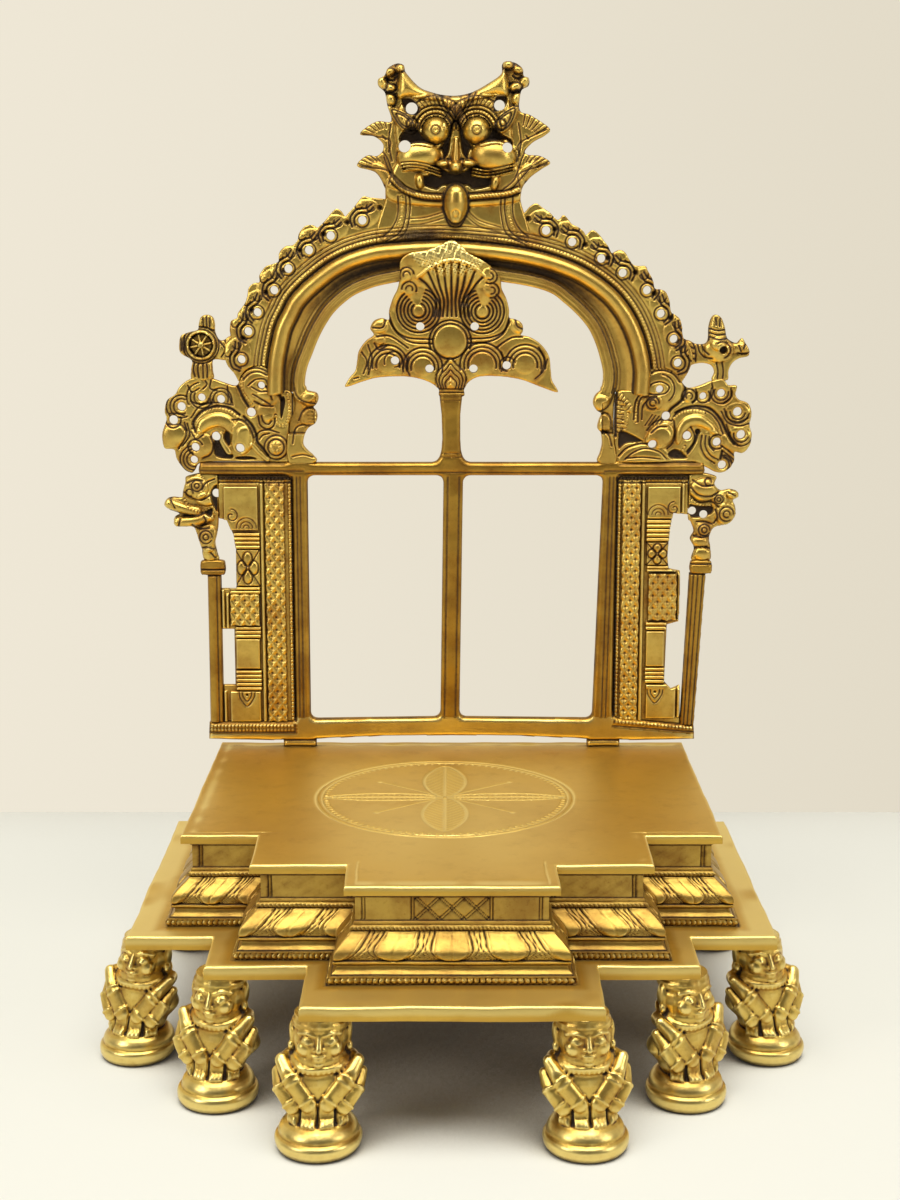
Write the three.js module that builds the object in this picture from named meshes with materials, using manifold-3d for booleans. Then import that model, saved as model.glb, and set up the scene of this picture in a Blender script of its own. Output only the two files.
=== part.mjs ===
// Deity throne in cast brass: a stepped pedestal on figure legs and a pierced back that lifts out of it.
// Millimetres, +Z up, front towards -Y. The origin is on the floor under the middle of the pedestal.

import * as THREE from 'three';
import { mergeVertices } from 'three/addons/utils/BufferGeometryUtils.js';
import Module from 'manifold-3d';

const wasm = await Module();
wasm.setup();

// Driving dimensions
// Fits and cutters
const jointGap = 0.3;
const tenonClearance = 0.25;
const overrun = 1;
const weldDistance = 0.0001;

// How finely round shapes are divided
const latheSides = 12;
const discSides = 16;
const smallSides = 6;
const limbSides = 5;
const legSides = 8;
const bossAround = 10;
const bossAlong = 5;
const archSteps = 28;
const lobeSides = 8;
const cymaSteps = 4;
const barSteps = 5;
const domeShare = 0.7;

// Pedestal, from the floor up
const legHeight = 46.7;
const lowerPlateThickness = 5;
const lotusBaseHeight = 18.6;
const neckHeight = 11.5;
const seatThickness = 3.2;
const seatBevel = 0.6;

// Pedestal plans: the half width and front edge of the three steps, middle step first, and the back edge
const neckPlan = { halfWidths: [33.3, 67.8, 96.3], fronts: [71.3, 48.8, 15.8], back: 99 };
const lowerPlan = { halfWidths: [51, 87, 118.5], fronts: [99.2, 63.5, 35.5], back: 103 };
const seatOverhang = 3.7;
const seatBack = 110;
const pedestalWall = 3.5;

// Lotus base mouldings: how far each stands out from the neck, and how high it is
const beadOut = 9.5;
const beadHeight = 3;
const recessOut = 6;
const recessHeight = 3.1;
const lipOut = 7;
const lipHeight = 1.8;
const petalTopOut = 1;
const petalHeight = 8.5;
const ropeOut = 1.5;
const lotusBackOut = 3;
const petalPitch = 17.4;
const petalWidth = 12.5;
const petalSwell = 1.8;
const petalSink = 0.5;
const petalLength = 7.7;

// Neck pilasters
const pilasterWidth = 2.4;
const pilasterRelief = 0.8;
const latticeHalfWidth = 14;

// Legs: the place of the leg's top, and how far its foot stands out from there
const legPlaces = [
  { name: 'leg_front_inner', x: 44, y: -90.5, leanX: 1.3, leanY: -4.7, turn: 0 },
  { name: 'leg_front_middle', x: 82, y: -55, leanX: 1.5, leanY: -4, turn: 0 },
  { name: 'leg_front_outer', x: 113.4, y: -19, leanX: 4.8, leanY: -2, turn: 0 },
  { name: 'leg_rear', x: 108, y: 92, leanX: 4, leanY: 2, turn: Math.PI },
];
const footRadius = 14.8;
const footHeight = 7.2;
const cushionRadius = 12.2;
const cushionHeight = 4.4;
const figureHalfWidth = 8.6;
const headHeight = 15;
const limbRadius = 2.5;
const wristRadius = 2.2;
const toeWidth = 5.2;
const toeBlock = 4.8;
const toeDepth = 10.4;
const toeHeight = 7;
const toeSink = 1.4;
const eyelidWidth = 1.75;
const eyelidRadius = 1.25;
const noseRootRadius = 0.9;
const noseTipRadius = 1.4;

// Back frame, measured up from its bottom edge
const frameHalfWidth = 103;
const frameThickness = 4;
const frameBevel = 0.9;
const bottomRailHeight = 8;
const windowHalfSpan = 60.5;
const windowSill = 9;
const sillRise = 1.4;
const sillLift = 2.8;
const sagHalfSpan = 54.5;
const postWidth = 7;
const crossbarUnderside = 114.5;
const crossbarHeight = 5.5;
const crossbarHalfSpan = 105;
const mullionWidth = 8.2;
const mullionLean = 1.4;
const stemHeight = 29;
const stemFlare = 10.6;
const stemLean = -0.5;

// Tenons that drop through the seat
const lugCentre = 65.2;
const lugWidth = 14;
const lugShoulder = 2.8;
const tenonWidth = 10;
const tenonThickness = 3;
const tenonLength = 12;
const backPlane = 106;

// Side panels and colonettes
const panelThickness = 2.6;
const pilasterThickness = 3.8;
const colonetteWidth = 5.2;
const colonetteLean = 3.4;
const colonetteHeight = 64;
const colonetteDepth = 4.4;
const capitalHeight = 5.8;
const capitalWidth = 9.6;
const capitalLap = 0.1;

// Arch: a flattened round arch and the profile that runs along it
const archCentre = 1;
const archHalfSpan = 62;
const archSpringing = 30;
const archRise = 46.5;
const archExponent = 2.4;
const archWidth = 16;
const bandThickness = 3.8;
const rollHeight = 7.2;
const springerHalfWidth = 4;

// Flame border: lobes with a drilled eye, side by side outside the arch
const flameOffset = 26.5;
const flameThickness = 3.2;
const lobeThickness = 4.2;
const lobeRadius = 6.4;
const eyeletRadius = 1.8;
const lobePitch = 10.9;
const lobesPerSide = 8;
const firstLobeRise = 13.5;
const flameStartAngle = 0.06;

// Crown leaf on the stem, and the braze that joins it to the arch
const crownHalfWidth = 44;
const crownHeight = 48;
const crownSheet = 2.9;
const crownHoleRadius = 1.7;
const crownBossLevel = 2.1;
const scrollRelief = 4.2;
const petalDomeRelief = 3.4;
const middleRelief = 4.6;
const tongueThickness = 1.8;
const scrollRadius = 7.4;
const petalRadius = 5.8;
const crownBossRadius = 7.2;
const budThickness = 6;

// Lion mask over the arch
const maskHalfWidth = 40;
const maskHeight = 54;
const maskRise = 16;
const maskThickness = 4.2;
const neckHalfWidth = 27;
const eyeRadius = 5.8;
const eyeForward = 8.5;
const browRadius = 2.4;
const browReach = 8.8;
const cheekLength = 8;
const cheekHeight = 5.2;
const cheekForward = 6;
const bridgeRadius = 2.2;
const snoutRadius = 3.3;
const snoutLevel = 9.3;
const nostrilRadius = 2.7;
const nostrilLevel = 6.4;
const chinWidth = 5.3;
const tongueRadius = 4.4;
const tongueTipRadius = 3.5;
const tongueRootLevel = 6.3;
const tongueTipLevel = 4.1;
const fangRadius = 1.7;
const fangTipRadius = 0.6;
const neckOverlap = 5.4;
const hornRadius = 2.5;
const hornTipRadius = 1.3;
const knobRadius = 2.1;
const earRadius = 1.5;
const maskHoleRadius = 2.3;

// Makaras on the crossbar
const makaraLength = 57;
const makaraHeight = 40;
const makaraThickness = 3;
const headThickness = 4.5;
const makaraRelief = 2.8;
const makaraHoleRadius = 1.6;
const headRadius = 8.3;
const backRollRadius = 3.1;
const beadRimRadius = 1.1;
const spiralRadius = 5.6;
const haunchRadius = 5.2;

// Wheel and conch beside the arch
const wheelX = 104.7;
const conchX = 110.6;
const emblemLift = 48.5;
const emblemSeat = 35;
const emblemSeatHalfWidth = 5.6;
const emblemThickness = 4;
const emblemSheet = 3.2;
const wheelRadius = 6.2;
const wheelRimWidth = 1.2;
const wheelRelief = 0.9;
const hubRadius = 1.7;
const spokeCount = 8;
const spokeWidth = 1;
const flareRadius = 3.3;
const flareReach = 8.5;
const armHalfHeight = 3.6;
const armReach = 16;
const stemHalfWidth = 4.2;
const conchWidth = 30;
const conchHeight = 26;
const conchHalfLength = 6;
const conchRadius = 4.6;
const conchRelief = 3.7;
const spireRadius = 2.8;
const spireLevel = 2.4;

// Beast brackets on the colonettes
const bracketWidth = 22;
const bracketThickness = 3.4;
const bracketHeadRadius = 5.2;
const bracketLimbRadius = 2.4;

// Worked-out levels
const lowerPlateTop = legHeight + lowerPlateThickness;
const neckBottom = lowerPlateTop + lotusBaseHeight;
const seatUnderside = neckBottom + neckHeight;
const seatTop = seatUnderside + seatThickness;
const frameBottom = seatTop + lugShoulder;
const crossbarTop = crossbarUnderside + crossbarHeight;
const springingLevel = crossbarTop + archSpringing;
const archCrown = springingLevel + archRise;
const postOuter = windowHalfSpan + postWidth;
const panelInner = postOuter + jointGap;
const colonetteInner = frameHalfWidth - colonetteWidth;
const panelOuter = colonetteInner - jointGap;
const panelBottom = bottomRailHeight + jointGap;
const panelTop = crossbarUnderside - jointGap;
const springerOuter = archHalfSpan + springerHalfWidth;
const makaraInner = springerOuter + jointGap;
const makaraBottom = crossbarTop + jointGap;
const maskBottom = archCrown + archWidth + maskRise;
const crownBottom = crossbarTop + stemHeight + jointGap;
const bracketBottom = panelBottom + colonetteHeight + capitalHeight + jointGap;

// Materials
const brass = new THREE.MeshStandardMaterial({ color: 0xb08a36, roughness: 0.32, metalness: 1 });
const oldBrass = new THREE.MeshStandardMaterial({ color: 0x9a752b, roughness: 0.4, metalness: 1 });

// Solids from three.js geometry

// Closed solid with shared corners welded and its faces turned outwards
function solid(geometry) {
  const bare = geometry.clone();
  bare.deleteAttribute('normal');
  bare.deleteAttribute('uv');
  const welded = mergeVertices(bare, weldDistance);
  const places = welded.attributes.position.array;
  const corners = welded.index.array;
  const kept = [];
  let volume = 0;
  const a = new THREE.Vector3();
  const b = new THREE.Vector3();
  const c = new THREE.Vector3();
  for (let i = 0; i < corners.length; i += 3) {
    const [p, q, r] = corners.slice(i, i + 3);
    if (p !== q && q !== r && r !== p) {
      kept.push(p, q, r);
      a.fromArray(places, p * 3);
      b.fromArray(places, q * 3);
      c.fromArray(places, r * 3);
      volume += a.dot(b.cross(c));
    }
  }
  if (volume < 0) {
    kept.reverse();
  }
  const triVerts = new Uint32Array(kept);
  return new wasm.Manifold(new wasm.Mesh({ numProp: 3, vertProperties: places, triVerts }));
}

function unite(solids) {
  return solids.reduce((whole, next) => whole.add(next));
}

function carve(whole, cutters) {
  return cutters.reduce((rest, cutter) => rest.subtract(cutter), whole);
}

function toGeometry(body) {
  const { vertProperties, triVerts } = body.getMesh();
  const geometry = new THREE.BufferGeometry();
  geometry.setAttribute('position', new THREE.BufferAttribute(vertProperties, 3));
  geometry.setIndex(new THREE.BufferAttribute(triVerts, 1));
  geometry.computeVertexNormals();
  return geometry;
}

// Skin over a row of rings with equal point counts, closed on itself or capped with the given outline
function skin(rings, capOutline) {
  const count = rings[0].length;
  const places = rings.flat().flatMap((point) => point.toArray());
  const corners = [];
  const rows = capOutline ? rings.length - 1 : rings.length;
  for (let row = 0; row < rows; row += 1) {
    const near = row * count;
    const far = ((row + 1) % rings.length) * count;
    for (let i = 0; i < count; i += 1) {
      const next = (i + 1) % count;
      corners.push(near + i, near + next, far + next);
      corners.push(near + i, far + next, far + i);
    }
  }
  if (capOutline) {
    const clockwise = THREE.ShapeUtils.isClockWise(capOutline);
    const near = clockwise ? (rings.length - 1) * count : 0;
    const far = clockwise ? 0 : (rings.length - 1) * count;
    THREE.ShapeUtils.triangulateShape(capOutline, []).forEach(([p, q, r]) => {
      corners.push(near + p, near + r, near + q);
      corners.push(far + p, far + q, far + r);
    });
  }
  const geometry = new THREE.BufferGeometry();
  geometry.setAttribute('position', new THREE.Float32BufferAttribute(places, 3));
  geometry.setIndex(corners);
  return geometry;
}

// Flat plate of an outline between two heights
function plate(points, bottom, top, holes = []) {
  const shape = new THREE.Shape(points);
  holes.forEach((hole) => shape.holes.push(new THREE.Path(hole)));
  const geometry = new THREE.ExtrudeGeometry(shape, { depth: top - bottom, bevelEnabled: false });
  geometry.translate(0, 0, bottom);
  return solid(geometry);
}

function circle(x, y, radius, sides) {
  const points = [];
  for (let i = 0; i < sides; i += 1) {
    const angle = ((i + 0.5) / sides) * 2 * Math.PI;
    points.push(new THREE.Vector2(x + radius * Math.cos(angle), y + radius * Math.sin(angle)));
  }
  return points;
}

function disc(x, y, radius, bottom, top, sides) {
  return plate(circle(x, y, radius, sides), bottom, top);
}

function rectangle(x0, y0, x1, y1) {
  return [[x0, y0], [x1, y0], [x1, y1], [x0, y1]].map(([x, y]) => new THREE.Vector2(x, y));
}

// Ellipsoid with its poles along Z
function boss({ x, y }, z, radiusX, radiusY, radiusZ, around = bossAround, along = bossAlong) {
  const geometry = new THREE.SphereGeometry(1, around, along);
  geometry.rotateX(Math.PI / 2);
  geometry.scale(radiusX, radiusY, radiusZ);
  geometry.translate(x, y, z);
  return solid(geometry);
}

// Tapered round limb with domed ends
function limb(from, to, startRadius, endRadius, sides = smallSides) {
  const along = new THREE.Vector3().subVectors(to, from);
  const length = along.length();
  const profile = [
    new THREE.Vector2(0, -startRadius * domeShare),
    new THREE.Vector2(startRadius, 0),
    new THREE.Vector2(endRadius, length),
    new THREE.Vector2(0, length + endRadius * domeShare),
  ];
  const geometry = new THREE.LatheGeometry(profile, sides);
  const up = new THREE.Vector3(0, 1, 0);
  geometry.applyQuaternion(new THREE.Quaternion().setFromUnitVectors(up, along.normalize()));
  geometry.translate(from.x, from.y, from.z);
  return solid(geometry);
}

// Round bar along a smooth line through points
function bar(points, radius, steps = barSteps, sides = smallSides) {
  const path = new THREE.CatmullRomCurve3(points);
  const section = new THREE.Shape(circle(0, 0, radius, sides));
  return solid(new THREE.ExtrudeGeometry(section, { extrudePath: path, steps, bevelEnabled: false }));
}

// Cutter for a window whose front edge is bevelled
function bevelledCutter(points, thickness, bevel) {
  const middle = new THREE.Box2().setFromPoints(points).getCenter(new THREE.Vector2());
  const grown = points.map((point) => new THREE.Vector2(
    point.x + Math.sign(point.x - middle.x) * (bevel + overrun),
    point.y + Math.sign(point.y - middle.y) * (bevel + overrun),
  ));
  const rings = [lift(points, -overrun), lift(points, thickness - bevel), lift(grown, thickness + overrun)];
  return solid(skin(rings, points));
}

// Points given as shares of a box whose origin is at x, y; side is -1 for the left-hand copy
function fromShares(shares, x, y, width, height, side = 1) {
  return shares.map(([across, up]) => new THREE.Vector2(side * (x + across * width), y + up * height));
}

function lift(points, z) {
  return points.map((point) => new THREE.Vector3(point.x, point.y, z));
}

// Pedestal

// The three-step outline, every edge moved out by the same amount
function steppedOutline(plan, outward, backward = outward) {
  const [w0, w1, w2] = plan.halfWidths.map((halfWidth) => halfWidth + outward);
  const [f0, f1, f2] = plan.fronts.map((front) => -(front + outward));
  const back = plan.back + backward;
  const right = [[w0, f0], [w0, f1], [w1, f1], [w1, f2], [w2, f2], [w2, back]];
  const left = right.map(([x, y]) => [-x, y]).reverse();
  return [...right, ...left].map(([x, y]) => new THREE.Vector2(x, y));
}

// A wall that follows the stepped outline: its profile gives height, reach outward and reach backward
function steppedWall(plan, profile) {
  return solid(skin(profile.map(([height, outward, backward]) => (
    lift(steppedOutline(plan, outward, backward), height)
  ))));
}

function makeLowerPlate() {
  const window = steppedOutline(neckPlan, -pedestalWall);
  return plate(steppedOutline(lowerPlan, 0), 0, lowerPlateThickness, [window]);
}

// Raised lotus petals along the cyma of one straight front
function petalsAlong(halfWidth, front, centreX, lowHeight) {
  const count = Math.max(1, Math.floor((2 * halfWidth) / petalPitch));
  const pitch = (2 * halfWidth) / count;
  const tilt = Math.atan2(lipOut - petalTopOut, petalHeight);
  const petals = [];
  for (let i = 0; i < count; i += 1) {
    const x = centreX - halfWidth + pitch * (i + 0.5);
    const geometry = new THREE.SphereGeometry(1, bossAround, 4);
    geometry.scale(petalWidth / 2, petalLength / 2, petalSwell);
    geometry.rotateX(Math.PI / 2 - tilt);
    geometry.translate(x, front - (lipOut + petalTopOut) / 2 + petalSink, lowHeight + petalHeight / 2);
    petals.push(solid(geometry));
  }
  return petals;
}

function makeLotusBase() {
  const recessTop = beadHeight + recessHeight;
  const lipTop = recessTop + lipHeight;
  const petalTop = lipTop + petalHeight;
  const outer = [
    [0, beadOut],
    [beadHeight, beadOut],
    [beadHeight, recessOut],
    [recessTop, recessOut],
    [recessTop, lipOut],
  ];
  for (let i = 0; i <= cymaSteps; i += 1) {
    const share = i / cymaSteps;
    const swing = 0.5 + 0.5 * Math.cos(Math.PI * share);
    outer.push([lipTop + share * petalHeight, petalTopOut + (lipOut - petalTopOut) * swing]);
  }
  outer.push([petalTop, ropeOut], [lotusBaseHeight, ropeOut]);
  const profile = outer.map(([height, outward]) => [height, outward, lotusBackOut * (outward / beadOut)]);
  profile.push([lotusBaseHeight, -pedestalWall, -pedestalWall], [0, -pedestalWall, -pedestalWall]);
  const ring = steppedWall(neckPlan, profile);
  const { halfWidths, fronts } = neckPlan;
  const petals = petalsAlong(halfWidths[0], -fronts[0], 0, lipTop);
  [-1, 1].forEach((side) => {
    for (let step = 1; step < halfWidths.length; step += 1) {
      const halfWidth = (halfWidths[step] - halfWidths[step - 1] - lipOut) / 2;
      const centreX = side * (halfWidths[step] - halfWidth);
      petals.push(...petalsAlong(halfWidth, -fronts[step], centreX, lipTop));
    }
  });
  return unite([ring, ...petals]);
}

// Neck wall with pilaster strips at the corners of each block and beside the lattice panel
function makeNeck() {
  const faces = [[0, 0], [neckHeight, 0], [neckHeight, -pedestalWall], [0, -pedestalWall]];
  const ring = steppedWall(neckPlan, faces.map(([height, outward]) => [height, outward, outward]));
  const { halfWidths, fronts } = neckPlan;
  const strips = [];
  const addStrip = (x, front) => {
    const halfWidth = pilasterWidth / 2;
    const outline = rectangle(x - halfWidth, -front - pilasterRelief, x + halfWidth, -front + pilasterRelief);
    strips.push(plate(outline, jointGap, neckHeight - jointGap));
  };
  [-1, 1].forEach((side) => {
    addStrip(side * latticeHalfWidth, fronts[0]);
    halfWidths.forEach((halfWidth, step) => addStrip(side * (halfWidth - pilasterWidth / 2), fronts[step]));
  });
  return unite([ring, ...strips]);
}

function seatPlan() {
  const halfWidths = neckPlan.halfWidths.map((halfWidth) => halfWidth + seatOverhang);
  const fronts = neckPlan.fronts.map((front) => front + seatOverhang);
  return { halfWidths, fronts, back: seatBack };
}

function makeSeatPlate() {
  const shape = new THREE.Shape(steppedOutline(seatPlan(), 0));
  const options = {
    depth: seatThickness - 2 * seatBevel,
    bevelThickness: seatBevel,
    bevelSize: seatBevel,
    bevelOffset: -seatBevel,
    bevelSegments: 1,
  };
  const geometry = new THREE.ExtrudeGeometry(shape, options);
  geometry.translate(0, 0, seatBevel);
  const halfLength = tenonWidth / 2 + tenonClearance;
  const middle = backPlane - frameThickness / 2;
  const halfGap = tenonThickness / 2 + tenonClearance;
  const slots = [-1, 1].map((side) => {
    const outline = rectangle(
      side * lugCentre - halfLength,
      middle - halfGap,
      side * lugCentre + halfLength,
      middle + halfGap,
    );
    return plate(outline, -overrun, seatThickness + overrun);
  });
  return carve(solid(geometry), slots);
}

// Turned outline of the foot, the cushion, the trunk and the head: shares of their radius and height
const footShares = [[0, 0], [0.88, 0], [1, 0.4], [0.9, 0.88]];
const cushionShares = [[0.97, 0.08], [1, 0.5]];
const trunkShares = [[1, 0], [0.84, 0.59], [1.12, 0.87]];
const headShares = [[0.98, 0.02], [1.02, 0.39], [0.94, 1], [0, 1]];

// The figure's joints, to the side and forward as shares of its half width
// Elbow and knee, up as a share of the trunk
const elbowShare = [1.4, 0.35, 1.12];
const kneeShare = [1.56, 0.3, 0.8];

// Hand and ankle, up as a share of the toes
const handShare = [0.32, 1.05, 1];
const ankleShare = [0.93, 0.8, 0.88];

// Middles of the two toes beside the front of the foot, in toe widths
const toePlaces = [0.5, 1.5];

// Eyelids and nose, up as a share of the head
const eyelidShare = [0.38, 0.92, 0.5];
const noseRootShare = [0, 0.96, 0.56];
const noseTipShare = [0, 1.08, 0.34];

// A squatting dwarf figure on a round cushion foot, facing -Y, its head under the plate
function makeLeg(leanX, leanY) {
  const seatLevel = footHeight + cushionHeight;
  const collarLevel = legHeight - headHeight;
  const turn = (shares, radius, bottom, height) => (
    shares.map(([across, up]) => new THREE.Vector2(across * radius, bottom + up * height))
  );
  const profile = [
    ...turn(footShares, footRadius, 0, footHeight),
    ...turn(cushionShares, cushionRadius, footHeight, cushionHeight),
    ...turn(trunkShares, figureHalfWidth, seatLevel, collarLevel - seatLevel),
    ...turn(headShares, figureHalfWidth, collarLevel, headHeight),
  ];
  const turned = new THREE.LatheGeometry(profile, legSides);
  const joint = ([across, forward, up], side, bottom, height) => new THREE.Vector3(
    side * across * figureHalfWidth,
    -forward * figureHalfWidth,
    bottom + up * height,
  );
  const trunkJoint = (share, side) => joint(share, side, seatLevel, collarLevel - seatLevel);
  const toeJoint = (share, side) => joint(share, side, seatLevel - toeSink, toeHeight);
  const headJoint = (share, side) => joint(share, side, collarLevel, headHeight);
  const pieces = [solid(turned.rotateX(Math.PI / 2))];
  [-1, 1].forEach((side) => {
    const arm = [trunkJoint(elbowShare, side), toeJoint(handShare, side)];
    const shin = [trunkJoint(kneeShare, side), toeJoint(ankleShare, side)];
    pieces.push(limb(...arm, limbRadius, wristRadius, limbSides));
    pieces.push(limb(...shin, limbRadius, wristRadius, limbSides));
    toePlaces.forEach((place) => {
      const block = new THREE.BoxGeometry(toeBlock, toeDepth, toeHeight);
      block.translate(0, -figureHalfWidth, seatLevel + toeHeight / 2 - toeSink);
      block.rotateZ((side * place * toeWidth) / figureHalfWidth);
      pieces.push(solid(block));
    });
    const eyelid = headJoint(eyelidShare, side);
    pieces.push(boss(eyelid, eyelid.z, eyelidWidth, eyelidRadius, eyelidRadius, limbSides, 3));
  });
  const nose = [headJoint(noseRootShare, 1), headJoint(noseTipShare, 1)];
  pieces.push(limb(...nose, noseRootRadius, noseTipRadius, limbSides));
  const geometry = toGeometry(unite(pieces));
  const shear = new THREE.Matrix4().makeShear(0, 0, 0, 0, -leanX / legHeight, -leanY / legHeight);
  geometry.applyMatrix4(shear);
  return geometry;
}

// Back frame

// Half outline of the stem, from the crossbar up
const flareShares = [[0.5, 0], [0.42, 0.1], [0.36, 0.3], [0.36, 0.7], [0.42, 0.93], [0.46, 1]];

// Rails, posts, crossbar, mullion and stem in one outline with two windows, and the two tenons
function makeBackFrame() {
  const w = frameHalfWidth;
  const railLower = [[-w, bottomRailHeight], [-w, 0]];
  const lugs = [-1, 1].map((side) => {
    const inner = side * lugCentre - lugWidth / 2;
    const outer = side * lugCentre + lugWidth / 2;
    return [[inner, 0], [inner, -lugShoulder], [outer, -lugShoulder], [outer, 0]];
  });
  const sag = [[-sagHalfSpan, sillLift], [0, sillLift + sillRise], [sagHalfSpan, sillLift]];
  const rightSide = [
    [w, 0],
    [w, bottomRailHeight],
    [postOuter, bottomRailHeight],
    [postOuter, crossbarUnderside],
    [crossbarHalfSpan, crossbarUnderside],
    [crossbarHalfSpan, crossbarTop],
  ];
  const [stemLeft, stemRight] = [-1, 1].map((side) => flareShares.map(([across, up]) => (
    [stemLean + side * across * stemFlare, crossbarTop + up * stemHeight]
  )));
  const leftSide = rightSide.slice(2).map(([x, y]) => [-x, y]).reverse();
  const outer = [
    ...railLower,
    ...lugs[0],
    ...sag,
    ...lugs[1],
    ...rightSide,
    ...stemRight,
    ...stemLeft.reverse(),
    ...leftSide,
  ];
  const window = (side) => {
    const foot = mullionLean + (side * mullionWidth) / 2;
    const head = (side * mullionWidth) / 2;
    return [
      [side * windowHalfSpan, windowSill],
      [(side * windowHalfSpan + foot) / 2, windowSill + sillRise / 2],
      [foot, windowSill + sillRise],
      [head, crossbarUnderside],
      [side * windowHalfSpan, crossbarUnderside],
    ].map(([x, y]) => new THREE.Vector2(x, y));
  };
  const shape = new THREE.Shape(outer.map(([x, y]) => new THREE.Vector2(x, y)));
  const options = {
    depth: frameThickness - frameBevel,
    bevelThickness: frameBevel,
    bevelSize: frameBevel,
    bevelOffset: -frameBevel,
    bevelSegments: 1,
  };
  const geometry = new THREE.ExtrudeGeometry(shape, options);
  const flatBack = rectangle(-2 * w, -w, 2 * w, 2 * w);
  const windows = [-1, 1].map((side) => bevelledCutter(window(side), frameThickness, frameBevel));
  const bars = carve(solid(geometry), [plate(flatBack, -frameThickness, 0), ...windows]);
  const middle = frameThickness / 2;
  const tenons = [-1, 1].map((side) => {
    const outline = rectangle(
      side * lugCentre - tenonWidth / 2,
      -lugShoulder - tenonLength,
      side * lugCentre + tenonWidth / 2,
      frameBevel - lugShoulder + overrun,
    );
    return plate(outline, middle - tenonThickness / 2, middle + tenonThickness / 2);
  });
  return unite([bars, ...tenons]);
}

// Outer edges of the two side panels, as shares of the panel's width and height: the notches are the slots
const leftNotchShares = [
  [0.82, 0.15], [0.82, 0.38], [1, 0.38], [1, 0.54], [0.78, 0.54], [0.77, 0.71], [0.8, 0.76], [0.9, 0.82],
];
const rightNotchShares = [
  [0.78, 0.16], [0.8, 0.4], [1, 0.41], [1, 0.6], [0.8, 0.61], [0.79, 0.72], [0.82, 0.85],
];

// Pilaster blocks that stand proud of the panel, from the bottom up: low, high and outer edge
const leftBlockShares = [
  [0, 0.13, 0.9], [0.15, 0.2, 0.8], [0.21, 0.35, 0.8], [0.36, 0.38, 0.8], [0.4, 0.52, 0.96],
  [0.56, 0.72, 0.74], [0.73, 0.76, 0.76], [0.78, 0.97, 0.96],
];
const rightBlockShares = [
  [0, 0.14, 0.92], [0.16, 0.22, 0.75], [0.23, 0.37, 0.77], [0.39, 0.41, 0.78], [0.43, 0.59, 0.96],
  [0.62, 0.73, 0.77], [0.74, 0.83, 0.78], [0.86, 0.97, 0.95],
];
const pilasterInnerShare = 0.44;
const ridgeShares = [[0.37, 0], [0.42, 0], [0.42, 1], [0.37, 1]];

// Leaning edge line of the colonette: zero at its foot, its full lean at the top of the panel's slots
function colonetteShift(side, level) {
  const lean = side > 0 ? colonetteLean : 0;
  return lean * ((level - panelBottom) / colonetteHeight);
}

function makePanel(side) {
  const width = panelOuter - panelInner;
  const height = panelTop - panelBottom;
  const notches = side < 0 ? leftNotchShares : rightNotchShares;
  const blocks = side < 0 ? leftBlockShares : rightBlockShares;
  const edge = [[0, 0], [1, 0], [1, notches[0][1]], ...notches, [1, notches.at(-1)[1]], [1, 1], [0, 1]];
  const place = (shares) => fromShares(shares, panelInner, panelBottom, width, height, side);
  const sheet = plate(place(edge), 0, panelThickness);
  const raised = blocks.map(([low, high, outer]) => {
    const shares = [[pilasterInnerShare, low], [outer, low], [outer, high], [pilasterInnerShare, high]];
    return plate(place(shares), overrun, pilasterThickness);
  });
  const ridge = plate(place(ridgeShares), overrun, pilasterThickness);
  return unite([sheet, ridge, ...raised]);
}

// Half outline of the cushion capital, between the shaft's width and its own
const capitalShares = [[0, 0], [0.54, 0], [1, 0.3], [1, 0.8], [0.54, 1], [0, 1]];

// Slender column at the outer edge of the back, with its cushion capital
function makeColonette(side) {
  const top = panelBottom + colonetteHeight;
  const shift = colonetteShift(side, top);
  const inner = colonetteInner;
  const outer = frameHalfWidth;
  const shaft = [[inner, panelBottom], [outer, panelBottom], [outer + shift, top], [inner + shift, top]];
  const profile = capitalShares.map(([across, up]) => (
    new THREE.Vector2((across * capitalWidth) / 2, up * (capitalHeight + capitalLap))
  ));
  const capital = new THREE.LatheGeometry(profile, latheSides);
  capital.scale(1, 1, colonetteDepth / capitalWidth);
  capital.translate(side * ((inner + outer) / 2 + shift), top - capitalLap, colonetteDepth / 2);
  const column = plate(shaft.map(([x, y]) => new THREE.Vector2(side * x, y)), 0, colonetteDepth);
  return unite([column, solid(capital)]);
}

// Rearing beast on the colonette, its head curled under the crossbar
const leftBracketShares = [
  [0.02, 0], [0.05, 0.06], [0.08, 0.19], [0.04, 0.31], [0.01, 0.47], [0.01, 1], [0.5, 1], [0.59, 0.9],
  [0.68, 0.78], [0.67, 0.71], [0.86, 0.73], [0.98, 0.71], [1.03, 0.64], [0.91, 0.58], [0.73, 0.54],
  [0.84, 0.49], [0.82, 0.4], [0.5, 0.39], [0.43, 0.31], [0.35, 0.14], [0.27, 0],
];
const rightBracketShares = [
  [0.16, 0], [0.2, 0.14], [0.12, 0.25], [0.18, 0.33], [0.11, 0.44], [0.06, 0.51], [0.06, 1], [0.57, 1],
  [0.55, 0.88], [0.68, 0.81], [0.84, 0.83], [1, 0.8], [1.01, 0.74], [0.91, 0.69], [0.95, 0.62],
  [0.95, 0.51], [0.82, 0.42], [0.55, 0.36], [0.47, 0.25], [0.5, 0.14], [0.5, 0],
];
const leftBracketHoleShares = [[0.06, 0.78]];
const rightBracketHoleShares = [[0.15, 0.56], [0.37, 0.52]];
const bracketHeadShare = [0.42, 0.84];
const bracketBodyShares = [[0.24, 0.1], [0.26, 0.32], [0.34, 0.55], [0.42, 0.72]];
const bracketPawShares = [[0.42, 0.56], [0.66, 0.58], [0.86, 0.64]];

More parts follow.
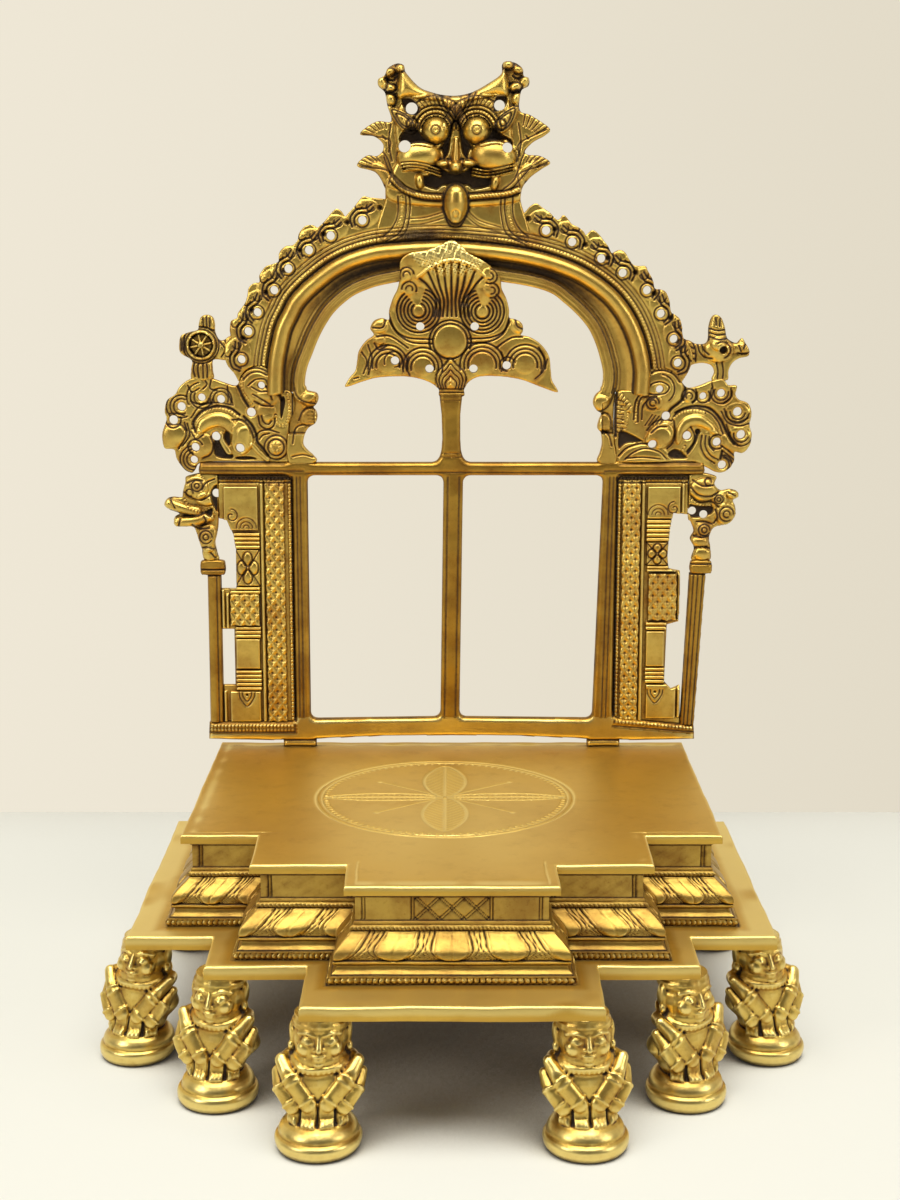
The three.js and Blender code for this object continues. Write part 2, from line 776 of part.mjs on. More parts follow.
function makeBracket(side) {
  const outlineShares = side < 0 ? leftBracketShares : rightBracketShares;
  const holeShares = side < 0 ? leftBracketHoleShares : rightBracketHoleShares;
  const height = panelTop - bracketBottom;
  const place = (shares) => fromShares(shares, colonetteInner, bracketBottom, bracketWidth, height, side);
  const sheet = plate(place(outlineShares), 0, bracketThickness);
  const [head] = place([bracketHeadShare]);
  const bodyLine = place(bracketBodyShares);
  const pawLine = place(bracketPawShares);
  const raised = [
    boss(head, bracketThickness, bracketHeadRadius, bracketHeadRadius, bracketThickness),
    bar(lift(bodyLine, bracketThickness), bracketLimbRadius),
    bar(lift(pawLine, bracketThickness), bracketLimbRadius),
  ];
  const tall = 4 * bracketThickness;
  const holes = place(holeShares).map((point) => (
    disc(point.x, point.y, eyeletRadius, -overrun, tall, smallSides)
  ));
  const above = rectangle(-2 * frameHalfWidth, panelTop, 2 * frameHalfWidth, crossbarTop);
  const behind = rectangle(-2 * frameHalfWidth, 0, 2 * frameHalfWidth, crossbarTop);
  const cutters = [...holes, plate(above, -overrun, tall), plate(behind, -tall, 0)];
  return carve(unite([sheet, ...raised]), cutters);
}

// Arch

// Point at a given angle on the flattened arch, moved outward by an offset square to the curve
function archPoint(angle, offset) {
  const across = Math.cos(angle);
  const up = Math.sin(angle);
  const reach = (Math.abs(across) / archHalfSpan) ** archExponent + (Math.abs(up) / archRise) ** archExponent;
  const radius = reach ** (-1 / archExponent);
  const x = radius * across;
  const y = radius * up;
  const power = archExponent - 1;
  const slopeX = Math.sign(x) * (Math.abs(x) / archHalfSpan) ** power / archHalfSpan;
  const slopeY = (Math.abs(y) / archRise) ** power / archRise;
  const normal = new THREE.Vector2(slopeX, slopeY).normalize();
  return new THREE.Vector2(archCentre + x + normal.x * offset, springingLevel + y + normal.y * offset);
}

// Anything that runs along the arch: a profile of offset and height between two angles
function alongArch(profile, fromAngle, toAngle, steps) {
  const rings = [];
  for (let i = 0; i <= steps; i += 1) {
    const angle = fromAngle + ((toAngle - fromAngle) * i) / steps;
    rings.push(profile.map(([offset, height]) => {
      const point = archPoint(angle, offset);
      return new THREE.Vector3(point.x, point.y, height);
    }));
  }
  const outline = profile.map(([offset, height]) => new THREE.Vector2(offset, height));
  return solid(skin(rings, outline));
}

// Room that the arch moulding takes, grown by a gap, to cut its neighbours
function archRoom(gap) {
  const tall = rollHeight + 2 * overrun;
  const profile = [[-gap, -overrun], [archWidth + gap, -overrun], [archWidth + gap, tall], [-gap, tall]];
  return alongArch(profile, Math.PI, 0, archSteps);
}

// Cusped foot of the arch on the crossbar
const springerShares = [
  [1, 0], [-1.2, 0], [-0.5, 0.1], [-0.35, 0.3], [-1, 0.44], [-1.3, 0.58], [-1.1, 0.7], [-1.1, 0.78],
  [-1.65, 0.83], [-1.5, 0.95], [-0.6, 1.02], [1, 1.02],
];

// Moulding's cross-section from the opening outward: flat band, hollow, big round roll and outer fascia
const mouldingShares = [
  [0, 0], [1, 0], [1, 0.58], [0.93, 0.64], [0.88, 0.88], [0.79, 1], [0.7, 0.9], [0.64, 0.6], [0.6, 0.31],
  [0.32, 0.31], [0.27, 0.53], [0.05, 0.53], [0, 0.42],
];

function makeArchMoulding() {
  const profile = mouldingShares.map(([across, up]) => [across * archWidth, up * rollHeight]);
  const sweep = alongArch(profile, Math.PI, 0, archSteps);
  const feet = [-1, 1].map((side) => {
    const height = archSpringing - jointGap;
    const points = springerShares.map(([across, up]) => {
      const x = archCentre + side * (archHalfSpan + across * springerHalfWidth);
      return new THREE.Vector2(x, makaraBottom + up * height);
    });
    return plate(points, 0, bandThickness);
  });
  return unite([sweep, ...feet]);
}

// Flame border

// Places of the lobes' eyes on one side, from the makara up to the mask's neck
function lobePlaces(side) {
  const samples = [];
  const steps = archSteps * 4;
  for (let i = 0; i <= steps; i += 1) {
    const angle = side < 0 ? Math.PI - (i / steps) * (Math.PI / 2) : (i / steps) * (Math.PI / 2);
    samples.push({ angle, point: archPoint(angle, flameOffset) });
  }
  const places = [];
  let travelled = 0;
  for (let i = 1; i < samples.length && places.length < lobesPerSide; i += 1) {
    travelled += samples[i].point.distanceTo(samples[i - 1].point);
    if (travelled >= firstLobeRise + places.length * lobePitch) {
      places.push(samples[i]);
    }
  }
  return places;
}

function makaraHead(side) {
  const share = side < 0 ? leftMakaraHeadShare : rightMakaraHeadShare;
  const inner = makaraInner + side * archCentre;
  return fromShares([share], inner, makaraBottom, makaraLength, makaraHeight, side)[0];
}

function makeFlameBorder(side) {
  const places = lobePlaces(side);
  const tall = 2 * lobeThickness;
  const first = archWidth + jointGap;
  const profile = [[first, 0], [flameOffset, 0], [flameOffset, flameThickness], [first, flameThickness]];
  const start = side < 0 ? Math.PI - flameStartAngle : flameStartAngle;
  const neckRoom = neckHalfWidth + jointGap;
  const neckCut = rectangle(-neckRoom, springingLevel, neckRoom, maskBottom + maskHeight);
  const band = alongArch(profile, start, Math.PI / 2, archSteps / 2);
  const lobes = places.map(({ point }) => disc(point.x, point.y, lobeRadius, 0, lobeThickness, lobeSides));
  const eyes = places.map(({ point }) => disc(point.x, point.y, eyeletRadius, -overrun, tall, smallSides));
  const head = makaraHead(side);
  const headCut = disc(head.x, head.y, headRadius + jointGap, -overrun, tall, discSides);
  const below = rectangle(-2 * frameHalfWidth, 0, 2 * frameHalfWidth, head.y + headRadius / 2);
  const cutters = [...eyes, headCut, plate(below, -overrun, tall), plate(neckCut, -overrun, tall)];
  return carve(unite([band, ...lobes]), [...cutters, archRoom(jointGap)]);
}

// Room that the flame border takes, grown by a gap
function flameRoom(side, gap) {
  const places = lobePlaces(side);
  const tall = 3 * lobeThickness;
  return places.map(({ point }) => disc(point.x, point.y, lobeRadius + gap, -overrun, tall, lobeSides));
}

// Lion mask

const maskOutlineShares = [
  [-0.68, 0.01], [-0.69, 0.08], [-0.78, 0.19], [-0.95, 0.22], [-0.94, 0.27], [-0.85, 0.31], [-0.7, 0.31],
  [-0.7, 0.38], [-0.8, 0.44], [-0.93, 0.46], [-0.88, 0.51], [-0.75, 0.56], [-0.61, 0.56], [-0.65, 0.68],
  [-0.68, 0.77], [-0.74, 0.81], [-0.74, 0.86], [-0.68, 0.89], [-0.64, 0.94], [-0.55, 0.97], [-0.49, 0.96],
  [-0.46, 0.9], [-0.33, 0.81], [-0.17, 0.76], [0.03, 0.74], [0.2, 0.77], [0.35, 0.82], [0.5, 0.9],
  [0.51, 0.97], [0.56, 1], [0.65, 0.98], [0.71, 0.94], [0.72, 0.89], [0.78, 0.87], [0.78, 0.82], [0.7, 0.77],
  [0.69, 0.62], [0.8, 0.6], [0.99, 0.51], [0.95, 0.46], [0.82, 0.41], [0.74, 0.32], [0.9, 0.31], [1, 0.25],
  [0.9, 0.21], [0.78, 0.14], [0.7, 0.01],
];
const maskHoleShares = [[-0.4, 0.65], [-0.47, 0.38], [0.48, 0.68], [0.56, 0.37]];
const maskEyeShares = [[-0.16, 0.49], [0.25, 0.49]];
const cheekShares = [[-0.31, 0.29], [0.41, 0.31]];
const nostrilShares = [[-0.07, 0.25], [0.16, 0.25]];
const noseShares = [[0.04, 0.38], [0.04, 0.25]];
const tongueShares = [[0.04, 0.06], [0.04, -0.08]];
const fangShares = [[[-0.33, 0.19], [-0.33, 0.08]], [[0.42, 0.19], [0.46, 0.08]]];
const hornShares = [
  [[-0.07, 0.7], [-0.28, 0.76], [-0.42, 0.84], [-0.54, 0.94]],
  [[0.12, 0.71], [0.3, 0.78], [0.45, 0.85], [0.57, 0.96]],
];
const knobShares = [[-0.7, 0.83], [-0.57, 0.75], [-0.62, 0.91], [0.74, 0.85], [0.58, 0.76], [0.68, 0.92]];
const earShares = [[[-0.62, 0.67], [-0.5, 0.56], [-0.39, 0.5]], [[0.66, 0.66], [0.55, 0.56], [0.46, 0.49]]];
const browSweepShare = 0.99;

function makeMask() {
  const place = (shares) => fromShares(shares, 0, maskBottom, maskHalfWidth, maskHeight);
  const sheet = plate(place(maskOutlineShares), 0, maskThickness);
  const neckFoot = archCrown + archWidth / 2;
  const neckOutline = rectangle(-neckHalfWidth, neckFoot, neckHalfWidth, maskBottom + neckOverlap);
  const neck = plate(neckOutline, 0, maskThickness);
  const tall = 2 * rollHeight;
  const holes = place(maskHoleShares).map((point) => (
    disc(point.x, point.y, maskHoleRadius, -overrun, tall, smallSides + 2)
  ));
  const back = rectangle(-2 * maskHalfWidth, 0, 2 * maskHalfWidth, maskBottom + 2 * maskHeight);
  const raised = [];
  place(maskEyeShares).forEach((point) => {
    raised.push(boss(point, maskThickness, eyeRadius, eyeRadius, eyeForward, bossAround, barSteps));
    const brow = [];
    for (let i = 0; i <= barSteps; i += 1) {
      const angle = Math.PI * (0.5 + browSweepShare * (i / barSteps - 0.5));
      const x = point.x + browReach * Math.cos(angle);
      const y = point.y + browReach * Math.sin(angle);
      brow.push(new THREE.Vector3(x, y, maskThickness));
    }
    raised.push(bar(brow, browRadius, barSteps, limbSides));
  });
  place(cheekShares).forEach((point) => {
    raised.push(boss(point, maskThickness, cheekLength, cheekHeight, cheekForward, bossAround, barSteps));
  });
  const [bridge, noseTip] = place(noseShares);
  raised.push(limb(
    new THREE.Vector3(bridge.x, bridge.y, maskThickness),
    new THREE.Vector3(noseTip.x, noseTip.y, snoutLevel),
    bridgeRadius,
    snoutRadius,
    latheSides / 2,
  ));
  place(nostrilShares).forEach((point) => {
    raised.push(boss(point, nostrilLevel, snoutRadius, nostrilRadius, cheekForward, latheSides / 2));
  });
  const [root, tip] = place(tongueShares);
  raised.push(limb(
    new THREE.Vector3(root.x, root.y, tongueRootLevel),
    new THREE.Vector3(tip.x, tip.y, tongueTipLevel),
    tongueRadius,
    tongueTipRadius,
    latheSides / 2,
  ));
  const chin = new THREE.Vector2(root.x, root.y + tongueRadius);
  raised.push(boss(chin, maskThickness, chinWidth, tongueRadius, maskThickness, latheSides / 2));
  fangShares.forEach((pair) => {
    const [upper, lower] = lift(place(pair), maskThickness + fangRadius / 2);
    raised.push(limb(upper, lower, fangRadius, fangTipRadius));
  });
  hornShares.forEach((shares) => {
    const points = lift(place(shares), maskThickness);
    const shrink = (hornRadius - hornTipRadius) / (points.length - 1);
    for (let i = 1; i < points.length; i += 1) {
      raised.push(limb(points[i - 1], points[i], hornRadius - shrink * (i - 1), hornRadius - shrink * i));
    }
  });
  place(knobShares).forEach((point) => {
    raised.push(boss(point, maskThickness, knobRadius, knobRadius, knobRadius, smallSides, 4));
  });
  earShares.forEach((shares) => raised.push(bar(lift(place(shares), maskThickness), earRadius, 4)));
  const cutters = [...holes, plate(back, -tall, 0), archRoom(jointGap)];
  return carve(unite([sheet, neck, ...raised]), cutters);
}

// Crown leaf

const crownOutlineShares = [
  [-0.1, 0.01], [-0.17, 0.06], [-0.3, 0.11], [-0.45, 0.14], [-0.68, 0.14], [-0.86, 0.09], [-1, 0.04],
  [-0.95, 0.12], [-0.9, 0.24], [-0.86, 0.35], [-0.77, 0.46], [-0.72, 0.5], [-0.76, 0.55], [-0.72, 0.61],
  [-0.6, 0.62], [-0.59, 0.7], [-0.55, 0.8], [-0.5, 0.9], [-0.48, 0.97], [0.45, 0.97], [0.47, 0.9],
  [0.51, 0.8], [0.54, 0.71], [0.55, 0.62], [0.62, 0.61], [0.67, 0.55], [0.66, 0.49], [0.75, 0.47],
  [0.86, 0.4], [0.93, 0.28], [0.94, 0.11], [1, 0], [0.82, 0.04], [0.64, 0.11], [0.45, 0.14], [0.27, 0.14], [0.18, 0.1],
  [0.11, 0.01],
];
const crownHoleShares = [[-0.53, 0.27], [-0.21, 0.2], [0.2, 0.2], [0.52, 0.23], [-0.3, 0.56], [0.22, 0.56]];
const crownScrollShares = [[-0.31, 0.69], [0.28, 0.68]];
const crownPetalShares = [[-0.6, 0.26], [-0.28, 0.27], [0.28, 0.28], [0.67, 0.28]];
const crownBossShare = [-0.01, 0.43];
const budShares = [
  [-0.1, 0], [-0.14, 0.13], [-0.08, 0.23], [-0.01, 0.3], [0.07, 0.23], [0.12, 0.13], [0.1, 0],
];
const tongueRootShares = [[-0.45, 0.88], [0.43, 0.88], [0.42, 0.97], [-0.46, 0.97]];
const tongueTipShares = [
  [-0.46, 0.9], [0.42, 0.9], [0.39, 1.05], [0.2, 1.18], [0, 1.28], [-0.3, 1.17], [-0.47, 1.1],
];

function makeCrown() {
  const place = (shares) => fromShares(shares, 0, crownBottom, crownHalfWidth, crownHeight);
  const tall = 2 * rollHeight;
  const cutters = [archRoom(jointGap)];
  place(crownHoleShares).forEach((point) => {
    cutters.push(disc(point.x, point.y, crownHoleRadius, -overrun, tall, smallSides));
  });
  const raised = place(crownScrollShares).map((point) => (
    boss(point, crownBossLevel, scrollRadius, scrollRadius, scrollRelief, lobeSides, 4)
  ));
  place(crownPetalShares).forEach((point) => {
    raised.push(boss(point, crownBossLevel, petalRadius, petalRadius, petalDomeRelief, latheSides / 2, 4));
  });
  const [middle] = place([crownBossShare]);
  raised.push(boss(middle, crownBossLevel, crownBossRadius, crownBossRadius, middleRelief, bossAround, 4));
  raised.push(plate(place(budShares), 0, budThickness));
  const leaf = carve(unite([plate(place(crownOutlineShares), 0, crownSheet), ...raised]), cutters);
  const tongueBottom = rollHeight + jointGap;
  const tongueTop = tongueBottom + tongueThickness;
  const root = carve(plate(place(tongueRootShares), 0, tongueTop), [archRoom(jointGap)]);
  const tip = plate(place(tongueTipShares), tongueBottom, tongueTop);
  const back = rectangle(-2 * crownHalfWidth, 0, 2 * crownHalfWidth, 2 * archCrown);
  return carve(unite([leaf, root, tip]), [plate(back, -tall, 0)]);
}

// Makaras

const leftMakaraShares = [
  [0, 0], [0.72, 0], [0.73, -0.08], [0.76, -0.12], [0.83, -0.08], [0.89, 0.03], [0.91, 0.13], [0.98, 0.14],
  [0.99, 0.27], [0.97, 0.41], [0.97, 0.52], [0.93, 0.64], [0.87, 0.73], [0.86, 0.79], [0.78, 0.85],
  [0.62, 0.85], [0.48, 0.78], [0.4, 0.8], [0.12, 0.8], [0, 0.73],
];
const rightMakaraShares = [
  [0, 0], [0.67, 0], [0.71, -0.06], [0.83, -0.1], [0.88, -0.06], [0.91, 0.02], [0.92, 0.11], [0.98, 0.09],
  [1.03, 0.19], [1.04, 0.29], [1.02, 0.42], [1.03, 0.52], [0.99, 0.62], [0.93, 0.65], [0.92, 0.78],
  [0.84, 0.84], [0.75, 0.84], [0.66, 0.79], [0.56, 0.77], [0.46, 0.8], [0.12, 0.8], [0, 0.73],
];
const leftMakaraHoleShares = [
  [0.26, 0.8], [0.34, 0.52], [0.42, 0.15], [0.6, 0.27], [0.75, 0.16], [0.76, 0.02], [0.91, 0.44],
  [0.85, 0.58], [0.7, 0.67], [0.56, 0.66],
];
const rightMakaraHoleShares = [
  [0.36, 0.76], [0.41, 0.48], [0.57, 0.28], [0.68, 0.69], [0.81, 0.72], [0.93, 0.53], [0.96, 0.29],
  [0.79, 0.21], [0.83, -0.03], [0.31, 0.19],
];
const leftMakaraHeadShare = [0.26, 0.8];
const rightMakaraHeadShare = [0.36, 0.76];
const leftBackShares = [
  [0.8, 0.19], [0.77, 0.37], [0.68, 0.49], [0.57, 0.53], [0.46, 0.49], [0.37, 0.39], [0.34, 0.24],
];
const rightBackShares = [
  [0.81, 0.22], [0.79, 0.37], [0.71, 0.48], [0.62, 0.52], [0.51, 0.48], [0.43, 0.38], [0.32, 0.34],
];
const leftSpiralShare = [0.16, 0.17];
const rightSpiralShare = [0.2, 0.12];
const haunchShares = [[0.7, 0.2], [0.42, 0.28]];
const snoutShares = [[0.22, 0.7], [0.13, 0.55], [0.1, 0.42]];
const rimLiftShare = 1.28;
const rimCentreShare = [0.58, 0.1];

function makeMakara(side) {
  const left = side < 0;
  const place = (shares) => (
    fromShares(shares, makaraInner + side * archCentre, makaraBottom, makaraLength, makaraHeight, side)
  );
  const head = makaraHead(side);
  const sheet = plate(place(left ? leftMakaraShares : rightMakaraShares), 0, makaraThickness);
  const raised = [disc(head.x, head.y, headRadius, 0, headThickness, discSides)];
  const backLine = place(left ? leftBackShares : rightBackShares);
  raised.push(bar(lift(backLine, makaraThickness), backRollRadius));
  const [rimCentre] = place([rimCentreShare]);
  const rim = backLine.map((point) => (
    point.clone().sub(rimCentre).multiplyScalar(rimLiftShare).add(rimCentre)
  ));
  raised.push(bar(lift(rim, makaraThickness), beadRimRadius, barSteps + 1, limbSides));
  const [spiral] = place([left ? leftSpiralShare : rightSpiralShare]);
  raised.push(boss(spiral, makaraThickness, spiralRadius, spiralRadius, makaraRelief));
  place(haunchShares).forEach((point) => {
    raised.push(boss(point, makaraThickness, haunchRadius, haunchRadius, makaraRelief));
  });
  raised.push(bar(lift(place(snoutShares), makaraThickness), backRollRadius));
  const seatX = emblemPlace(side).x;
  const seatTopLevel = makaraBottom + emblemSeat;
  const seatPad = rectangle(
    seatX - emblemSeatHalfWidth,
    seatTopLevel - emblemSeat / 2,
    seatX + emblemSeatHalfWidth,
    seatTopLevel,
  );
  raised.push(plate(seatPad, 0, makaraThickness));
  const tall = 2 * makaraBottom;
  const cutters = place(left ? leftMakaraHoleShares : rightMakaraHoleShares).map((point) => (
    disc(point.x, point.y, makaraHoleRadius, -overrun, tall, smallSides)
  ));
  const everywhere = rectangle(-2 * frameHalfWidth, 0, 2 * frameHalfWidth, maskBottom);
  cutters.push(plate(everywhere, -tall, 0), archRoom(jointGap));
  const inner = archCentre + side * makaraInner;
  const springerSide = rectangle(Math.min(0, inner), 0, Math.max(0, inner), springingLevel + makaraHeight);
  cutters.push(plate(springerSide, -overrun, tall));
  const barRoom = rectangle(-crossbarHalfSpan - jointGap, 0, crossbarHalfSpan + jointGap, makaraBottom);
  cutters.push(plate(barRoom, -overrun, tall));
  return carve(unite([sheet, ...raised]), [...cutters, ...flameRoom(side, jointGap)]);
}

// Wheel and conch

function emblemPlace(side) {
  return new THREE.Vector2(archCentre + side * (side < 0 ? wheelX : conchX), makaraBottom + emblemLift);
}

function makeWheel(side) {
  const centre = emblemPlace(side);
  const foot = makaraBottom + emblemSeat + jointGap;
  const spokes = [];
  for (let i = 0; i < spokeCount / 2; i += 1) {
    const geometry = new THREE.BoxGeometry(2 * wheelRadius, spokeWidth, 2 * wheelRelief);
    geometry.rotateZ((i / spokeCount) * 2 * Math.PI);
    geometry.translate(centre.x, centre.y, emblemThickness - wheelRimWidth / 2);
    spokes.push(solid(geometry));
  }
  const { x, y } = centre;
  const body = disc(x, y, wheelRadius + wheelRimWidth, 0, emblemThickness, latheSides);
  const wellFloor = emblemThickness - wheelRelief;
  const well = disc(x, y, wheelRadius - wheelRimWidth / 2, wellFloor, 2 * emblemThickness, latheSides);
  const hub = disc(x, y, hubRadius, wellFloor, emblemThickness + wheelRelief / 2, smallSides);
  const flares = [[0, flareReach], [side * flareReach, 0]].map(([across, up]) => (
    disc(x + across, y + up, flareRadius, 0, emblemSheet, latheSides / 2)
  ));
  const stem = rectangle(x - stemHalfWidth, foot, x + stemHalfWidth, y);
  const inward = x - side * armReach;
  const arm = rectangle(Math.min(x, inward), y - armHalfHeight, Math.max(x, inward), y + armHalfHeight);
  const holder = unite([stem, arm].map((outline) => plate(outline, 0, emblemSheet)));
  const wheel = unite([carve(unite([body, holder]), [well]), ...spokes, hub, ...flares]);
  return carve(wheel, flameRoom(side, jointGap));
}

const conchShares = [
  [0.52, 0.02], [0.52, 0.19], [0.43, 0.33], [0.23, 0.25], [0.05, 0.2], [0, 0.3], [0.03, 0.5], [0.17, 0.56],
  [0.37, 0.55], [0.43, 0.62], [0.44, 0.85], [0.48, 0.98], [0.55, 1.01], [0.62, 0.94], [0.67, 0.79],
  [0.7, 0.63], [0.83, 0.55], [0.91, 0.65], [0.95, 0.56], [1.01, 0.42], [0.99, 0.35], [0.87, 0.32],
  [0.77, 0.24], [0.72, 0.12], [0.7, 0.02],
];
const conchBodyShare = [0.62, 0.45];
const conchStemShare = 0.61;
const conchSpireShare = [0.55, 0.8];

function makeConch(side) {
  const foot = makaraBottom + emblemSeat + jointGap;
  const left = emblemPlace(side).x - conchWidth * conchStemShare;
  const place = (shares) => fromShares(shares, left, foot, conchWidth, conchHeight);
  const sheet = plate(place(conchShares), 0, emblemSheet);
  const [body, spire] = place([conchBodyShare, conchSpireShare]);
  const raised = [
    boss(body, emblemSheet, conchHalfLength, conchRadius, conchRelief),
    boss(spire, spireLevel, spireRadius, conchRadius, spireRadius, latheSides / 2),
  ];
  const under = rectangle(-2 * frameHalfWidth, 0, 2 * frameHalfWidth, maskBottom);
  const seatSide = rectangle(-2 * frameHalfWidth, 0, 2 * frameHalfWidth, foot);
  const cutters = [plate(under, -3 * emblemThickness, 0), plate(seatSide, -overrun, 3 * emblemThickness)];
  return carve(unite([sheet, ...raised]), [...cutters, ...flameRoom(side, jointGap)]);
}

// Assembly
const throne = new THREE.Group();

function addPiece(group, name, geometry, material) {
  const mesh = new THREE.Mesh(geometry, material);
  mesh.name = name;
  group.add(mesh);
  return mesh;
}

const pedestal = new THREE.Group();
throne.add(pedestal);
addPiece(pedestal, 'lower_plate', toGeometry(makeLowerPlate()), brass).position.z = legHeight;
addPiece(pedestal, 'lotus_base', toGeometry(makeLotusBase()), oldBrass).position.z = lowerPlateTop;
addPiece(pedestal, 'neck', toGeometry(makeNeck()), oldBrass).position.z = neckBottom;
addPiece(pedestal, 'seat_plate', toGeometry(makeSeatPlate()), brass).position.z = seatUnderside;
legPlaces.forEach(({ name, x, y, leanX, leanY, turn }) => {
  [-1, 1].forEach((side) => {
    const facing = turn === 0 ? 1 : -1;
    const geometry = makeLeg(facing * side * leanX, facing * leanY);
    const leg = addPiece(pedestal, `${name}_${side < 0 ? 'left' : 'right'}`, geometry, oldBrass);
    leg.position.set(side * (x + leanX), y + leanY, 0);
    leg.rotation.z = turn;
  });
});

// The back is modelled lying flat, its face up, and stands up in its slots behind the seat
const back = new THREE.Group();
back.position.set(0, backPlane, frameBottom);
back.rotation.x = Math.PI / 2;
throne.add(back);
addPiece(back, 'back_frame', toGeometry(makeBackFrame()), brass);
addPiece(back, 'arch_moulding', toGeometry(makeArchMoulding()), brass);
addPiece(back, 'kirtimukha', toGeometry(makeMask()), oldBrass);
addPiece(back, 'crown_leaf', toGeometry(makeCrown()), oldBrass);
addPiece(back, 'chakra_emblem', toGeometry(makeWheel(-1)), oldBrass);
addPiece(back, 'shankha_emblem', toGeometry(makeConch(1)), oldBrass);
[-1, 1].forEach((side) => {
  const hand = side < 0 ? 'left' : 'right';
  addPiece(back, `${hand}_pillar_panel`, toGeometry(makePanel(side)), oldBrass);
  addPiece(back, `${hand}_colonette`, toGeometry(makeColonette(side)), brass);
  addPiece(back, `${hand}_yali_bracket`, toGeometry(makeBracket(side)), oldBrass);
  addPiece(back, `${hand}_makara`, toGeometry(makeMakara(side)), oldBrass);
  addPiece(back, `${hand}_flame_border`, toGeometry(makeFlameBorder(side)), oldBrass);
});

export default throne;
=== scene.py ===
import math

import bmesh
import bpy
import numpy as np
from mathutils import Matrix, Vector


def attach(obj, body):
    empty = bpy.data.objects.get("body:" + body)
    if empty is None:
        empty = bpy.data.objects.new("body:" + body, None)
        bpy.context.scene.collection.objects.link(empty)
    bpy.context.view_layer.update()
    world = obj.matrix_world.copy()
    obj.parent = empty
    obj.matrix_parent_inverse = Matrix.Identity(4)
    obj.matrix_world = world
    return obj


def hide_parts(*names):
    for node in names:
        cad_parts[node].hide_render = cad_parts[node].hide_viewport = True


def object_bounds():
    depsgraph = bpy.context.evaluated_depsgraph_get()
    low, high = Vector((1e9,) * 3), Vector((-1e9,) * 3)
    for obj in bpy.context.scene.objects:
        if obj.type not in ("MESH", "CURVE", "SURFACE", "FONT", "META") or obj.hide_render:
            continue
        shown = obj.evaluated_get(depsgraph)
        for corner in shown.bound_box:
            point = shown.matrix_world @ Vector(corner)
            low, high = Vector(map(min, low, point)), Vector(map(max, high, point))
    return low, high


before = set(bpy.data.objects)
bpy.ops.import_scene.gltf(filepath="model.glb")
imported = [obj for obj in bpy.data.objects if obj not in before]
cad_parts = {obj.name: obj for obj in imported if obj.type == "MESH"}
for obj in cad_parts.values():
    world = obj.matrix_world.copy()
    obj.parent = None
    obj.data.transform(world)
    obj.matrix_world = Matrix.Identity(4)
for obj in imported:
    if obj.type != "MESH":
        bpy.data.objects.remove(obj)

cad_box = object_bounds()
MM = 0.001


# The brass. The whole throne is cast in brass, filed and rubbed bright on its faces, and left brown with old
# polish and soot in the hollows. The finishes also paint shade into creases and between pieces, and a painted
# sheen on some faces. Every piece takes one of these finishes.


def new_group(name, inputs, outputs):
    """An empty shader group with named sockets: inputs are (kind, name, value), outputs (kind, name)."""
    group = bpy.data.node_groups.new(name, "ShaderNodeTree")
    for kind, label, value in inputs:
        socket = group.interface.new_socket(label, in_out="INPUT", socket_type="NodeSocket" + kind)
        socket.default_value = value
    for kind, label in outputs:
        group.interface.new_socket(label, in_out="OUTPUT", socket_type="NodeSocket" + kind)
    return group, group.nodes.new("NodeGroupInput"), group.nodes.new("NodeGroupOutput")


def node(tree, kind, inputs=(), **settings):
    """A node with its settings and its inputs, which are values or another node's output."""
    made = tree.nodes.new(kind)
    for key, value in settings.items():
        setattr(made, key, value)
    for key, value in dict(inputs).items():
        if isinstance(value, bpy.types.NodeSocket):
            tree.links.new(value, made.inputs[key])
        else:
            made.inputs[key].default_value = value
    return made


def maths(tree, operation, first, second=0.0, clamp=False):
    return node(tree, "ShaderNodeMath", {0: first, 1: second}, operation=operation, use_clamp=clamp).outputs[0]


def blend_colours(tree, factor, first, second):
    return node(tree, "ShaderNodeMix", {"Factor": factor, 6: first, 7: second}, data_type="RGBA").outputs[2]


def ramp(tree, value, low, high):
    return node(tree, "ShaderNodeMapRange", {"Value": value, "From Min": low, "From Max": high},
                interpolation_type="SMOOTHSTEP").outputs[0]


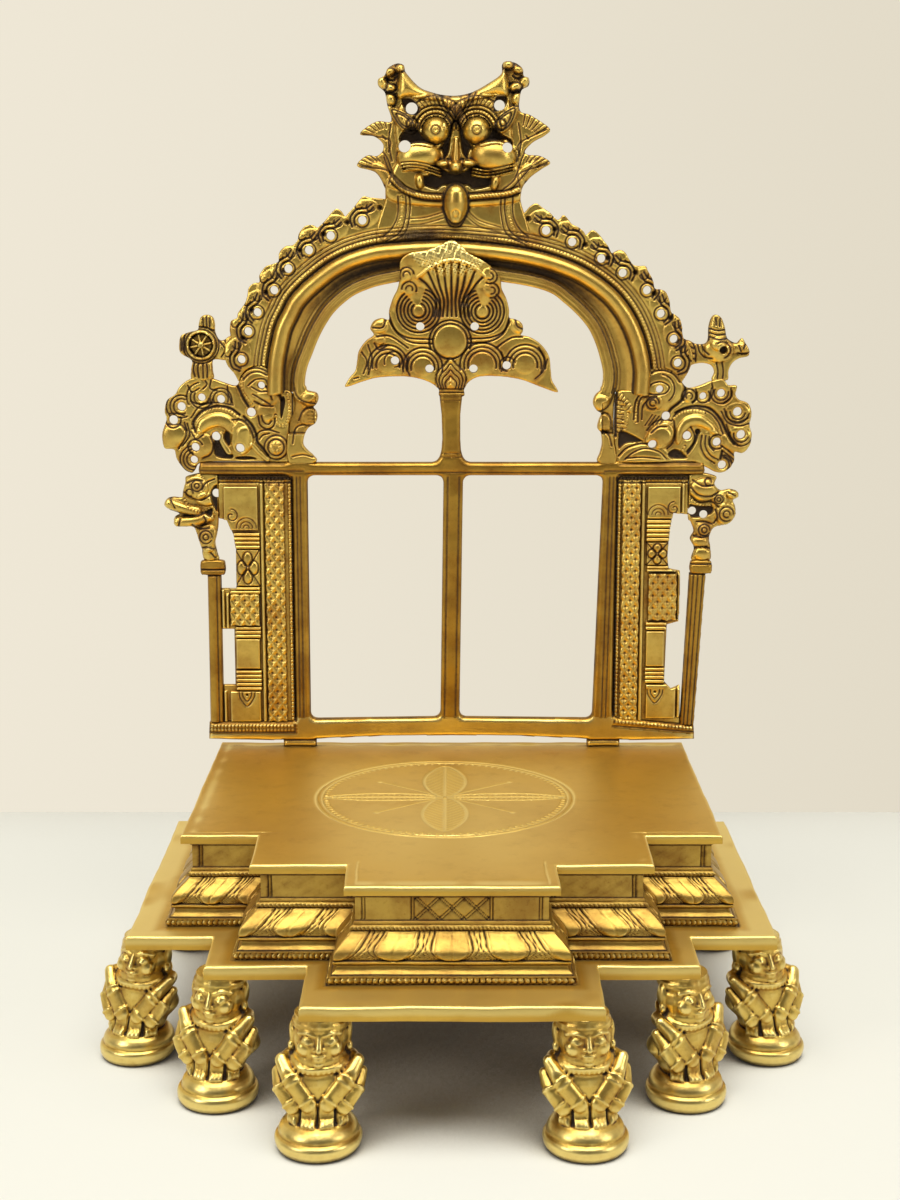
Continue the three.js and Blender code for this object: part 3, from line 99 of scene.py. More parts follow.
def make_patina_and_shade_group():
    """Old brass: bright metal that turns brown in mottled clouds, with dirt in the hollows and fine pits, and painted
    shade from ambient occlusion in creases and between pieces.
    """
    group, enter, leave = new_group("brass_patina_and_shade", [
        ("Color", "Metal", (0.8, 0.56, 0.2, 1)),
        ("Color", "Tarnish", (0.42, 0.22, 0.05, 1)),
        ("Color", "Dirt", (0.03, 0.016, 0.006, 1)),
        ("Float", "Hollow", 0.0),
        ("Float", "Tarnish Amount", 0.4),
        ("Float", "Cloud Scale", 60.0),
        ("Float", "Roughness", 0.3),
        ("Float", "Pits", 0.3),
    ], [("Color", "Colour"), ("Float", "Roughness"), ("Float", "Metallic"), ("Float", "Height")])
    place = node(group, "ShaderNodeTexCoord").outputs["Object"]
    scale = enter.outputs["Cloud Scale"]
    clouds = node(group, "ShaderNodeTexNoise", {"Vector": place, "Scale": scale, "Detail": 5.0, "Roughness": 0.6})
    fine_scale = maths(group, "MULTIPLY", scale, 9.0)
    specks = node(group, "ShaderNodeTexNoise", {"Vector": place, "Scale": fine_scale, "Detail": 4.0,
                                                "Roughness": 0.7})
    grain = node(group, "ShaderNodeTexNoise", {"Vector": place, "Scale": 2600.0, "Detail": 2.0})
    # Ambient occlusion darkens closely covered metal toward the dirt colour: partly the patina of the hollows, partly
    # painted shade in creases and between pieces.
    near = node(group, "ShaderNodeAmbientOcclusion", {"Distance": 0.005}, samples=6)
    shade = ramp(group, near.outputs["AO"], 0.75, 0.15)
    broken = maths(group, "MULTIPLY_ADD", specks.outputs["Fac"], 0.5)
    broken.node.inputs[2].default_value = 0.72
    hollow = maths(group, "MULTIPLY", maths(group, "MAXIMUM", enter.outputs["Hollow"],
                                            maths(group, "MULTIPLY", shade, 0.8)), broken, clamp=True)
    cloud = ramp(group, clouds.outputs["Fac"], 0.38, 0.68)
    speck = ramp(group, specks.outputs["Fac"], 0.5, 0.75)
    # A negative hollow value brightens the metal: real rubbed wear, and on the seat and the lower plate a painted
    # sheen.
    wear_and_sheen = ramp(group, maths(group, "MULTIPLY", enter.outputs["Hollow"], -1.0), 0.05, 0.6)
    brown = maths(group, "MULTIPLY", enter.outputs["Tarnish Amount"],
                  maths(group, "ADD", cloud, maths(group, "MULTIPLY", speck, 0.5)), clamp=True)
    brown = maths(group, "ADD", brown, maths(group, "MULTIPLY", hollow, 0.75), clamp=True)
    brown = maths(group, "MULTIPLY", brown, maths(group, "SUBTRACT", 1.0, maths(group, "MULTIPLY", wear_and_sheen, 0.85)))
    metal = blend_colours(group, maths(group, "MULTIPLY", wear_and_sheen, 0.6), enter.outputs["Metal"], (0.95, 0.79, 0.31, 1))
    colour = blend_colours(group, brown, metal, enter.outputs["Tarnish"])
    black = ramp(group, hollow, 0.22, 0.9)
    colour = blend_colours(group, black, colour, enter.outputs["Dirt"])
    rough = maths(group, "ADD", enter.outputs["Roughness"], maths(group, "MULTIPLY", brown, 0.12))
    rough = maths(group, "ADD", rough, maths(group, "MULTIPLY", black, 0.3), clamp=True)
    height = maths(group, "MULTIPLY", enter.outputs["Pits"],
                   maths(group, "ADD", specks.outputs["Fac"], maths(group, "MULTIPLY", grain.outputs["Fac"], 0.5)))
    link = group.links.new
    link(colour, leave.inputs["Colour"])
    link(rough, leave.inputs["Roughness"])
    link(maths(group, "SUBTRACT", 1.0, maths(group, "MULTIPLY", black, 0.55)), leave.inputs["Metallic"])
    link(height, leave.inputs["Height"])
    return group


patina_and_shade_group = make_patina_and_shade_group()


PIT_DEPTH = 0.00012


def make_brass(name, metal, tarnish, amount, roughness, pits, cloud_scale):
    """A brass finish. The hollow attribute of a worked piece says where the dirt sits, and below zero where the metal
    is rubbed bright or painted with a sheen.
    """
    material = bpy.data.materials.new(name)
    material.use_nodes = True
    tree = material.node_tree
    surface = tree.nodes["Principled BSDF"]
    hollow = node(tree, "ShaderNodeAttribute", attribute_name="hollow").outputs["Fac"]
    patina_and_shade = node(tree, "ShaderNodeGroup", {
        "Metal": metal + (1,), "Tarnish": tarnish + (1,), "Hollow": hollow, "Tarnish Amount": amount,
        "Cloud Scale": cloud_scale, "Roughness": roughness, "Pits": pits}, node_tree=patina_and_shade_group)
    relief = node(tree, "ShaderNodeBump", {"Height": patina_and_shade.outputs["Height"], "Distance": PIT_DEPTH, "Strength": 1.0})
    for source, target in (("Colour", "Base Color"), ("Roughness", "Roughness"), ("Metallic", "Metallic")):
        tree.links.new(patina_and_shade.outputs[source], surface.inputs[target])
    tree.links.new(relief.outputs["Normal"], surface.inputs["Normal"])
    return material


bright_metal = (0.68, 0.48, 0.115)
brown_metal = (0.36, 0.17, 0.03)
plate_brass = make_brass("plate_brass", (0.70, 0.45, 0.08), brown_metal, 0.35, 0.44, pits=0.12, cloud_scale=14.0)
bar_brass = make_brass("bar_brass", (0.46, 0.265, 0.043), (0.25, 0.12, 0.02), 0.7, 0.34, pits=0.4, cloud_scale=70.0)
arch_brass = make_brass("arch_brass", (0.66, 0.44, 0.10), brown_metal, 0.45, 0.34, pits=0.4, cloud_scale=60.0)
chased_brass = make_brass("chased_brass", bright_metal, brown_metal, 0.55, 0.31, pits=0.4, cloud_scale=80.0)
base_brass = make_brass("base_brass", (0.50, 0.33, 0.072), (0.26, 0.13, 0.03), 0.6, 0.4, pits=0.5, cloud_scale=70.0)
heated_brass = make_brass("heated_brass", (0.66, 0.45, 0.10), (0.36, 0.15, 0.025), 0.65, 0.32, pits=0.5,
    cloud_scale=95.0)


# The CAD nodes keep their shapes and take the finish of their kind.
node_finishes = dict.fromkeys(("lower_plate", "seat_plate"), plate_brass)
node_finishes.update(dict.fromkeys(("back_frame", "left_colonette", "right_colonette", "arch_moulding"), bar_brass))
for name, cad_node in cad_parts.items():
    cad_node.data.materials.clear()
    cad_node.data.materials.append(node_finishes.get(name, chased_brass))


# The eight legs: one cast pattern, a squatting dwarf with four hands on a bell-shaped foot, its head against the
# plate. The figure is joined from rounded forms, and its face is a plain calm one. Each casting leans its own way.

figure = bmesh.new()
stamped = bpy.data.meshes.new("stamped")


def limit(values):
    """The values, kept between 0 and 1."""
    return np.clip(values, 0, 1)


def stamp(form, **settings):
    """Adds one closed form to the figure."""
    one = bmesh.new()
    form(one, **settings)
    one.to_mesh(stamped)
    one.free()
    figure.from_mesh(stamped)


def tube(points, radii):
    """A tapered rod through the points, with a ball at each."""
    points = [Vector(p) for p in points]
    for start, end, low, high in zip(points[:-1], points[1:], radii[:-1], radii[1:]):
        turn = (end - start).to_track_quat("Z", "Y").to_matrix().to_4x4()
        stamp(bmesh.ops.create_cone, cap_ends=True, segments=16, radius1=low, radius2=high, depth=(end - start).length,
              matrix=Matrix.Translation((start + end) / 2) @ turn)
    for point, radius in zip(points, radii):
        stamp(bmesh.ops.create_uvsphere, u_segments=16, v_segments=10, radius=radius, matrix=Matrix.Translation(point))


def egg(centre, size):
    place = Matrix.Translation(centre) @ Matrix.Diagonal((*size, 1))
    stamp(bmesh.ops.create_uvsphere, u_segments=24, v_segments=14, radius=1, matrix=place)


def band(centre, wide, deep, thick, droop):
    """A rod bent round the figure, lower in front by the droop."""
    turns = [math.radians(15 * k) for k in range(25)]
    tube([(centre[0] + wide * math.sin(a), centre[1] - deep * math.cos(a), centre[2] - droop * math.cos(a))
        for a in turns], [thick] * 25)


bell = [(0, 0), (12.6, 0), (13.6, 0.6), (14.6, 2.2), (15.0, 4.2), (14.7, 5.4), (14.1, 5.9), (13.5, 6.2), (13.7, 7.0),
    (13.3, 8.3), (12.4, 9.6), (11.2, 10.7), (10.2, 11.2), (0, 11.4)]
rim = [figure.verts.new((r, 0, z)) for r, z in bell]
sides = [figure.edges.new(pair) for pair in zip(rim[:-1], rim[1:])]
bmesh.ops.spin(figure, geom=rim + sides, cent=(0, 0, 0), axis=(0, 0, 1), angle=2 * math.pi, steps=64, use_merge=True)
bmesh.ops.remove_doubles(figure, verts=figure.verts[:], dist=0.001)
bmesh.ops.recalc_face_normals(figure, faces=figure.faces[:])

egg((0, 0.6, 15.5), (10.4, 9.0, 7.5))
egg((0, -0.2, 24), (11.6, 8.5, 9.6))
egg((0, -0.4, 32.6), (9.6, 8.8, 4.6))
egg((0, -0.2, 38.8), (9.9, 8.8, 8.2))
tube([(0, -0.2, 37), (0, 0.2, 45)], [9.4, 9.2])
stamp(bmesh.ops.create_cone, cap_ends=True, segments=40, radius1=8.6, radius2=9.2, depth=2.6,
      matrix=Matrix.Translation((0, 0.4, 45.4)))
for droop, thick, out in ((2.0, 1.0, 0), (2.8, 0.75, 0.5)):
    band((0, 0, 33.6 - droop * 0.6), 9.8 - out, 9.0 - out, thick, droop + 0.6)
for k in range(15):
    a = math.radians(-70 + 10 * k)
    egg((10.2 * math.sin(a), -9.5 * math.cos(a), 31.6 - 2.8 * math.cos(a)), (0.7, 0.7, 0.7))
for level, wide in ((44.4, 9.3), (43.1, 9.4)):
    band((0, 0.3, level), wide, wide - 0.4, 0.55, 0)
for side in (-1, 1):
    inner = [(side * 13.2, -3.0, 31.4), (side * 8.6, -7.4, 25.2), (side * 3.2, -9.0, 18.0)]
    outer = [(side * 14.2, -1.4, 26.8), (side * 12.4, -5.2, 22.2), (side * 8.9, -7.4, 17.0)]
    tube(inner, [2.2, 3.1, 2.9])
    tube(outer, [2.0, 3.0, 2.8])
    tube([inner[0], (side * 10.4, 1.6, 30.6), (side * 6.0, 2.4, 29.0)], [1.9, 3.0, 3.4])
    tube([outer[0], (side * 11.4, 2.2, 21.6), (side * 6.5, 3.0, 17.5)], [1.7, 3.6, 4.2])
    for line, shares in ((inner, (0.42, 0.5, 0.92)), (outer, (0.45, 0.9))):
        for share in shares:
            first, second = (line[0], line[1]) if share < 0.5 else (line[1], line[2])
            t = share * 2 if share < 0.5 else share * 2 - 1
            place = Vector(first).lerp(Vector(second), t)
            turn = (Vector(second) - Vector(first)).to_track_quat("Z", "Y").to_matrix().to_4x4()
            stamp(bmesh.ops.create_cone, cap_ends=True, segments=24, radius1=3.4, radius2=3.4, depth=0.8,
                  matrix=Matrix.Translation(place) @ turn)
    for angle in (17, 52):
        a = math.radians(side * angle)
        place = Matrix.Translation((9.0 * math.sin(a), -9.0 * math.cos(a) + 0.6, 14.5)) @ Matrix.Rotation(a, 4, "Z")
        tilt = Matrix.Rotation(math.radians(-9), 4, "X") @ Matrix.Diagonal((5.0, 4.6, 7.4, 1))
        stamp(bmesh.ops.create_cube, size=1, matrix=place @ tilt)
        for toe in (-1.55, 0, 1.55):
            egg((9.0 * math.sin(a) + (toe * math.cos(a) + 2.4 * math.sin(a)),
                0.6 - 9.0 * math.cos(a) + toe * math.sin(a) - 2.4 * math.cos(a), 12.4), (0.85, 0.85, 1.5))
    egg((side * 9.7, 0.4, 39.6), (1.3, 2.3, 4.2))
    egg((side * 10.2, -0.6, 35.4), (1.2, 1.4, 1.7))
    egg((side * 4.6, -6.6, 37.0), (3.4, 2.6, 3.0))
    tube([(side * 1.5, -8.9, 41.7), (side * 4.2, -8.4, 42.6), (side * 7.4, -6.0, 41.6)], [0.5, 0.65, 0.5])
    egg((side * 3.9, -7.9, 40.0), (2.2, 1.4, 1.3))
    tube([(side * 1.9, -8.9, 39.6), (side * 3.9, -9.5, 39.1), (side * 6.1, -8.0, 39.5)], [0.3, 0.36, 0.3])
    egg((side * 1.35, -9.2, 36.9), (0.85, 0.9, 0.8))
tube([(0, -8.8, 41.4), (0, -10.2, 37.3)], [0.8, 1.2])
egg((0, -8.8, 34.9), (2.8, 1.3, 0.65))
egg((0, -8.7, 33.7), (2.2, 1.35, 0.75))
egg((0, -7.9, 32.2), (2.6, 1.9, 1.3))



def put_in_scene(name, data):
    made = bpy.data.objects.new(name, data)
    bpy.context.scene.collection.objects.link(made)
    return made


def finish_piece(mesh, name, body, material, replaced, places, stain, sharp=None):
    """Sets a mesh's vertices in millimetres and its dirt, wear and painted sheen, and makes it a finished piece."""
    mesh.vertices.foreach_set("co", (places * MM).astype(np.float32).ravel())
    mesh.attributes.new("hollow", "FLOAT", "POINT").data.foreach_set("value", stain.astype(np.float32))
    mesh.polygons.foreach_set("use_smooth", np.ones(len(mesh.polygons), bool))
    if sharp:
        mesh.set_sharp_from_angle(angle=math.radians(sharp))
    mesh.materials.append(material)
    piece = put_in_scene(name, mesh)
    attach(piece, body)
    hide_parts(replaced)


mesh = bpy.data.meshes.new("figure")
figure.to_mesh(mesh)
figure.free()
joined = put_in_scene("figure", mesh)
union = joined.modifiers.new("union", "REMESH")
union.mode = "VOXEL"
union.voxel_size = 0.4
soften = joined.modifiers.new("soften", "SMOOTH")
soften.factor = 0.5
soften.iterations = 2
thin = joined.modifiers.new("thin", "DECIMATE")
thin.ratio = 0.62
pattern = bpy.data.meshes.new_from_object(joined.evaluated_get(bpy.context.evaluated_depsgraph_get()))
bpy.data.objects.remove(joined)
count = len(pattern.vertices)
shape = np.zeros(count * 3, np.float32)
pattern.vertices.foreach_get("co", shape)
shape = shape.reshape(-1, 3).astype(float)
chiselled = limit((31.5 - shape[:, 2]) / 3) * limit((shape[:, 2] - 11.5) / 2)
shape[:, 1] -= 0.42 * chiselled * np.minimum(shape[:, 1] + 7.2, 0)
pairs = np.zeros(len(pattern.edges) * 2, np.int32)
pattern.edges.foreach_get("vertices", pairs)
pairs = pairs.reshape(-1, 2)
normals = np.zeros(count * 3, np.float32)
pattern.vertex_normals.foreach_get("vector", normals)
normals = normals.reshape(-1, 3)
neighbours = np.bincount(pairs.ravel(), minlength=count)[:, None]
averaged = shape.copy()
for _ in range(10):
    totals = np.zeros((count, 3))
    for a, b in ((0, 1), (1, 0)):
        for axis in range(3):
            totals[:, axis] += np.bincount(pairs[:, a], weights=averaged[pairs[:, b], axis], minlength=count)
    averaged = totals / np.maximum(neighbours, 1)
sunk = np.sum((averaged - shape) * normals, axis=1)
for _ in range(2):
    totals = np.bincount(pairs[:, 0], weights=sunk[pairs[:, 1]], minlength=count)
    totals += np.bincount(pairs[:, 1], weights=sunk[pairs[:, 0]], minlength=count)
    sunk = 0.5 * sunk + 0.5 * totals / np.maximum(neighbours[:, 0], 1)
leg_stain = np.clip(4.2 * sunk - 0.12, 0, 0.95) - np.clip(-3.0 * sunk - 0.05, 0, 0.8)

# name, foot across and back, lean across and back over the height, turn of the figure, width
LEG_HEIGHT = 46.7
leg_places = (
    ("front_inner_left", -45.3, -95.2, 1.3, 4.7, 0, 0.98), ("front_inner_right", 45.3, -95.2, -1.3, 4.7, 8, 0.97),
    ("front_middle_left", -83.5, -59, 1.5, 4, -18, 0.97), ("front_middle_right", 83.5, -59, -1.5, 4, 32, 0.98),
    ("front_outer_left", -118.2, -21, 4.8, 2, -24, 0.97), ("front_outer_right", 118.2, -21, -4.8, 2, 22, 0.96),
    ("rear_left", -112, 94, 4, -2, 180, 0.97), ("rear_right", 112, 94, -4, -2, 180, 0.97),
)
for number, (name, across, back, lean_x, lean_y, turn, width) in enumerate(leg_places):
    mesh = pattern.copy()
    mesh.name = f"{name}_dwarf_leg"
    c, s = math.cos(math.radians(turn)), math.sin(math.radians(turn))
    swell = width * (1 + 0.02 * np.sin(0.3 * shape[:, 2] + number))
    x, y, z = shape[:, 0] * swell, shape[:, 1] * swell, shape[:, 2]
    z = np.clip(z + 0.25 * np.sin(0.4 * x + 2 * number) * limit(1 - np.abs(z - 25) / 20), 0, LEG_HEIGHT)
    share = z / LEG_HEIGHT
    places = np.stack([across + x * c - y * s + lean_x * share, back + x * s + y * c + lean_y * share, z], 1)
    finish_piece(mesh, mesh.name, "pedestal", chased_brass, f"leg_{name}", places, leg_stain)
bpy.data.meshes.remove(pattern)
bpy.data.meshes.remove(stamped)


# The lower plate: a casting in three steps, filed flat on top, with edges that the hand left slightly uneven. The
# pedestal is given in millimetres, X across, Y to the back and Z up from the table. A plan holds the half widths of
# its three steps, how far each comes forward and where its back is.

NECK_PLAN = ((33.3, 67.8, 96.3), (71.3, 48.8, 15.8), 99.0)
LOWER_PLAN = ((51.0, 87.0, 118.5), (99.2, 63.5, 35.5), 103.0)
LOWER_TOP = 51.7


def fade(distance, power=2):
    """1 at no distance, fading to 0 on both sides."""
    return np.exp(-distance ** power)


def curve(points, closed=False, spacing=0.6):
    """Points on an even curve through the given ones, which are x and y in turn or pairs of them."""
    given = np.array(points, float).reshape(-1, 2)
    count = len(given)
    out = []
    for i in range(count if closed else count - 1):
        if closed:
            before, start, end, after = (given[(i + k) % count] for k in (-1, 0, 1, 2))
        else:
            start, end = given[i], given[i + 1]
            before = given[i - 1] if i else 2 * start - end
            after = given[i + 2] if i + 2 < count else 2 * end - start
        steps = max(1, int(np.ceil(np.linalg.norm(end - start) / spacing)))
        for t in np.arange(steps)[:, None] / steps:
            out.append(0.5 * (2 * start + (end - before) * t + (2 * before - 5 * start + 4 * end - after) * t ** 2
                              + (3 * start - before - 3 * end + after) * t ** 3))
    if not closed:
        out.append(given[-1])
    return np.array([np.ravel(p) for p in out])


def loop(points):
    """An even closed curve through the given points."""
    return curve(points, closed=True)


def straight(points, closed=False, spacing=0.8):
    """The same with straight runs between the points."""
    given = np.array(points, float).reshape(-1, 2)
    ends = np.vstack([given[1:], given[:1]]) if closed else given[1:]
    out = []
    for start, end in zip(given, ends):
        steps = max(1, int(np.ceil(np.linalg.norm(end - start) / spacing)))
        out += [start + (end - start) * k / steps for k in range(steps)]
    if not closed:
        out.append(given[-1])
    return np.array(out)


def numbered_grid(rows, columns, places=None, keep=None):
    """A bmesh grid whose vertices carry their number, moved to their places, with only the cells to keep."""
    bm = bmesh.new()
    bmesh.ops.create_grid(bm, x_segments=columns, y_segments=rows, size=1)
    cell = bm.verts.layers.int.new("cell")
    for i, vert in enumerate(bm.verts):
        vert[cell] = i
        if places is not None:
            vert.co = places[i]
    if keep is not None:
        flat = keep.ravel()
        bmesh.ops.delete(bm, geom=[face for i, face in enumerate(bm.faces) if not flat[i]], context="FACES")
    return bm, cell


def make_piece(bm, name, body, material, replaced, places, stain, sharp=50):
    """Turns a bmesh whose vertices carry the number of their place into a finished piece."""
    mesh = bpy.data.meshes.new(name)
    bm.to_mesh(mesh)
    bm.free()
    cells = np.zeros(len(mesh.vertices), np.int32)
    mesh.attributes["cell"].data.foreach_get("value", cells)
    mesh.attributes.remove(mesh.attributes["cell"])
    at = places[cells]
    at[:, 1] = np.minimum(at[:, 1], cad_box[1][1] / MM)
    finish_piece(mesh, name, body, material, replaced, at, stain[cells], sharp)


def stepped_corners(plan, out, back_out):
    """The plan's twelve corners, anticlockwise from the back left, every side moved out."""
    widths, fronts, back = plan
    w0, w1, w2 = (w + out for w in widths)
    f0, f1, f2 = (-f - out for f in fronts)
    right = [(w0, f0), (w0, f1), (w1, f1), (w1, f2), (w2, f2)]
    left = [(-x, y) for x, y in right[::-1]]
    return [(-w2, back + back_out)] + left + right + [(w2, back + back_out)]


def waves(x, y, seed, size=0.12):
    """Uneven hand work, between -1 and 1."""
    return (np.sin(x * size + seed) * np.cos(y * size * 1.3 - 2 * seed) + 0.6
        * np.sin(2.7 * size * x - 1.9 * size * y + 3 * seed) + 0.4 * np.sin(6.1 * size * x + seed * 5)
        * np.cos(5.3 * size * y)) / 2


def inside_plan(plan, out, back_out, x, y):
    """Signed distance to the plan's sides, more than zero inside."""
    widths, fronts, back = plan
    parts = [np.minimum(w + out - np.abs(x), y + f + out) for w, f in zip(widths, fronts)]
    return np.minimum(np.maximum(np.maximum(parts[0], parts[1]), parts[2]), back + back_out - y)


def near_edges(places):
    """The places with a few lines close on both sides of each."""
    out = set()
    for place in places:
        out.update([place] + [place + s * d for s in (-1, 1) for d in (0.3, 0.8, 1.6)])
    return out


def flat_plate(name, plan, out, back_out, bottom, top, lines_x, lines_y, holes, engrave, unevenness, replaced,
        round_by=0.9):
    """A plate on an uneven grid: fine where it is engraved, with lines along its edges and its slots."""
    widths, fronts, back = plan
    edges_x = [s * (w + out) for w in widths for s in (-1, 1)]
    edges_y = [-(f + out) for f in fronts] + [back + back_out]
    xs = sorted(set(lines_x) | near_edges(edges_x) | {x for hole in holes for x in hole[:2]})
    ys = sorted(set(lines_y) | near_edges(edges_y) | {y for hole in holes for y in hole[2:]})
    keep_apart = set(edges_x) | set(edges_y) | {v for hole in holes for v in hole}
    xs = np.array([x for i, x in enumerate(xs) if x in keep_apart or i == 0 or x - xs[i - 1] > 0.12])
    ys = np.array([y for i, y in enumerate(ys) if y in keep_apart or i == 0 or y - ys[i - 1] > 0.12])
    x, y = np.meshgrid(xs, ys)
    depth = inside_plan(plan, out, back_out, x, y)
    relief, stain = engrave(x, y, depth)
    near = limit(1 - depth / round_by)
    z = top + relief - round_by * (1 - np.sqrt(limit(1 - near ** 2))) + 0.12 * waves(x, y, 0.4, 0.05)
    stain = stain - 0.5 * limit(1 - np.abs(depth - 0.4) / 0.8)
    wobble = unevenness * limit(1 - depth / 6)
    middle_x = 0.5 * (x[:-1, :-1] + x[1:, 1:])
    middle_y = 0.5 * (y[:-1, :-1] + y[1:, 1:])
    keep = inside_plan(plan, out, back_out, middle_x, middle_y) > 0
    for left, right, low, high in holes:
        keep &= ~((middle_x > left) & (middle_x < right) & (middle_y > low) & (middle_y < high))
    top_places = np.stack([x + wobble * waves(x, y, 1.1, 0.07), y + wobble * waves(y, x, 2.3, 0.07),
        z + 0.8 * wobble * waves(x, y, 3.7, 0.06)], 2)
    low_places = np.stack([top_places[:, :, 0], top_places[:, :, 1], np.full(x.shape, bottom)], 2)
    count = x.size
    places = np.vstack([top_places.reshape(-1, 3), low_places.reshape(-1, 3)])
    stains = np.concatenate([stain.ravel(), np.full(count, 0.25)])
    bm, cell = numbered_grid(len(ys) - 1, len(xs) - 1, places, keep)
    rim = [edge for edge in bm.edges if len(edge.link_faces) == 1]
    grown = bmesh.ops.extrude_edge_only(bm, edges=rim)
    new_verts = [item for item in grown["geom"] if isinstance(item, bmesh.types.BMVert)]
    new_edges = [item for item in grown["geom"] if isinstance(item, bmesh.types.BMEdge) and len(item.link_faces) == 1]
    for vert in new_verts:
        vert[cell] += count
        vert.co.z = bottom
    bmesh.ops.triangle_fill(bm, edges=new_edges, use_beauty=True)
    bmesh.ops.recalc_face_normals(bm, faces=bm.faces[:])
    make_piece(bm, name, "pedestal", plate_brass, replaced, places, stains)


def engrave_lower(x, y, depth):
    stain = 0.5 * limit(waves(x, y, 5.1, 0.06) - 0.1) * limit(1 - depth / 16)
    under = inside_plan(NECK_PLAN, 9.2, 3, x, y)
    dirt = np.maximum(stain, 0.9 * fade((under + 0.4) / 0.8))
    # Out beyond the lotus base the top is painted lighter, a painted pool of light on the plate's open top.
    return 0 * x, dirt - 0.6 * limit((-under - 1.5) / 4) * (1 - dirt)


coarse_x = np.arange(-118, 118.5, 1.6)
coarse_y = np.arange(-98, 103, 1.6)
flat_plate("stepped_plate", LOWER_PLAN, 0, 0, LEG_HEIGHT, LOWER_TOP, coarse_x, coarse_y, [], engrave_lower, 0.4,
           "lower_plate", 1.1)


# The lotus base: a beaded fillet, a plain hollow and a lip, then a swelling band of broad petals with ribbed gaps,
# and a twisted cord at the top. The petals fold round the corners.


WALL = 3.5


def wrapped_wall(name, profile, carve, step, replaced):
    """A hollow wall round the neck's plan. The profile is (height, outwards); carve adds relief and dirt outside."""
    levels = np.array(profile, float)
    rows = np.vstack([levels, [(levels[-1, 0], -WALL), (levels[0, 0], -WALL), levels[0]]])
    outer_rows = len(levels)
    base = np.array(stepped_corners(NECK_PLAN, 0, 0))
    grown = np.array(stepped_corners(NECK_PLAN, 1, 1)) - base
    sides = len(base)
    flat = np.array(stepped_corners(NECK_PLAN, 4, 4))
    ends = np.roll(flat, -1, axis=0)
    lengths = np.hypot(*(ends - flat).T)
    side_of, share_of = [], []
    for i, length in enumerate(lengths):
        spacing = step * (5 if i == sides - 1 else 1.7 if i in (0, sides - 2) else 1)
        count = max(2, round(length / spacing))
        side_of += [i] * count
        share_of += list(np.arange(count) / count)
    side_of = np.array(side_of + [0])
    share_of = np.array(share_of + [0.0])
    run = share_of * lengths[side_of]
    heights = rows[:, 0][:, None] + 0 * run[None, :]
    out = rows[:, 1][:, None] + 0 * run[None, :]
    relief, dirt = carve(side_of[None, :] + 0 * heights.astype(int), run[None, :] + 0 * heights,
                         lengths[side_of][None, :] + 0 * heights, heights)
    on_face = (np.arange(len(rows)) < outer_rows)[:, None]
    out = out + np.where(on_face, relief, 0)
    blurred = out.copy()
    for _ in range(5):
        blurred[1:outer_rows - 1] = (blurred[:outer_rows - 2] + blurred[1:outer_rows - 1] + blurred[2:outer_rows]) / 3
        blurred = (np.roll(blurred, 1, 1) + blurred + np.roll(blurred, -1, 1)) / 3
    sunk = np.where(on_face, blurred - out, 0)
    stain = limit(np.maximum(2.0 * sunk, dirt)) - np.clip(-1.4 * sunk - dirt, 0, 0.45)
    stain = np.where(on_face, stain, 0.6)
    places = np.zeros(heights.shape + (3,))
    start, end = base[side_of], base[(side_of + 1) % sides]
    start_grown, end_grown = grown[side_of], grown[(side_of + 1) % sides]
    t = share_of[None, :, None]
    places[:, :, :2] = (start + (0 * out)[:, :, None] + start_grown * out[:, :, None]) * (1 - t) + (end + end_grown
        * out[:, :, None]) * t
    places[:, :, 2] = heights
    flat_places = places.reshape(-1, 3)
    bm = numbered_grid(places.shape[0] - 1, places.shape[1] - 1, flat_places)[0]
    bmesh.ops.remove_doubles(bm, verts=bm.verts[:], dist=0.002)
    bmesh.ops.recalc_face_normals(bm, faces=bm.faces[:])
    make_piece(bm, name, "pedestal", base_brass, replaced, flat_places, stain.ravel())


LOTUS_TOP = 70.3
BEAD_LEVEL, CORD_LEVEL = 53.2, 69.2
petal_low, petal_high = 59.4, 68.2
lotus_profile = straight([LOWER_TOP, 8.6, 52.0, 9.2, 54.5, 9.2, 54.8, 8.0], spacing=0.4)
lotus_profile = np.vstack([lotus_profile, curve([55.0, 8.0, 56.2, 6.6, 57.8, 6.2, 58.4, 7.2, 59.2, 7.5, 59.6, 6.6,
    60.4, 6.9, 62.6, 6.4, 65.2, 4.0, 67.2, 1.6, 68.2, 0.9, 68.5, 1.3, 69.4, 1.6, LOTUS_TOP, 0.9], spacing=0.4)])


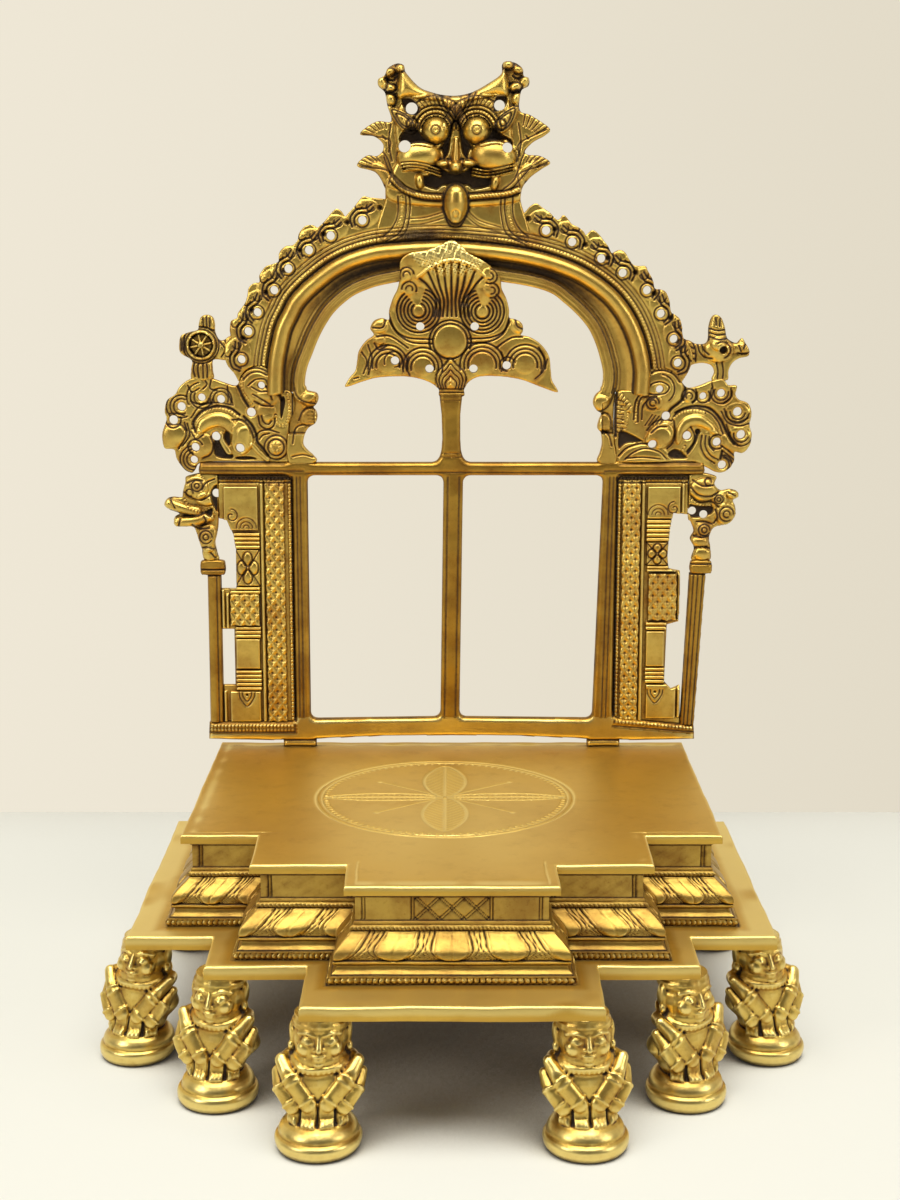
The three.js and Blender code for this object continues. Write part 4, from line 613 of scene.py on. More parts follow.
def carve_lotus(side, run, length, height):
    gaps = np.maximum(1, np.round(length / 18.5))
    pitch = length / gaps
    across = np.abs(run / pitch - np.round(run / pitch)) * pitch
    t = limit((height - petal_low) / (petal_high - petal_low))
    in_band = (height > petal_low) & (height < petal_high)
    widest = 0.37 * pitch
    half = widest * np.sqrt(np.clip(1 - (1 - np.minimum(t / 0.55, 1)) ** 2, 0.02, 1)) * (1 - 0.2 * limit(t - 0.55))
    q = across / half
    relief = np.where(in_band & (q < 1), 0.65 * limit(1 - q * q) ** 0.35, 0)
    dirt = 0 * run
    for place, width, depth in ((1.02, 0.3, 0.5), (0.82, 0.2, 0.25), (1.3, 0.24, 0.4), (1.56, 0.24, 0.4),
            (1.84, 0.24, 0.4)):
        line = fade((across - place * half) / width) * in_band
        relief = relief - depth * line
        dirt = np.maximum(dirt, (0.95 if place > 0.9 else 0.6) * line)
    relief = relief - 0.25 * fade(across / 0.3) * in_band * (side % 2 == 1)
    row = fade((height - BEAD_LEVEL) / 1.2, 4)
    bead = (run / 1.9) % 1 - 0.5
    ball = np.sqrt(limit(1 - (bead * 2) ** 2 - ((height - BEAD_LEVEL) / 1.15) ** 2))
    relief = relief + row * (-0.7 + 1.1 * ball)
    dirt = np.maximum(dirt, 0.75 * row * (1 - ball) ** 2)
    cord = fade((height - CORD_LEVEL) / 0.75, 4)
    twist = 0.5 + 0.5 * np.cos(2 * np.pi * (run + 0.6 * (height - CORD_LEVEL)) / 1.5)
    relief = relief + cord * (0.5 * twist - 0.3)
    dirt = np.maximum(dirt, 0.8 * cord * (1 - twist) ** 2)
    for level, width in ((54.95, 0.3), (58.0, 0.35), (59.6, 0.3), (68.3, 0.25)):
        dirt = np.maximum(dirt, 0.95 * fade((height - level) / width))
    relief = relief + 0.25 * waves(run + 60 * side, height * 2, 1.3)
    return relief, dirt


wrapped_wall("lotus_petals", lotus_profile, carve_lotus, 0.46, "lotus_base")


# The neck: a plain upright band under the seat, with a crossed lattice in the middle of its front step and upright
# lines at the corners.

NECK_TOP = 81.8
neck_profile = straight([LOTUS_TOP, 0.5, 71.2, 0.6, 71.7, 0.0, 80.2, 0.0, 80.6, 0.6, NECK_TOP, 0.6], spacing=0.36)


def carve_neck(side, run, length, height):
    front = (length > 60) & (length < 90)
    x = run - length / 2
    relief, dirt = 0 * run, 0 * run
    from_corner = np.minimum(run, length - run)
    band = (height > 71.9) & (height < 80.1)
    for place in (2.4, 3.6):
        line = fade((from_corner - place) / 0.3) * band
        relief = relief - 0.45 * line
        dirt = np.maximum(dirt, 0.85 * line)
    lattice_half = 14.6
    for place in (lattice_half, lattice_half + 1.2):
        line = fade((np.abs(x) - place) / 0.32) * band * front
        relief = relief - 0.5 * line
        dirt = np.maximum(dirt, 0.9 * line)
    inside = (np.abs(x) < lattice_half - 0.4) & band & front
    for sign in (1, -1):
        diagonal = x / 9.5 + sign * (height - 76) / 8.2
        apart = np.abs(diagonal - np.round(diagonal)) * 6.2
        line = fade((apart - 0.5) / 0.26) * inside
        relief = relief - 0.4 * line
        dirt = np.maximum(dirt, 0.85 * line)
    for level in (71.75, 80.15):
        dirt = np.maximum(dirt, 0.8 * fade((height - level) / 0.35))
    dirt = np.maximum(dirt, 0.35 * (~front) * limit(waves(run * 2, height * 4, 0.7 + side[0, 0], 0.2) + 0.3))
    return relief + 0.12 * waves(run + 40 * side, height, 2.1), dirt


wrapped_wall("neck_band", neck_profile, carve_neck, 0.58, "neck")


# The seat plate: a three-step casting over the neck, rubbed bright and painted brighter across its middle as a painted
# sheen, with an engraved lotus circle where the image stands and two slots at the back for the tenons.

SEAT_TOP = 85.0
CIRCLE = np.array([-2.8, 29.0])
CIRCLE_RADIUS = 50.5
TENON_X, TENON_Y = 65.2, 104
TENON_WIDE, TENON_DEEP, PLAY = 10, 3, 0.25


def engrave_seat(x, y, depth):
    """The engraved lotus: a dotted double circle, two fat hatched petals, two long narrow ones and thin rays."""
    shine = 0 * x
    dx, dy = x - CIRCLE[0], y - CIRCLE[1]
    radius = np.hypot(dx, dy)
    angle = np.arctan2(dy, dx)
    wander = 0.5 * np.sin(3 * angle + 0.6) + 0.3 * np.sin(7 * angle)
    cuts = []
    for r, width in ((CIRCLE_RADIUS, 0.55), (CIRCLE_RADIUS - 2.4, 0.4)):
        cuts.append(fade((radius - r - 0.4 * wander) / width))
    tick = np.abs((angle * CIRCLE_RADIUS / 3.1) % 1 - 0.5) * 3.1
    cuts.append(fade(tick / 0.5) * (np.abs(radius - CIRCLE_RADIUS + 3.9 - 0.4 * wander) < 0.9))
    for along, across, length, width, hatch in (
            (dy, dx, 43, 8.4, 2.1), (-dy, dx, 43, 8.4, 2.1), (dx, dy, 47, 4.6, 0), (-dx, dy, 47, 4.6, 0)):
        t = along / length
        half = width * np.sin(np.pi * limit(t)) ** 0.62
        on = (t > 0.02) & (t < 1)
        apart = np.abs(np.abs(across) - half)
        cuts.append(fade(apart / 0.5) * on)
        cuts.append(fade(across / 0.48) * on)
        if hatch:
            phase = np.abs(((along - 0.7 * np.abs(across)) / hatch) % 1 - 0.5) * hatch
            cuts.append(fade(phase / 0.3) * on * (np.abs(across) < half - 0.5))
        else:
            dot = np.abs((along / 2.1) % 1 - 0.5) * 2.1
            cuts.append(np.exp(-((np.abs(across) - 0.55 * half) ** 2 + dot ** 2) / 0.16) * on)
    for turn in (38, 142, 218, 322):
        c, s = math.cos(math.radians(turn)), math.sin(math.radians(turn))
        along, across = dx * c + dy * s, dy * c - dx * s
        on = (along > 6) & (along < 32)
        cuts.append(fade(across / 0.3) * on)
        cuts.append(np.exp(-((along - 33) ** 2 + across ** 2) / 0.7))
    cuts.append(fade((depth - 4.0 - 0.5 * waves(x, y, 0.9)) / 0.34) * 0.7)
    for cut in cuts:
        shine = np.maximum(shine, cut)
    stain = 0.55 * np.exp(-(((dx - 58) / 12) ** 2 + ((dy + 5) / 2.4) ** 2)) * (0.5 + 0.5 * waves(x, y, 2.0, 0.6))
    stain = np.maximum(stain, 0.4 * np.exp(-(((dx + 20) / 9) ** 2 + ((dy + 8) / 3) ** 2))
        * limit(waves(x, y, 4.0, 0.5) + 0.4))
    # The broad brighter middle is a painted sheen, standing in for the soft highlight across the seat.
    worn = 0.3 * np.exp(-((x / 62) ** 2 + ((y + 20) / 75) ** 2))
    return -0.42 * shine, np.maximum(stain, 0) - 0.95 * shine - worn * (1 - shine)


fine = 0.42
seat_x = np.concatenate([np.arange(-99, -55, 3.0), np.arange(-55, 50, fine), np.arange(50, 99, 3.0)])
seat_y = np.concatenate([np.arange(-74, -24, 3.0), np.arange(-24, 82, fine), np.arange(82, 110, 3.0)])
half_wide, half_deep = TENON_WIDE / 2 + PLAY, TENON_DEEP / 2 + PLAY
slots = [(side * TENON_X - half_wide, side * TENON_X + half_wide, TENON_Y - half_deep, TENON_Y + half_deep)
         for side in (-1, 1)]
flat_plate("engraved_seat", NECK_PLAN, 3.7, 11.0, NECK_TOP, SEAT_TOP, seat_x, seat_y, slots, engrave_seat, 0.3,
           "seat_plate")


# The back is one pierced casting, 4 mm thick, worked on its front with punches and liners. Each member is a
# sheet of metal whose front is raised, grooved and beaded here, in millimetres: u across, v up from the back's
# foot and height forward from its flat rear face.

BACK_PLANE = 106.0
BACK_FOOT = 87.8
REAR_STEP = 0.04
FAR = 99.0


def circle(centre, radius, start=0, sweep=360, squash=1.0):
    """Part of a circle, in degrees from the right, anticlockwise."""
    count = max(8, int(abs(sweep) / 360 * 2 * math.pi * radius / 0.6))
    angles = np.radians(start + sweep * np.arange(count + 1) / count)
    return np.stack([centre[0] + radius * np.cos(angles), centre[1] + radius * squash * np.sin(angles)], 1)


def scroll(centre, outer, inner, start, turns, hand=1):
    """A spiral that closes in on its centre."""
    count = max(12, int(abs(turns) * math.pi * (outer + inner) / 0.6))
    t = np.arange(count + 1) / count
    angles = math.radians(start) + hand * 2 * math.pi * turns * t
    radii = outer + (inner - outer) * t
    return np.stack([centre[0] + radii * np.cos(angles), centre[1] + radii * np.sin(angles)], 1)


class Relief:
    """The worked front of one member of the back: a grid of heights over its outline."""

    members = 0

    def __init__(self, left, right, low, high, step):
        Relief.members += 1
        self.rear = REAR_STEP * Relief.members
        self.step = step
        self.columns = round((right - left) / step)
        self.rows = round((high - low) / step)
        self.across = np.linspace(left, right, self.columns + 1)
        self.up = np.linspace(low, high, self.rows + 1)
        self.u, self.v = np.meshgrid(self.across, self.up)
        self.edge = np.full(self.u.shape, FAR)
        self.height = np.zeros(self.u.shape)
        self.dirt = np.zeros(self.u.shape)

    def span(self, low_corner, high_corner):
        """The grid's rows and columns that hold a box."""
        c0, c1 = np.searchsorted(self.across, (low_corner[0], high_corner[0]))
        r0, r1 = np.searchsorted(self.up, (low_corner[1], high_corner[1]))
        return slice(r0, r1), slice(c0, c1)

    def measure(self, line, reach):
        """For each grid point: distance to the line, length along it and the side (+1 to its left)."""
        distance = np.full(self.u.shape, FAR)
        along = np.zeros(self.u.shape)
        side = np.ones(self.u.shape)
        run = 0.0
        for start, end in zip(line[:-1], line[1:]):
            step = end - start
            length = math.hypot(*step)
            if length < 1e-6:
                continue
            box = self.span(np.minimum(start, end) - reach, np.maximum(start, end) + reach)
            u, v = self.u[box] - start[0], self.v[box] - start[1]
            t = limit((u * step[0] + v * step[1]) / length ** 2)
            d = np.hypot(u - t * step[0], v - t * step[1])
            nearer = d < distance[box]
            distance[box] = np.where(nearer, d, distance[box])
            along[box] = np.where(nearer, run + t * length, along[box])
            side[box] = np.where(nearer, np.sign(step[0] * v - step[1] * u), side[box])
            run += length
        return distance, along, side

    def inside(self, line):
        """Signed distance to a closed outline, less than zero inside it."""
        ring = np.vstack([line, line[:1]]).astype(float)
        distance = self.measure(ring, 4 * self.step + 2)[0]
        within = np.zeros(self.u.shape, bool)
        for (x0, y0), (x1, y1) in zip(ring[:-1], ring[1:]):
            r0, r1 = sorted(np.searchsorted(self.up, (y0, y1)))
            if r0 == r1:
                continue
            v = self.up[r0:r1]
            crossing = x0 + (v - y0) * (x1 - x0) / (y1 - y0)
            within[r0:r1] ^= self.across[None, :] < crossing[:, None]
        return np.where(within, -distance, distance)

    def add(self, line):
        """The outline of some metal."""
        self.edge = np.minimum(self.edge, self.inside(line))

    def join(self, line, fillet):
        """More metal, that runs into what is there with a fillet."""
        other = self.inside(line)
        blend = np.clip(fillet - np.abs(self.edge - other), 0, None)
        self.edge = np.minimum(self.edge, other) - blend ** 2 / (4 * fillet)

    def cut(self, line):
        self.edge = np.maximum(self.edge, -self.inside(line))

    def soil(self, dirt):
        """Dirt, where there isn't more already."""
        self.dirt = np.maximum(self.dirt, dirt)

    def level(self, height):
        self.height[:] = height

    def swell(self, line, rise, soft):
        """Raises what lies inside an outline, with a rounded flank."""
        depth = limit(-self.inside(line) / soft)
        self.height += rise * np.sqrt(1 - (1 - depth) ** 2)

    def dome(self, centre, wide, tall, rise, turn=0.0, level=None, power=0.5):
        """A boss with an elliptical foot. With a level, it stands on that level instead of what is there."""
        c, s = math.cos(math.radians(turn)), math.sin(math.radians(turn))
        u, v = self.u - centre[0], self.v - centre[1]
        reach = ((u * c + v * s) / wide) ** 2 + ((v * c - u * s) / tall) ** 2
        bump = rise * limit(1 - reach) ** power
        if level is None:
            self.height += bump
        else:
            self.height = np.where(reach < 1, np.maximum(self.height, level + bump), self.height)

    def domes(self, rows):
        """Several bosses, each as x, y, width, height and rise, and more where it needs it."""
        for x, y, *sizes in rows:
            self.dome((x, y), *sizes)

    def hollow_out(self, line, floor, soft=1.0, dirt=0.8):
        """Sinks what lies inside an outline down to a floor."""
        share = limit(-self.inside(line) / soft)
        share = share * share * (3 - 2 * share)
        self.height = self.height * (1 - share) + np.minimum(floor, self.height) * share
        self.soil(dirt * share)

    def ridge(self, line, width, rise, level=None, taper=None):
        """A rounded rib along a line, half as wide as the width on each side."""
        distance, along, _ = self.measure(line, width)
        half = width / 2
        if taper is not None:
            total = np.sum(np.hypot(*np.diff(line, axis=0).T))
            share = np.interp(along / total, np.linspace(0, 1, len(taper)), taper)
            half = half * np.maximum(share, 0.01)
            rise = rise * np.sqrt(share)
        bump = rise * limit(1 - (distance / half) ** 2) ** 0.5
        if level is None:
            self.height += bump
        else:
            self.height = np.where(distance < half, np.maximum(self.height, level + bump), self.height)

    def groove(self, line, width=0.45, depth=0.5, dirt=0.8):
        """A line cut with a liner: a soft V with dirt at its bottom."""
        distance = self.measure(line, 3 * width + self.step)[0]
        cut = fade(distance / width)
        self.height -= depth * cut
        self.soil(dirt * fade(distance / (1.25 * width)))

    def grooves(self, lines, width=0.45, depth=0.5, dirt=0.8):
        for line in lines:
            self.groove(line, width, depth, dirt)

    def draw(self, lists, width=0.42, depth=0.6, dirt=0.9):
        """Grooves along even curves through the given points."""
        self.grooves([curve(points) for points in lists], width, depth, dirt)

    def beads(self, line, pitch=1.5, radius=0.75, rise=0.6, sunk=0.5, dirt=0.7):
        """A row of punched beads in a narrow channel."""
        distance, along, _ = self.measure(line, 3 * radius)
        total = np.sum(np.hypot(*np.diff(line, axis=0).T))
        pitch = total / max(1, round(total / pitch))
        offset = (along / pitch) % 1 - 0.5
        reach = (offset * pitch) ** 2 + distance ** 2
        channel = fade(distance / (1.15 * radius), 4)
        bead = np.sqrt(limit(1 - reach / radius ** 2))
        self.height += channel * -sunk + rise * bead
        self.soil(dirt * channel * (1 - np.sqrt(bead)))

    def rope(self, line, width=1.8, pitch=1.6, rise=0.7, slant=0.5, dirt=0.6):
        """A twisted rib."""
        distance, along, side = self.measure(line, width)
        body = np.sqrt(limit(1 - (2 * distance / width) ** 2))
        phase = (along + slant * side * distance) / pitch
        strand = 0.5 + 0.5 * np.cos(2 * np.pi * phase)
        self.height += rise * body * (0.45 + 0.55 * strand)
        self.soil(dirt * (body > 0) * (1 - strand) ** 3)

    def hatch(self, area, angle, pitch=1.1, depth=0.35, dirt=0.6, cross=False):
        """Fine parallel lines inside an outline or mask."""
        mask = limit(-area / 0.6)
        for turn in (angle, -angle) if cross else (angle,):
            c, s = math.cos(math.radians(turn)), math.sin(math.radians(turn))
            phase = (self.v * c - self.u * s) / pitch
            line = np.abs((phase % 1) - 0.5) * 2
            cut = limit((line - 0.55) / 0.45) * mask
            self.height -= depth * cut
            self.soil(dirt * cut)

    def blurred(self, values, reach):
        """The values averaged over the metal nearby."""
        metal = (self.edge < 0.3).astype(float)
        total, weight = values * metal, metal
        size = max(1, round(reach / self.step))
        kernel = fade(np.linspace(-2, 2, 2 * size + 1))
        for axis in (0, 1):
            sums = []
            for field in (total, weight):
                padded = np.pad(field, [(size, size) if a == axis else (0, 0) for a in (0, 1)])
                moved = 0
                for k, share in enumerate(kernel):
                    where = [slice(None), slice(None)]
                    where[axis] = slice(k, k + field.shape[axis])
                    moved = moved + share * padded[tuple(where)]
                sums.append(moved)
            total, weight = sums
        return total / np.maximum(weight, 1e-6)

    def round_edge(self, radius=0.9):
        """The rim filed round."""
        depth = limit((radius + np.minimum(self.edge, 0)) / radius)
        self.height -= radius * (1 - np.sqrt(1 - depth ** 2))

    def hand_made(self, amount):
        """The slight unevenness of a sand casting."""
        for k, (a, b, c) in enumerate(((0.11, 0.17, 0.4), (0.19, -0.13, 1.7), (-0.31, 0.27, 2.9), (0.52, 0.61, 0.2))):
            wave = np.sin(a * self.u + b * self.v + c) * np.cos(1.3 * b * self.u - 0.8 * a * self.v + 2 * c)
            self.height += amount / (1 + k) * wave

    def finish(self, uneven, rim, holes=(), highest=FAR, worn=0):
        """The last work on a casting: its edge is filed round, its holes are drilled and its bosses filed level."""
        self.hand_made(uneven)
        self.round_edge(rim)
        for x, y, radius in holes:
            distance = np.hypot(self.u - x, self.v - y) - radius
            self.edge = np.maximum(self.edge, -distance)
            self.height -= worn * limit(1 - distance / 0.6)
        self.height = np.minimum(self.height, highest)

    def cast(self, name, replaced, material=chased_brass, slot="patinated_brass"):
        """Makes the member: the grid inside the outline, snapped to it, with a flat back a hair off its neighbours'."""
        self.height = np.maximum(self.height, 0.6)
        sunk = self.blurred(self.height, 1.3) - self.height
        sunk = np.maximum(sunk, 0.7 * (self.blurred(self.height, 3.38) - self.height))
        hollow = limit(np.maximum(1.1 * sunk, self.dirt)) - np.clip(-1.3 * sunk - 2 * self.dirt, 0, 0.9)
        edge = self.edge
        centre = 0.25 * (edge[:-1, :-1] + edge[1:, :-1] + edge[:-1, 1:] + edge[1:, 1:])
        keep = centre < 0
        for _ in range(4):
            a, b, c, d = keep[:-1, :-1], keep[:-1, 1:], keep[1:, :-1], keep[1:, 1:]
            one = a & d & ~b & ~c
            two = b & c & ~a & ~d
            keep[:-1, 1:] |= one
            keep[:-1, :-1] |= two
        used = np.zeros(edge.shape, int)
        for shift_rows in (0, 1):
            for shift_columns in (0, 1):
                used[shift_rows:shift_rows + self.rows, shift_columns:shift_columns + self.columns] += keep
        rim = (used > 0) & (used < 4)
        slope_v, slope_u = np.gradient(edge, self.step)
        size = np.maximum(slope_u ** 2 + slope_v ** 2, 0.25)
        pull = np.where(rim, np.clip(edge, -0.8 * self.step, 0.8 * self.step), 0) / size
        u = self.u - pull * slope_u
        v = self.v - pull * slope_v
        bm, cell = numbered_grid(self.rows, self.columns, keep=keep)
        grown = bmesh.ops.extrude_face_region(bm, geom=bm.faces[:], use_keep_orig=True)
        new = [item for item in grown["geom"] if isinstance(item, bmesh.types.BMVert)]
        for vert in new:
            vert[cell] += u.size
        bmesh.ops.translate(bm, verts=new, vec=(0, 0, 1))
        bmesh.ops.recalc_face_normals(bm, faces=bm.faces[:])
        rear, front = (np.stack([u, BACK_PLANE - height, BACK_FOOT + v], 2).reshape(-1, 3)
                       for height in (np.full(u.shape, self.rear), self.height))
        stain = np.concatenate([np.full(u.size, 0.25), hollow.ravel()])
        make_piece(bm, name, "prabhavali", material, replaced, np.vstack([rear, front]), stain, 62)


# The frame of the back: bottom rail on two lugs, two posts, crossbar, middle bar and the stem above it, all bars
# with worn round edges and fine upright lines. Two tenons under the lugs stand in the slots of the seat.

bars = Relief(-107.5, 107.5, -3.2, 151, 0.5)
left_post = [-66.7, 3, -66.7, 120, -60.5, 120, -60.5, 3]
right_post = [60.2, 3, 60.3, 10, 63.5, 114.5, 63.5, 120, 69.3, 120, 69.2, 114.5, 69, 3]
crossbar = [-105.2, 114.6, -106, 117, -105.2, 120, 105.2, 120, 106, 117, 105.2, 114.6]
rail = [-104.4, 0.4, -104, 8, -68.5, 8, -60, 9.2, -4, 10, 4, 10, 60, 9.4, 68.5, 10, 104, 6.6, 104.4, 0.4, 72.2, 0,
    72.2, -2.8, 58.2, -2.8, 58.2, 0.6, 30, 1.8, 0, 2.2, -30, 1.8, -58.2, 0.6, -58.2, -2.8, -72.2, -2.8, -72.2, 0]
middle_bar = [-4.9, 5, -3.4, 116, 4.8, 116, 3.3, 5]
stem = [-5.6, 118, -5.2, 121.5, -4.3, 125, -3.9, 130, -4.2, 140, -4.9, 146, -5.2, 149.6, 4.6, 149.6, 4.2, 146, 3.6, 140,
    3.6, 130, 3.9, 125, 4.8, 121.5, 5.4, 118]
for line in (left_post, right_post, crossbar, rail, middle_bar, stem):
    bars.join(straight(line, closed=True), 3.4)
bars.level(3.9)
bars.height += 0.35 * limit(-bars.edge / 1.6)
for line in ([-66.9, 8.6, -66.9, 114], [69.2, 10.4, 69.3, 114]):
    bars.groove(straight(line), 0.4, 0.8, 1.0)
for foot, low, top in ((-64.9, 10.6, -64.9), (-63.3, 10.6, -63.4), (64.2, 10.6, 66.2), (66.0, 10.6, 67.8),
        (-3.0, 11, -1.6), (1.6, 11, 3.2)):
    bars.groove(straight([foot, low, top, 114]), 0.42, 0.45, 0.8)
for side in (-1, 1):
    bars.groove(straight([side * 106, 114.9, side * 70, 114.9]), 0.5, 0.7, 0.9)
    bars.groove(straight([side * 58, 0.2, side * 72.4, 0.2]), 0.45, 0.8, 1.0)
    bars.groove(straight([side * 104, 119.2, side * 70, 119.2]), 0.4, 0.4, 0.7)
bars.draw([[-105, 116.8, -62, 116.6], [64, 116.6, 105, 116.8], [-61, 115.6, 0, 116, 64, 115.6]], 0.42, 0.4, 0.75)
for ends in ([-103.6, 6.6, -67.4, 6.6], [-103.6, 4.9, -67.4, 4.9], [70, 8.4, 103.6, 5.5]):
    bars.beads(straight(ends), 1.5, 0.72, 0.6, 0.3, 0.85)
bars.groove(straight([-104, 3.6, -66.8, 3.6]), 0.4, 0.5, 0.85)
bars.groove(straight([69.2, 6.6, 104, 3.8]), 0.4, 0.5, 0.85)
for side in (-1, 1):
    for level in (122.4, 124, 146.2, 147.8):
        bars.groove(straight([side * 0.2, level, side * 5.6, level]), 0.34, 0.35, 0.6)
bars.dirt = np.where((bars.v < 10.5) & (np.abs(bars.u) < 104) & (bars.dirt < 0.1), -0.2, bars.dirt)
bars.finish(0.14, 1.4)
bars.cast("back_bars", "back_frame", bar_brass, "polished_brass")

for side, name in ((-1, "left_tenon"), (1, "right_tenon")):
    bm = bmesh.new()
    place = Matrix.Translation((side * TENON_X * MM, TENON_Y * MM, 79.15 * MM))
    place @= Matrix.Diagonal((TENON_WIDE * MM, TENON_DEEP * MM, 12.3 * MM, 1))
    bmesh.ops.create_cube(bm, size=1, matrix=place)
    bmesh.ops.bevel(bm, geom=bm.edges[:], offset=0.4 * MM, affect="EDGES", segments=3, profile=0.5, material=-1)
    mesh = bpy.data.meshes.new(name)
    bm.to_mesh(mesh)
    bm.free()
    mesh.materials.append(bar_brass)
    tenon = put_in_scene(name, mesh)
    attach(tenon, "prabhavali")
    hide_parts("back_frame")


# The arch, cast in one with the back: a flat inner band, a dark hollow and a big round roll, on two cusped feet
# that stand on the crossbar. Its lines were cut by hand, so its two shoulders are not alike.

opening_line = curve([-61, 150, -60.9, 155, -59.8, 160, -57.8, 165, -55.2, 171.3, -52.2, 176.9, -48, 182.7, -41, 188.6,
    -34, 191.8, -27, 193.7, -14, 195.8, 0, 196.5, 12, 196, 21, 194.6, 30, 193.2, 37, 191.5, 42, 189.4, 46, 186.3,
    50, 182.9, 54.2, 178.6, 57.3, 174.3, 59.8, 168.8, 61.4, 163.8, 62.7, 158.4, 62.8, 154, 62, 150])
roll_line = curve([-73.2, 148, -73, 155, -72.6, 160.6, -71.8, 165.7, -70.6, 171, -69.2, 176, -66.7, 181, -64, 186,
    -60, 190.5, -55, 194.8, -50, 198.6, -45, 201.5, -39.5, 203.8, -31, 206.1, -22, 207.1, -10, 207.9, 0, 208, 10, 207.3,
    20, 206.3, 30, 204.8, 40, 202.4, 50, 198.8, 58, 194.3, 65, 188.8, 70, 183, 73.6, 177, 76.5, 170, 78.3, 163, 79, 157,
    78.6, 148])
ROLL_HALF = 3.1
BAND = 4.7


def beside(line, offset):
    """The line moved to its left by an offset."""
    slope = np.gradient(line, axis=0)
    slope /= np.hypot(*slope.T)[:, None]
    return line + offset * np.stack([-slope[:, 1], slope[:, 0]], 1)


left_foot = [(-60.9, 152), (-60.2, 150.2), (-58.2, 149.6), (-56.2, 149), (-55.4, 147), (-56.2, 144.6), (-57.6, 143),
    (-56.4, 141.4), (-56, 139), (-57, 136.3), (-60, 134.2), (-61.6, 131), (-62, 127.5), (-60, 124.8), (-58, 123),
    (-57, 120.3), (-68, 120.3), (-68, 136), (-66, 149), (-66, 156)]
right_foot = [(62.6, 152), (61.8, 150), (60, 148.4), (59, 146.4), (59, 144), (60.4, 141.8), (62.3, 140.4),
    (61.3, 137.6), (60.8, 134.4), (62.3, 132.4), (62.8, 128), (62, 124), (61.2, 120.3), (68.6, 120.3), (67.6, 130),
    (67.6, 142), (68, 149), (69, 156)]
arch_outer = beside(roll_line, ROLL_HALF + 0.4)
arch = Relief(-80, 87, 120.3, 213, 0.4)
arch.add(np.vstack([opening_line, arch_outer[::-1]]))
arch.add(loop(left_foot))
arch.add(loop(right_foot))


def work_arch(piece):
    """The mouldings that run round the arch, over any member that they cross."""
    inner = piece.measure(opening_line, 22)[0]
    roll, _, roll_side = piece.measure(roll_line, 16)
    half = ROLL_HALF + 0.35 * limit((205 - piece.v) / 30)
    beyond = (roll_side > 0) & (roll > half)
    share = limit((inner - BAND) / np.maximum(inner - BAND + roll - half, 0.1))
    # The cove darkens towards the top: soot, and painted shadow under the overhanging roll.
    soot_and_shadow = limit((piece.v - 176) / 22)
    cove = (inner > BAND) & ~beyond & (roll > half)
    hollow = np.sin(np.pi * share)
    piece.height = np.where(cove, 4.1 - 2.6 * hollow ** 0.7, piece.height)
    piece.dirt = np.where(cove, np.maximum(piece.dirt, hollow ** 0.5 * (0.3 + 0.6 * soot_and_shadow)), piece.dirt)
    body = np.sqrt(limit(1 - (roll / half) ** 2))
    piece.height = np.where(roll < half, 3.6 + 3.6 * body, piece.height)
    for line, offset, width, depth, dirt in ((opening_line, 1.7, 0.4, 0.22, 0.35), (opening_line, 3.4, 0.4, 0.25, 0.4),
            (opening_line, 4.5, 0.5, 0.6, 0.85), (opening_line, 5.9, 0.45, 0.45, 0.8),
            (opening_line, 7.3, 0.45, 0.3, 0.6), (roll_line, -3.6, 0.6, 0.5, 0.9), (roll_line, 3.7, 0.55, 0.8, 0.9),
            (roll_line, 6.3, 0.42, 0.55, 0.85), (roll_line, 7.7, 0.42, 0.5, 0.8), (roll_line, 9.2, 0.42, 0.45, 0.7)):
        piece.groove(beside(line, offset), width, depth, dirt)
    piece.beads(beside(roll_line, 5.0), 1.45, 0.75, 0.55, 0.45, 0.75)


arch.level(4.2)
work_arch(arch)
arch.domes([(-58.6, 146.6, 4.2, 3.4, 1.4), (61.8, 145, 4.2, 3.4, 1.4), (-59.4, 138.8, 4.4, 3.8, 1.2),
            (63.6, 136.6, 4.4, 3.8, 1.2)])
arch.draw([[-65.5, 152.5, -64.6, 148.6, -62, 146, -56, 144.6], [-63.8, 137.5, -62.2, 141.2, -59.6, 142.9, -55.8, 143.4],
    [-66.4, 128, -65.2, 134, -62, 135.6, -58, 134.8], [-66.5, 122.6, -62, 123.4, -58, 122.4], [67.6, 151, 66.6, 146,
    64, 142.4, 60, 141.2], [66.6, 134, 66, 139, 63.6, 140.8, 61.4, 140], [62.4, 133.4, 65.4, 131.6, 66.8, 127]], 0.45,
    0.6, 0.85)
arch.draw([[-59.5, 140 - k * 1.4, -56, 139.6 - k * 1.4] for k in range(4)], 0.35, 0.3, 0.5)
arch.finish(0.08, 0.8)
arch.cast("arch", "arch_moulding", arch_brass, "polished_brass")


# The flame border, left and right of the mask: bead and line mouldings along the arch, then eight scrolls, each
# drilled through its eye and toothed on the outside.

flame_eyes = {
    "left": [(-36.5, 219.5), (-49.5, 213.3), (-58.5, 207.5), (-67, 200), (-73, 191.3), (-80, 182.3), (-84, 174.5),
        (-87, 163)],
    "right": [(38.6, 215.4), (49.3, 210.8), (61.3, 204.1), (70.2, 198.3), (80.3, 191.3), (86.2, 181.8),
        (91.7, 171.4), (93.6, 161.6)],
}

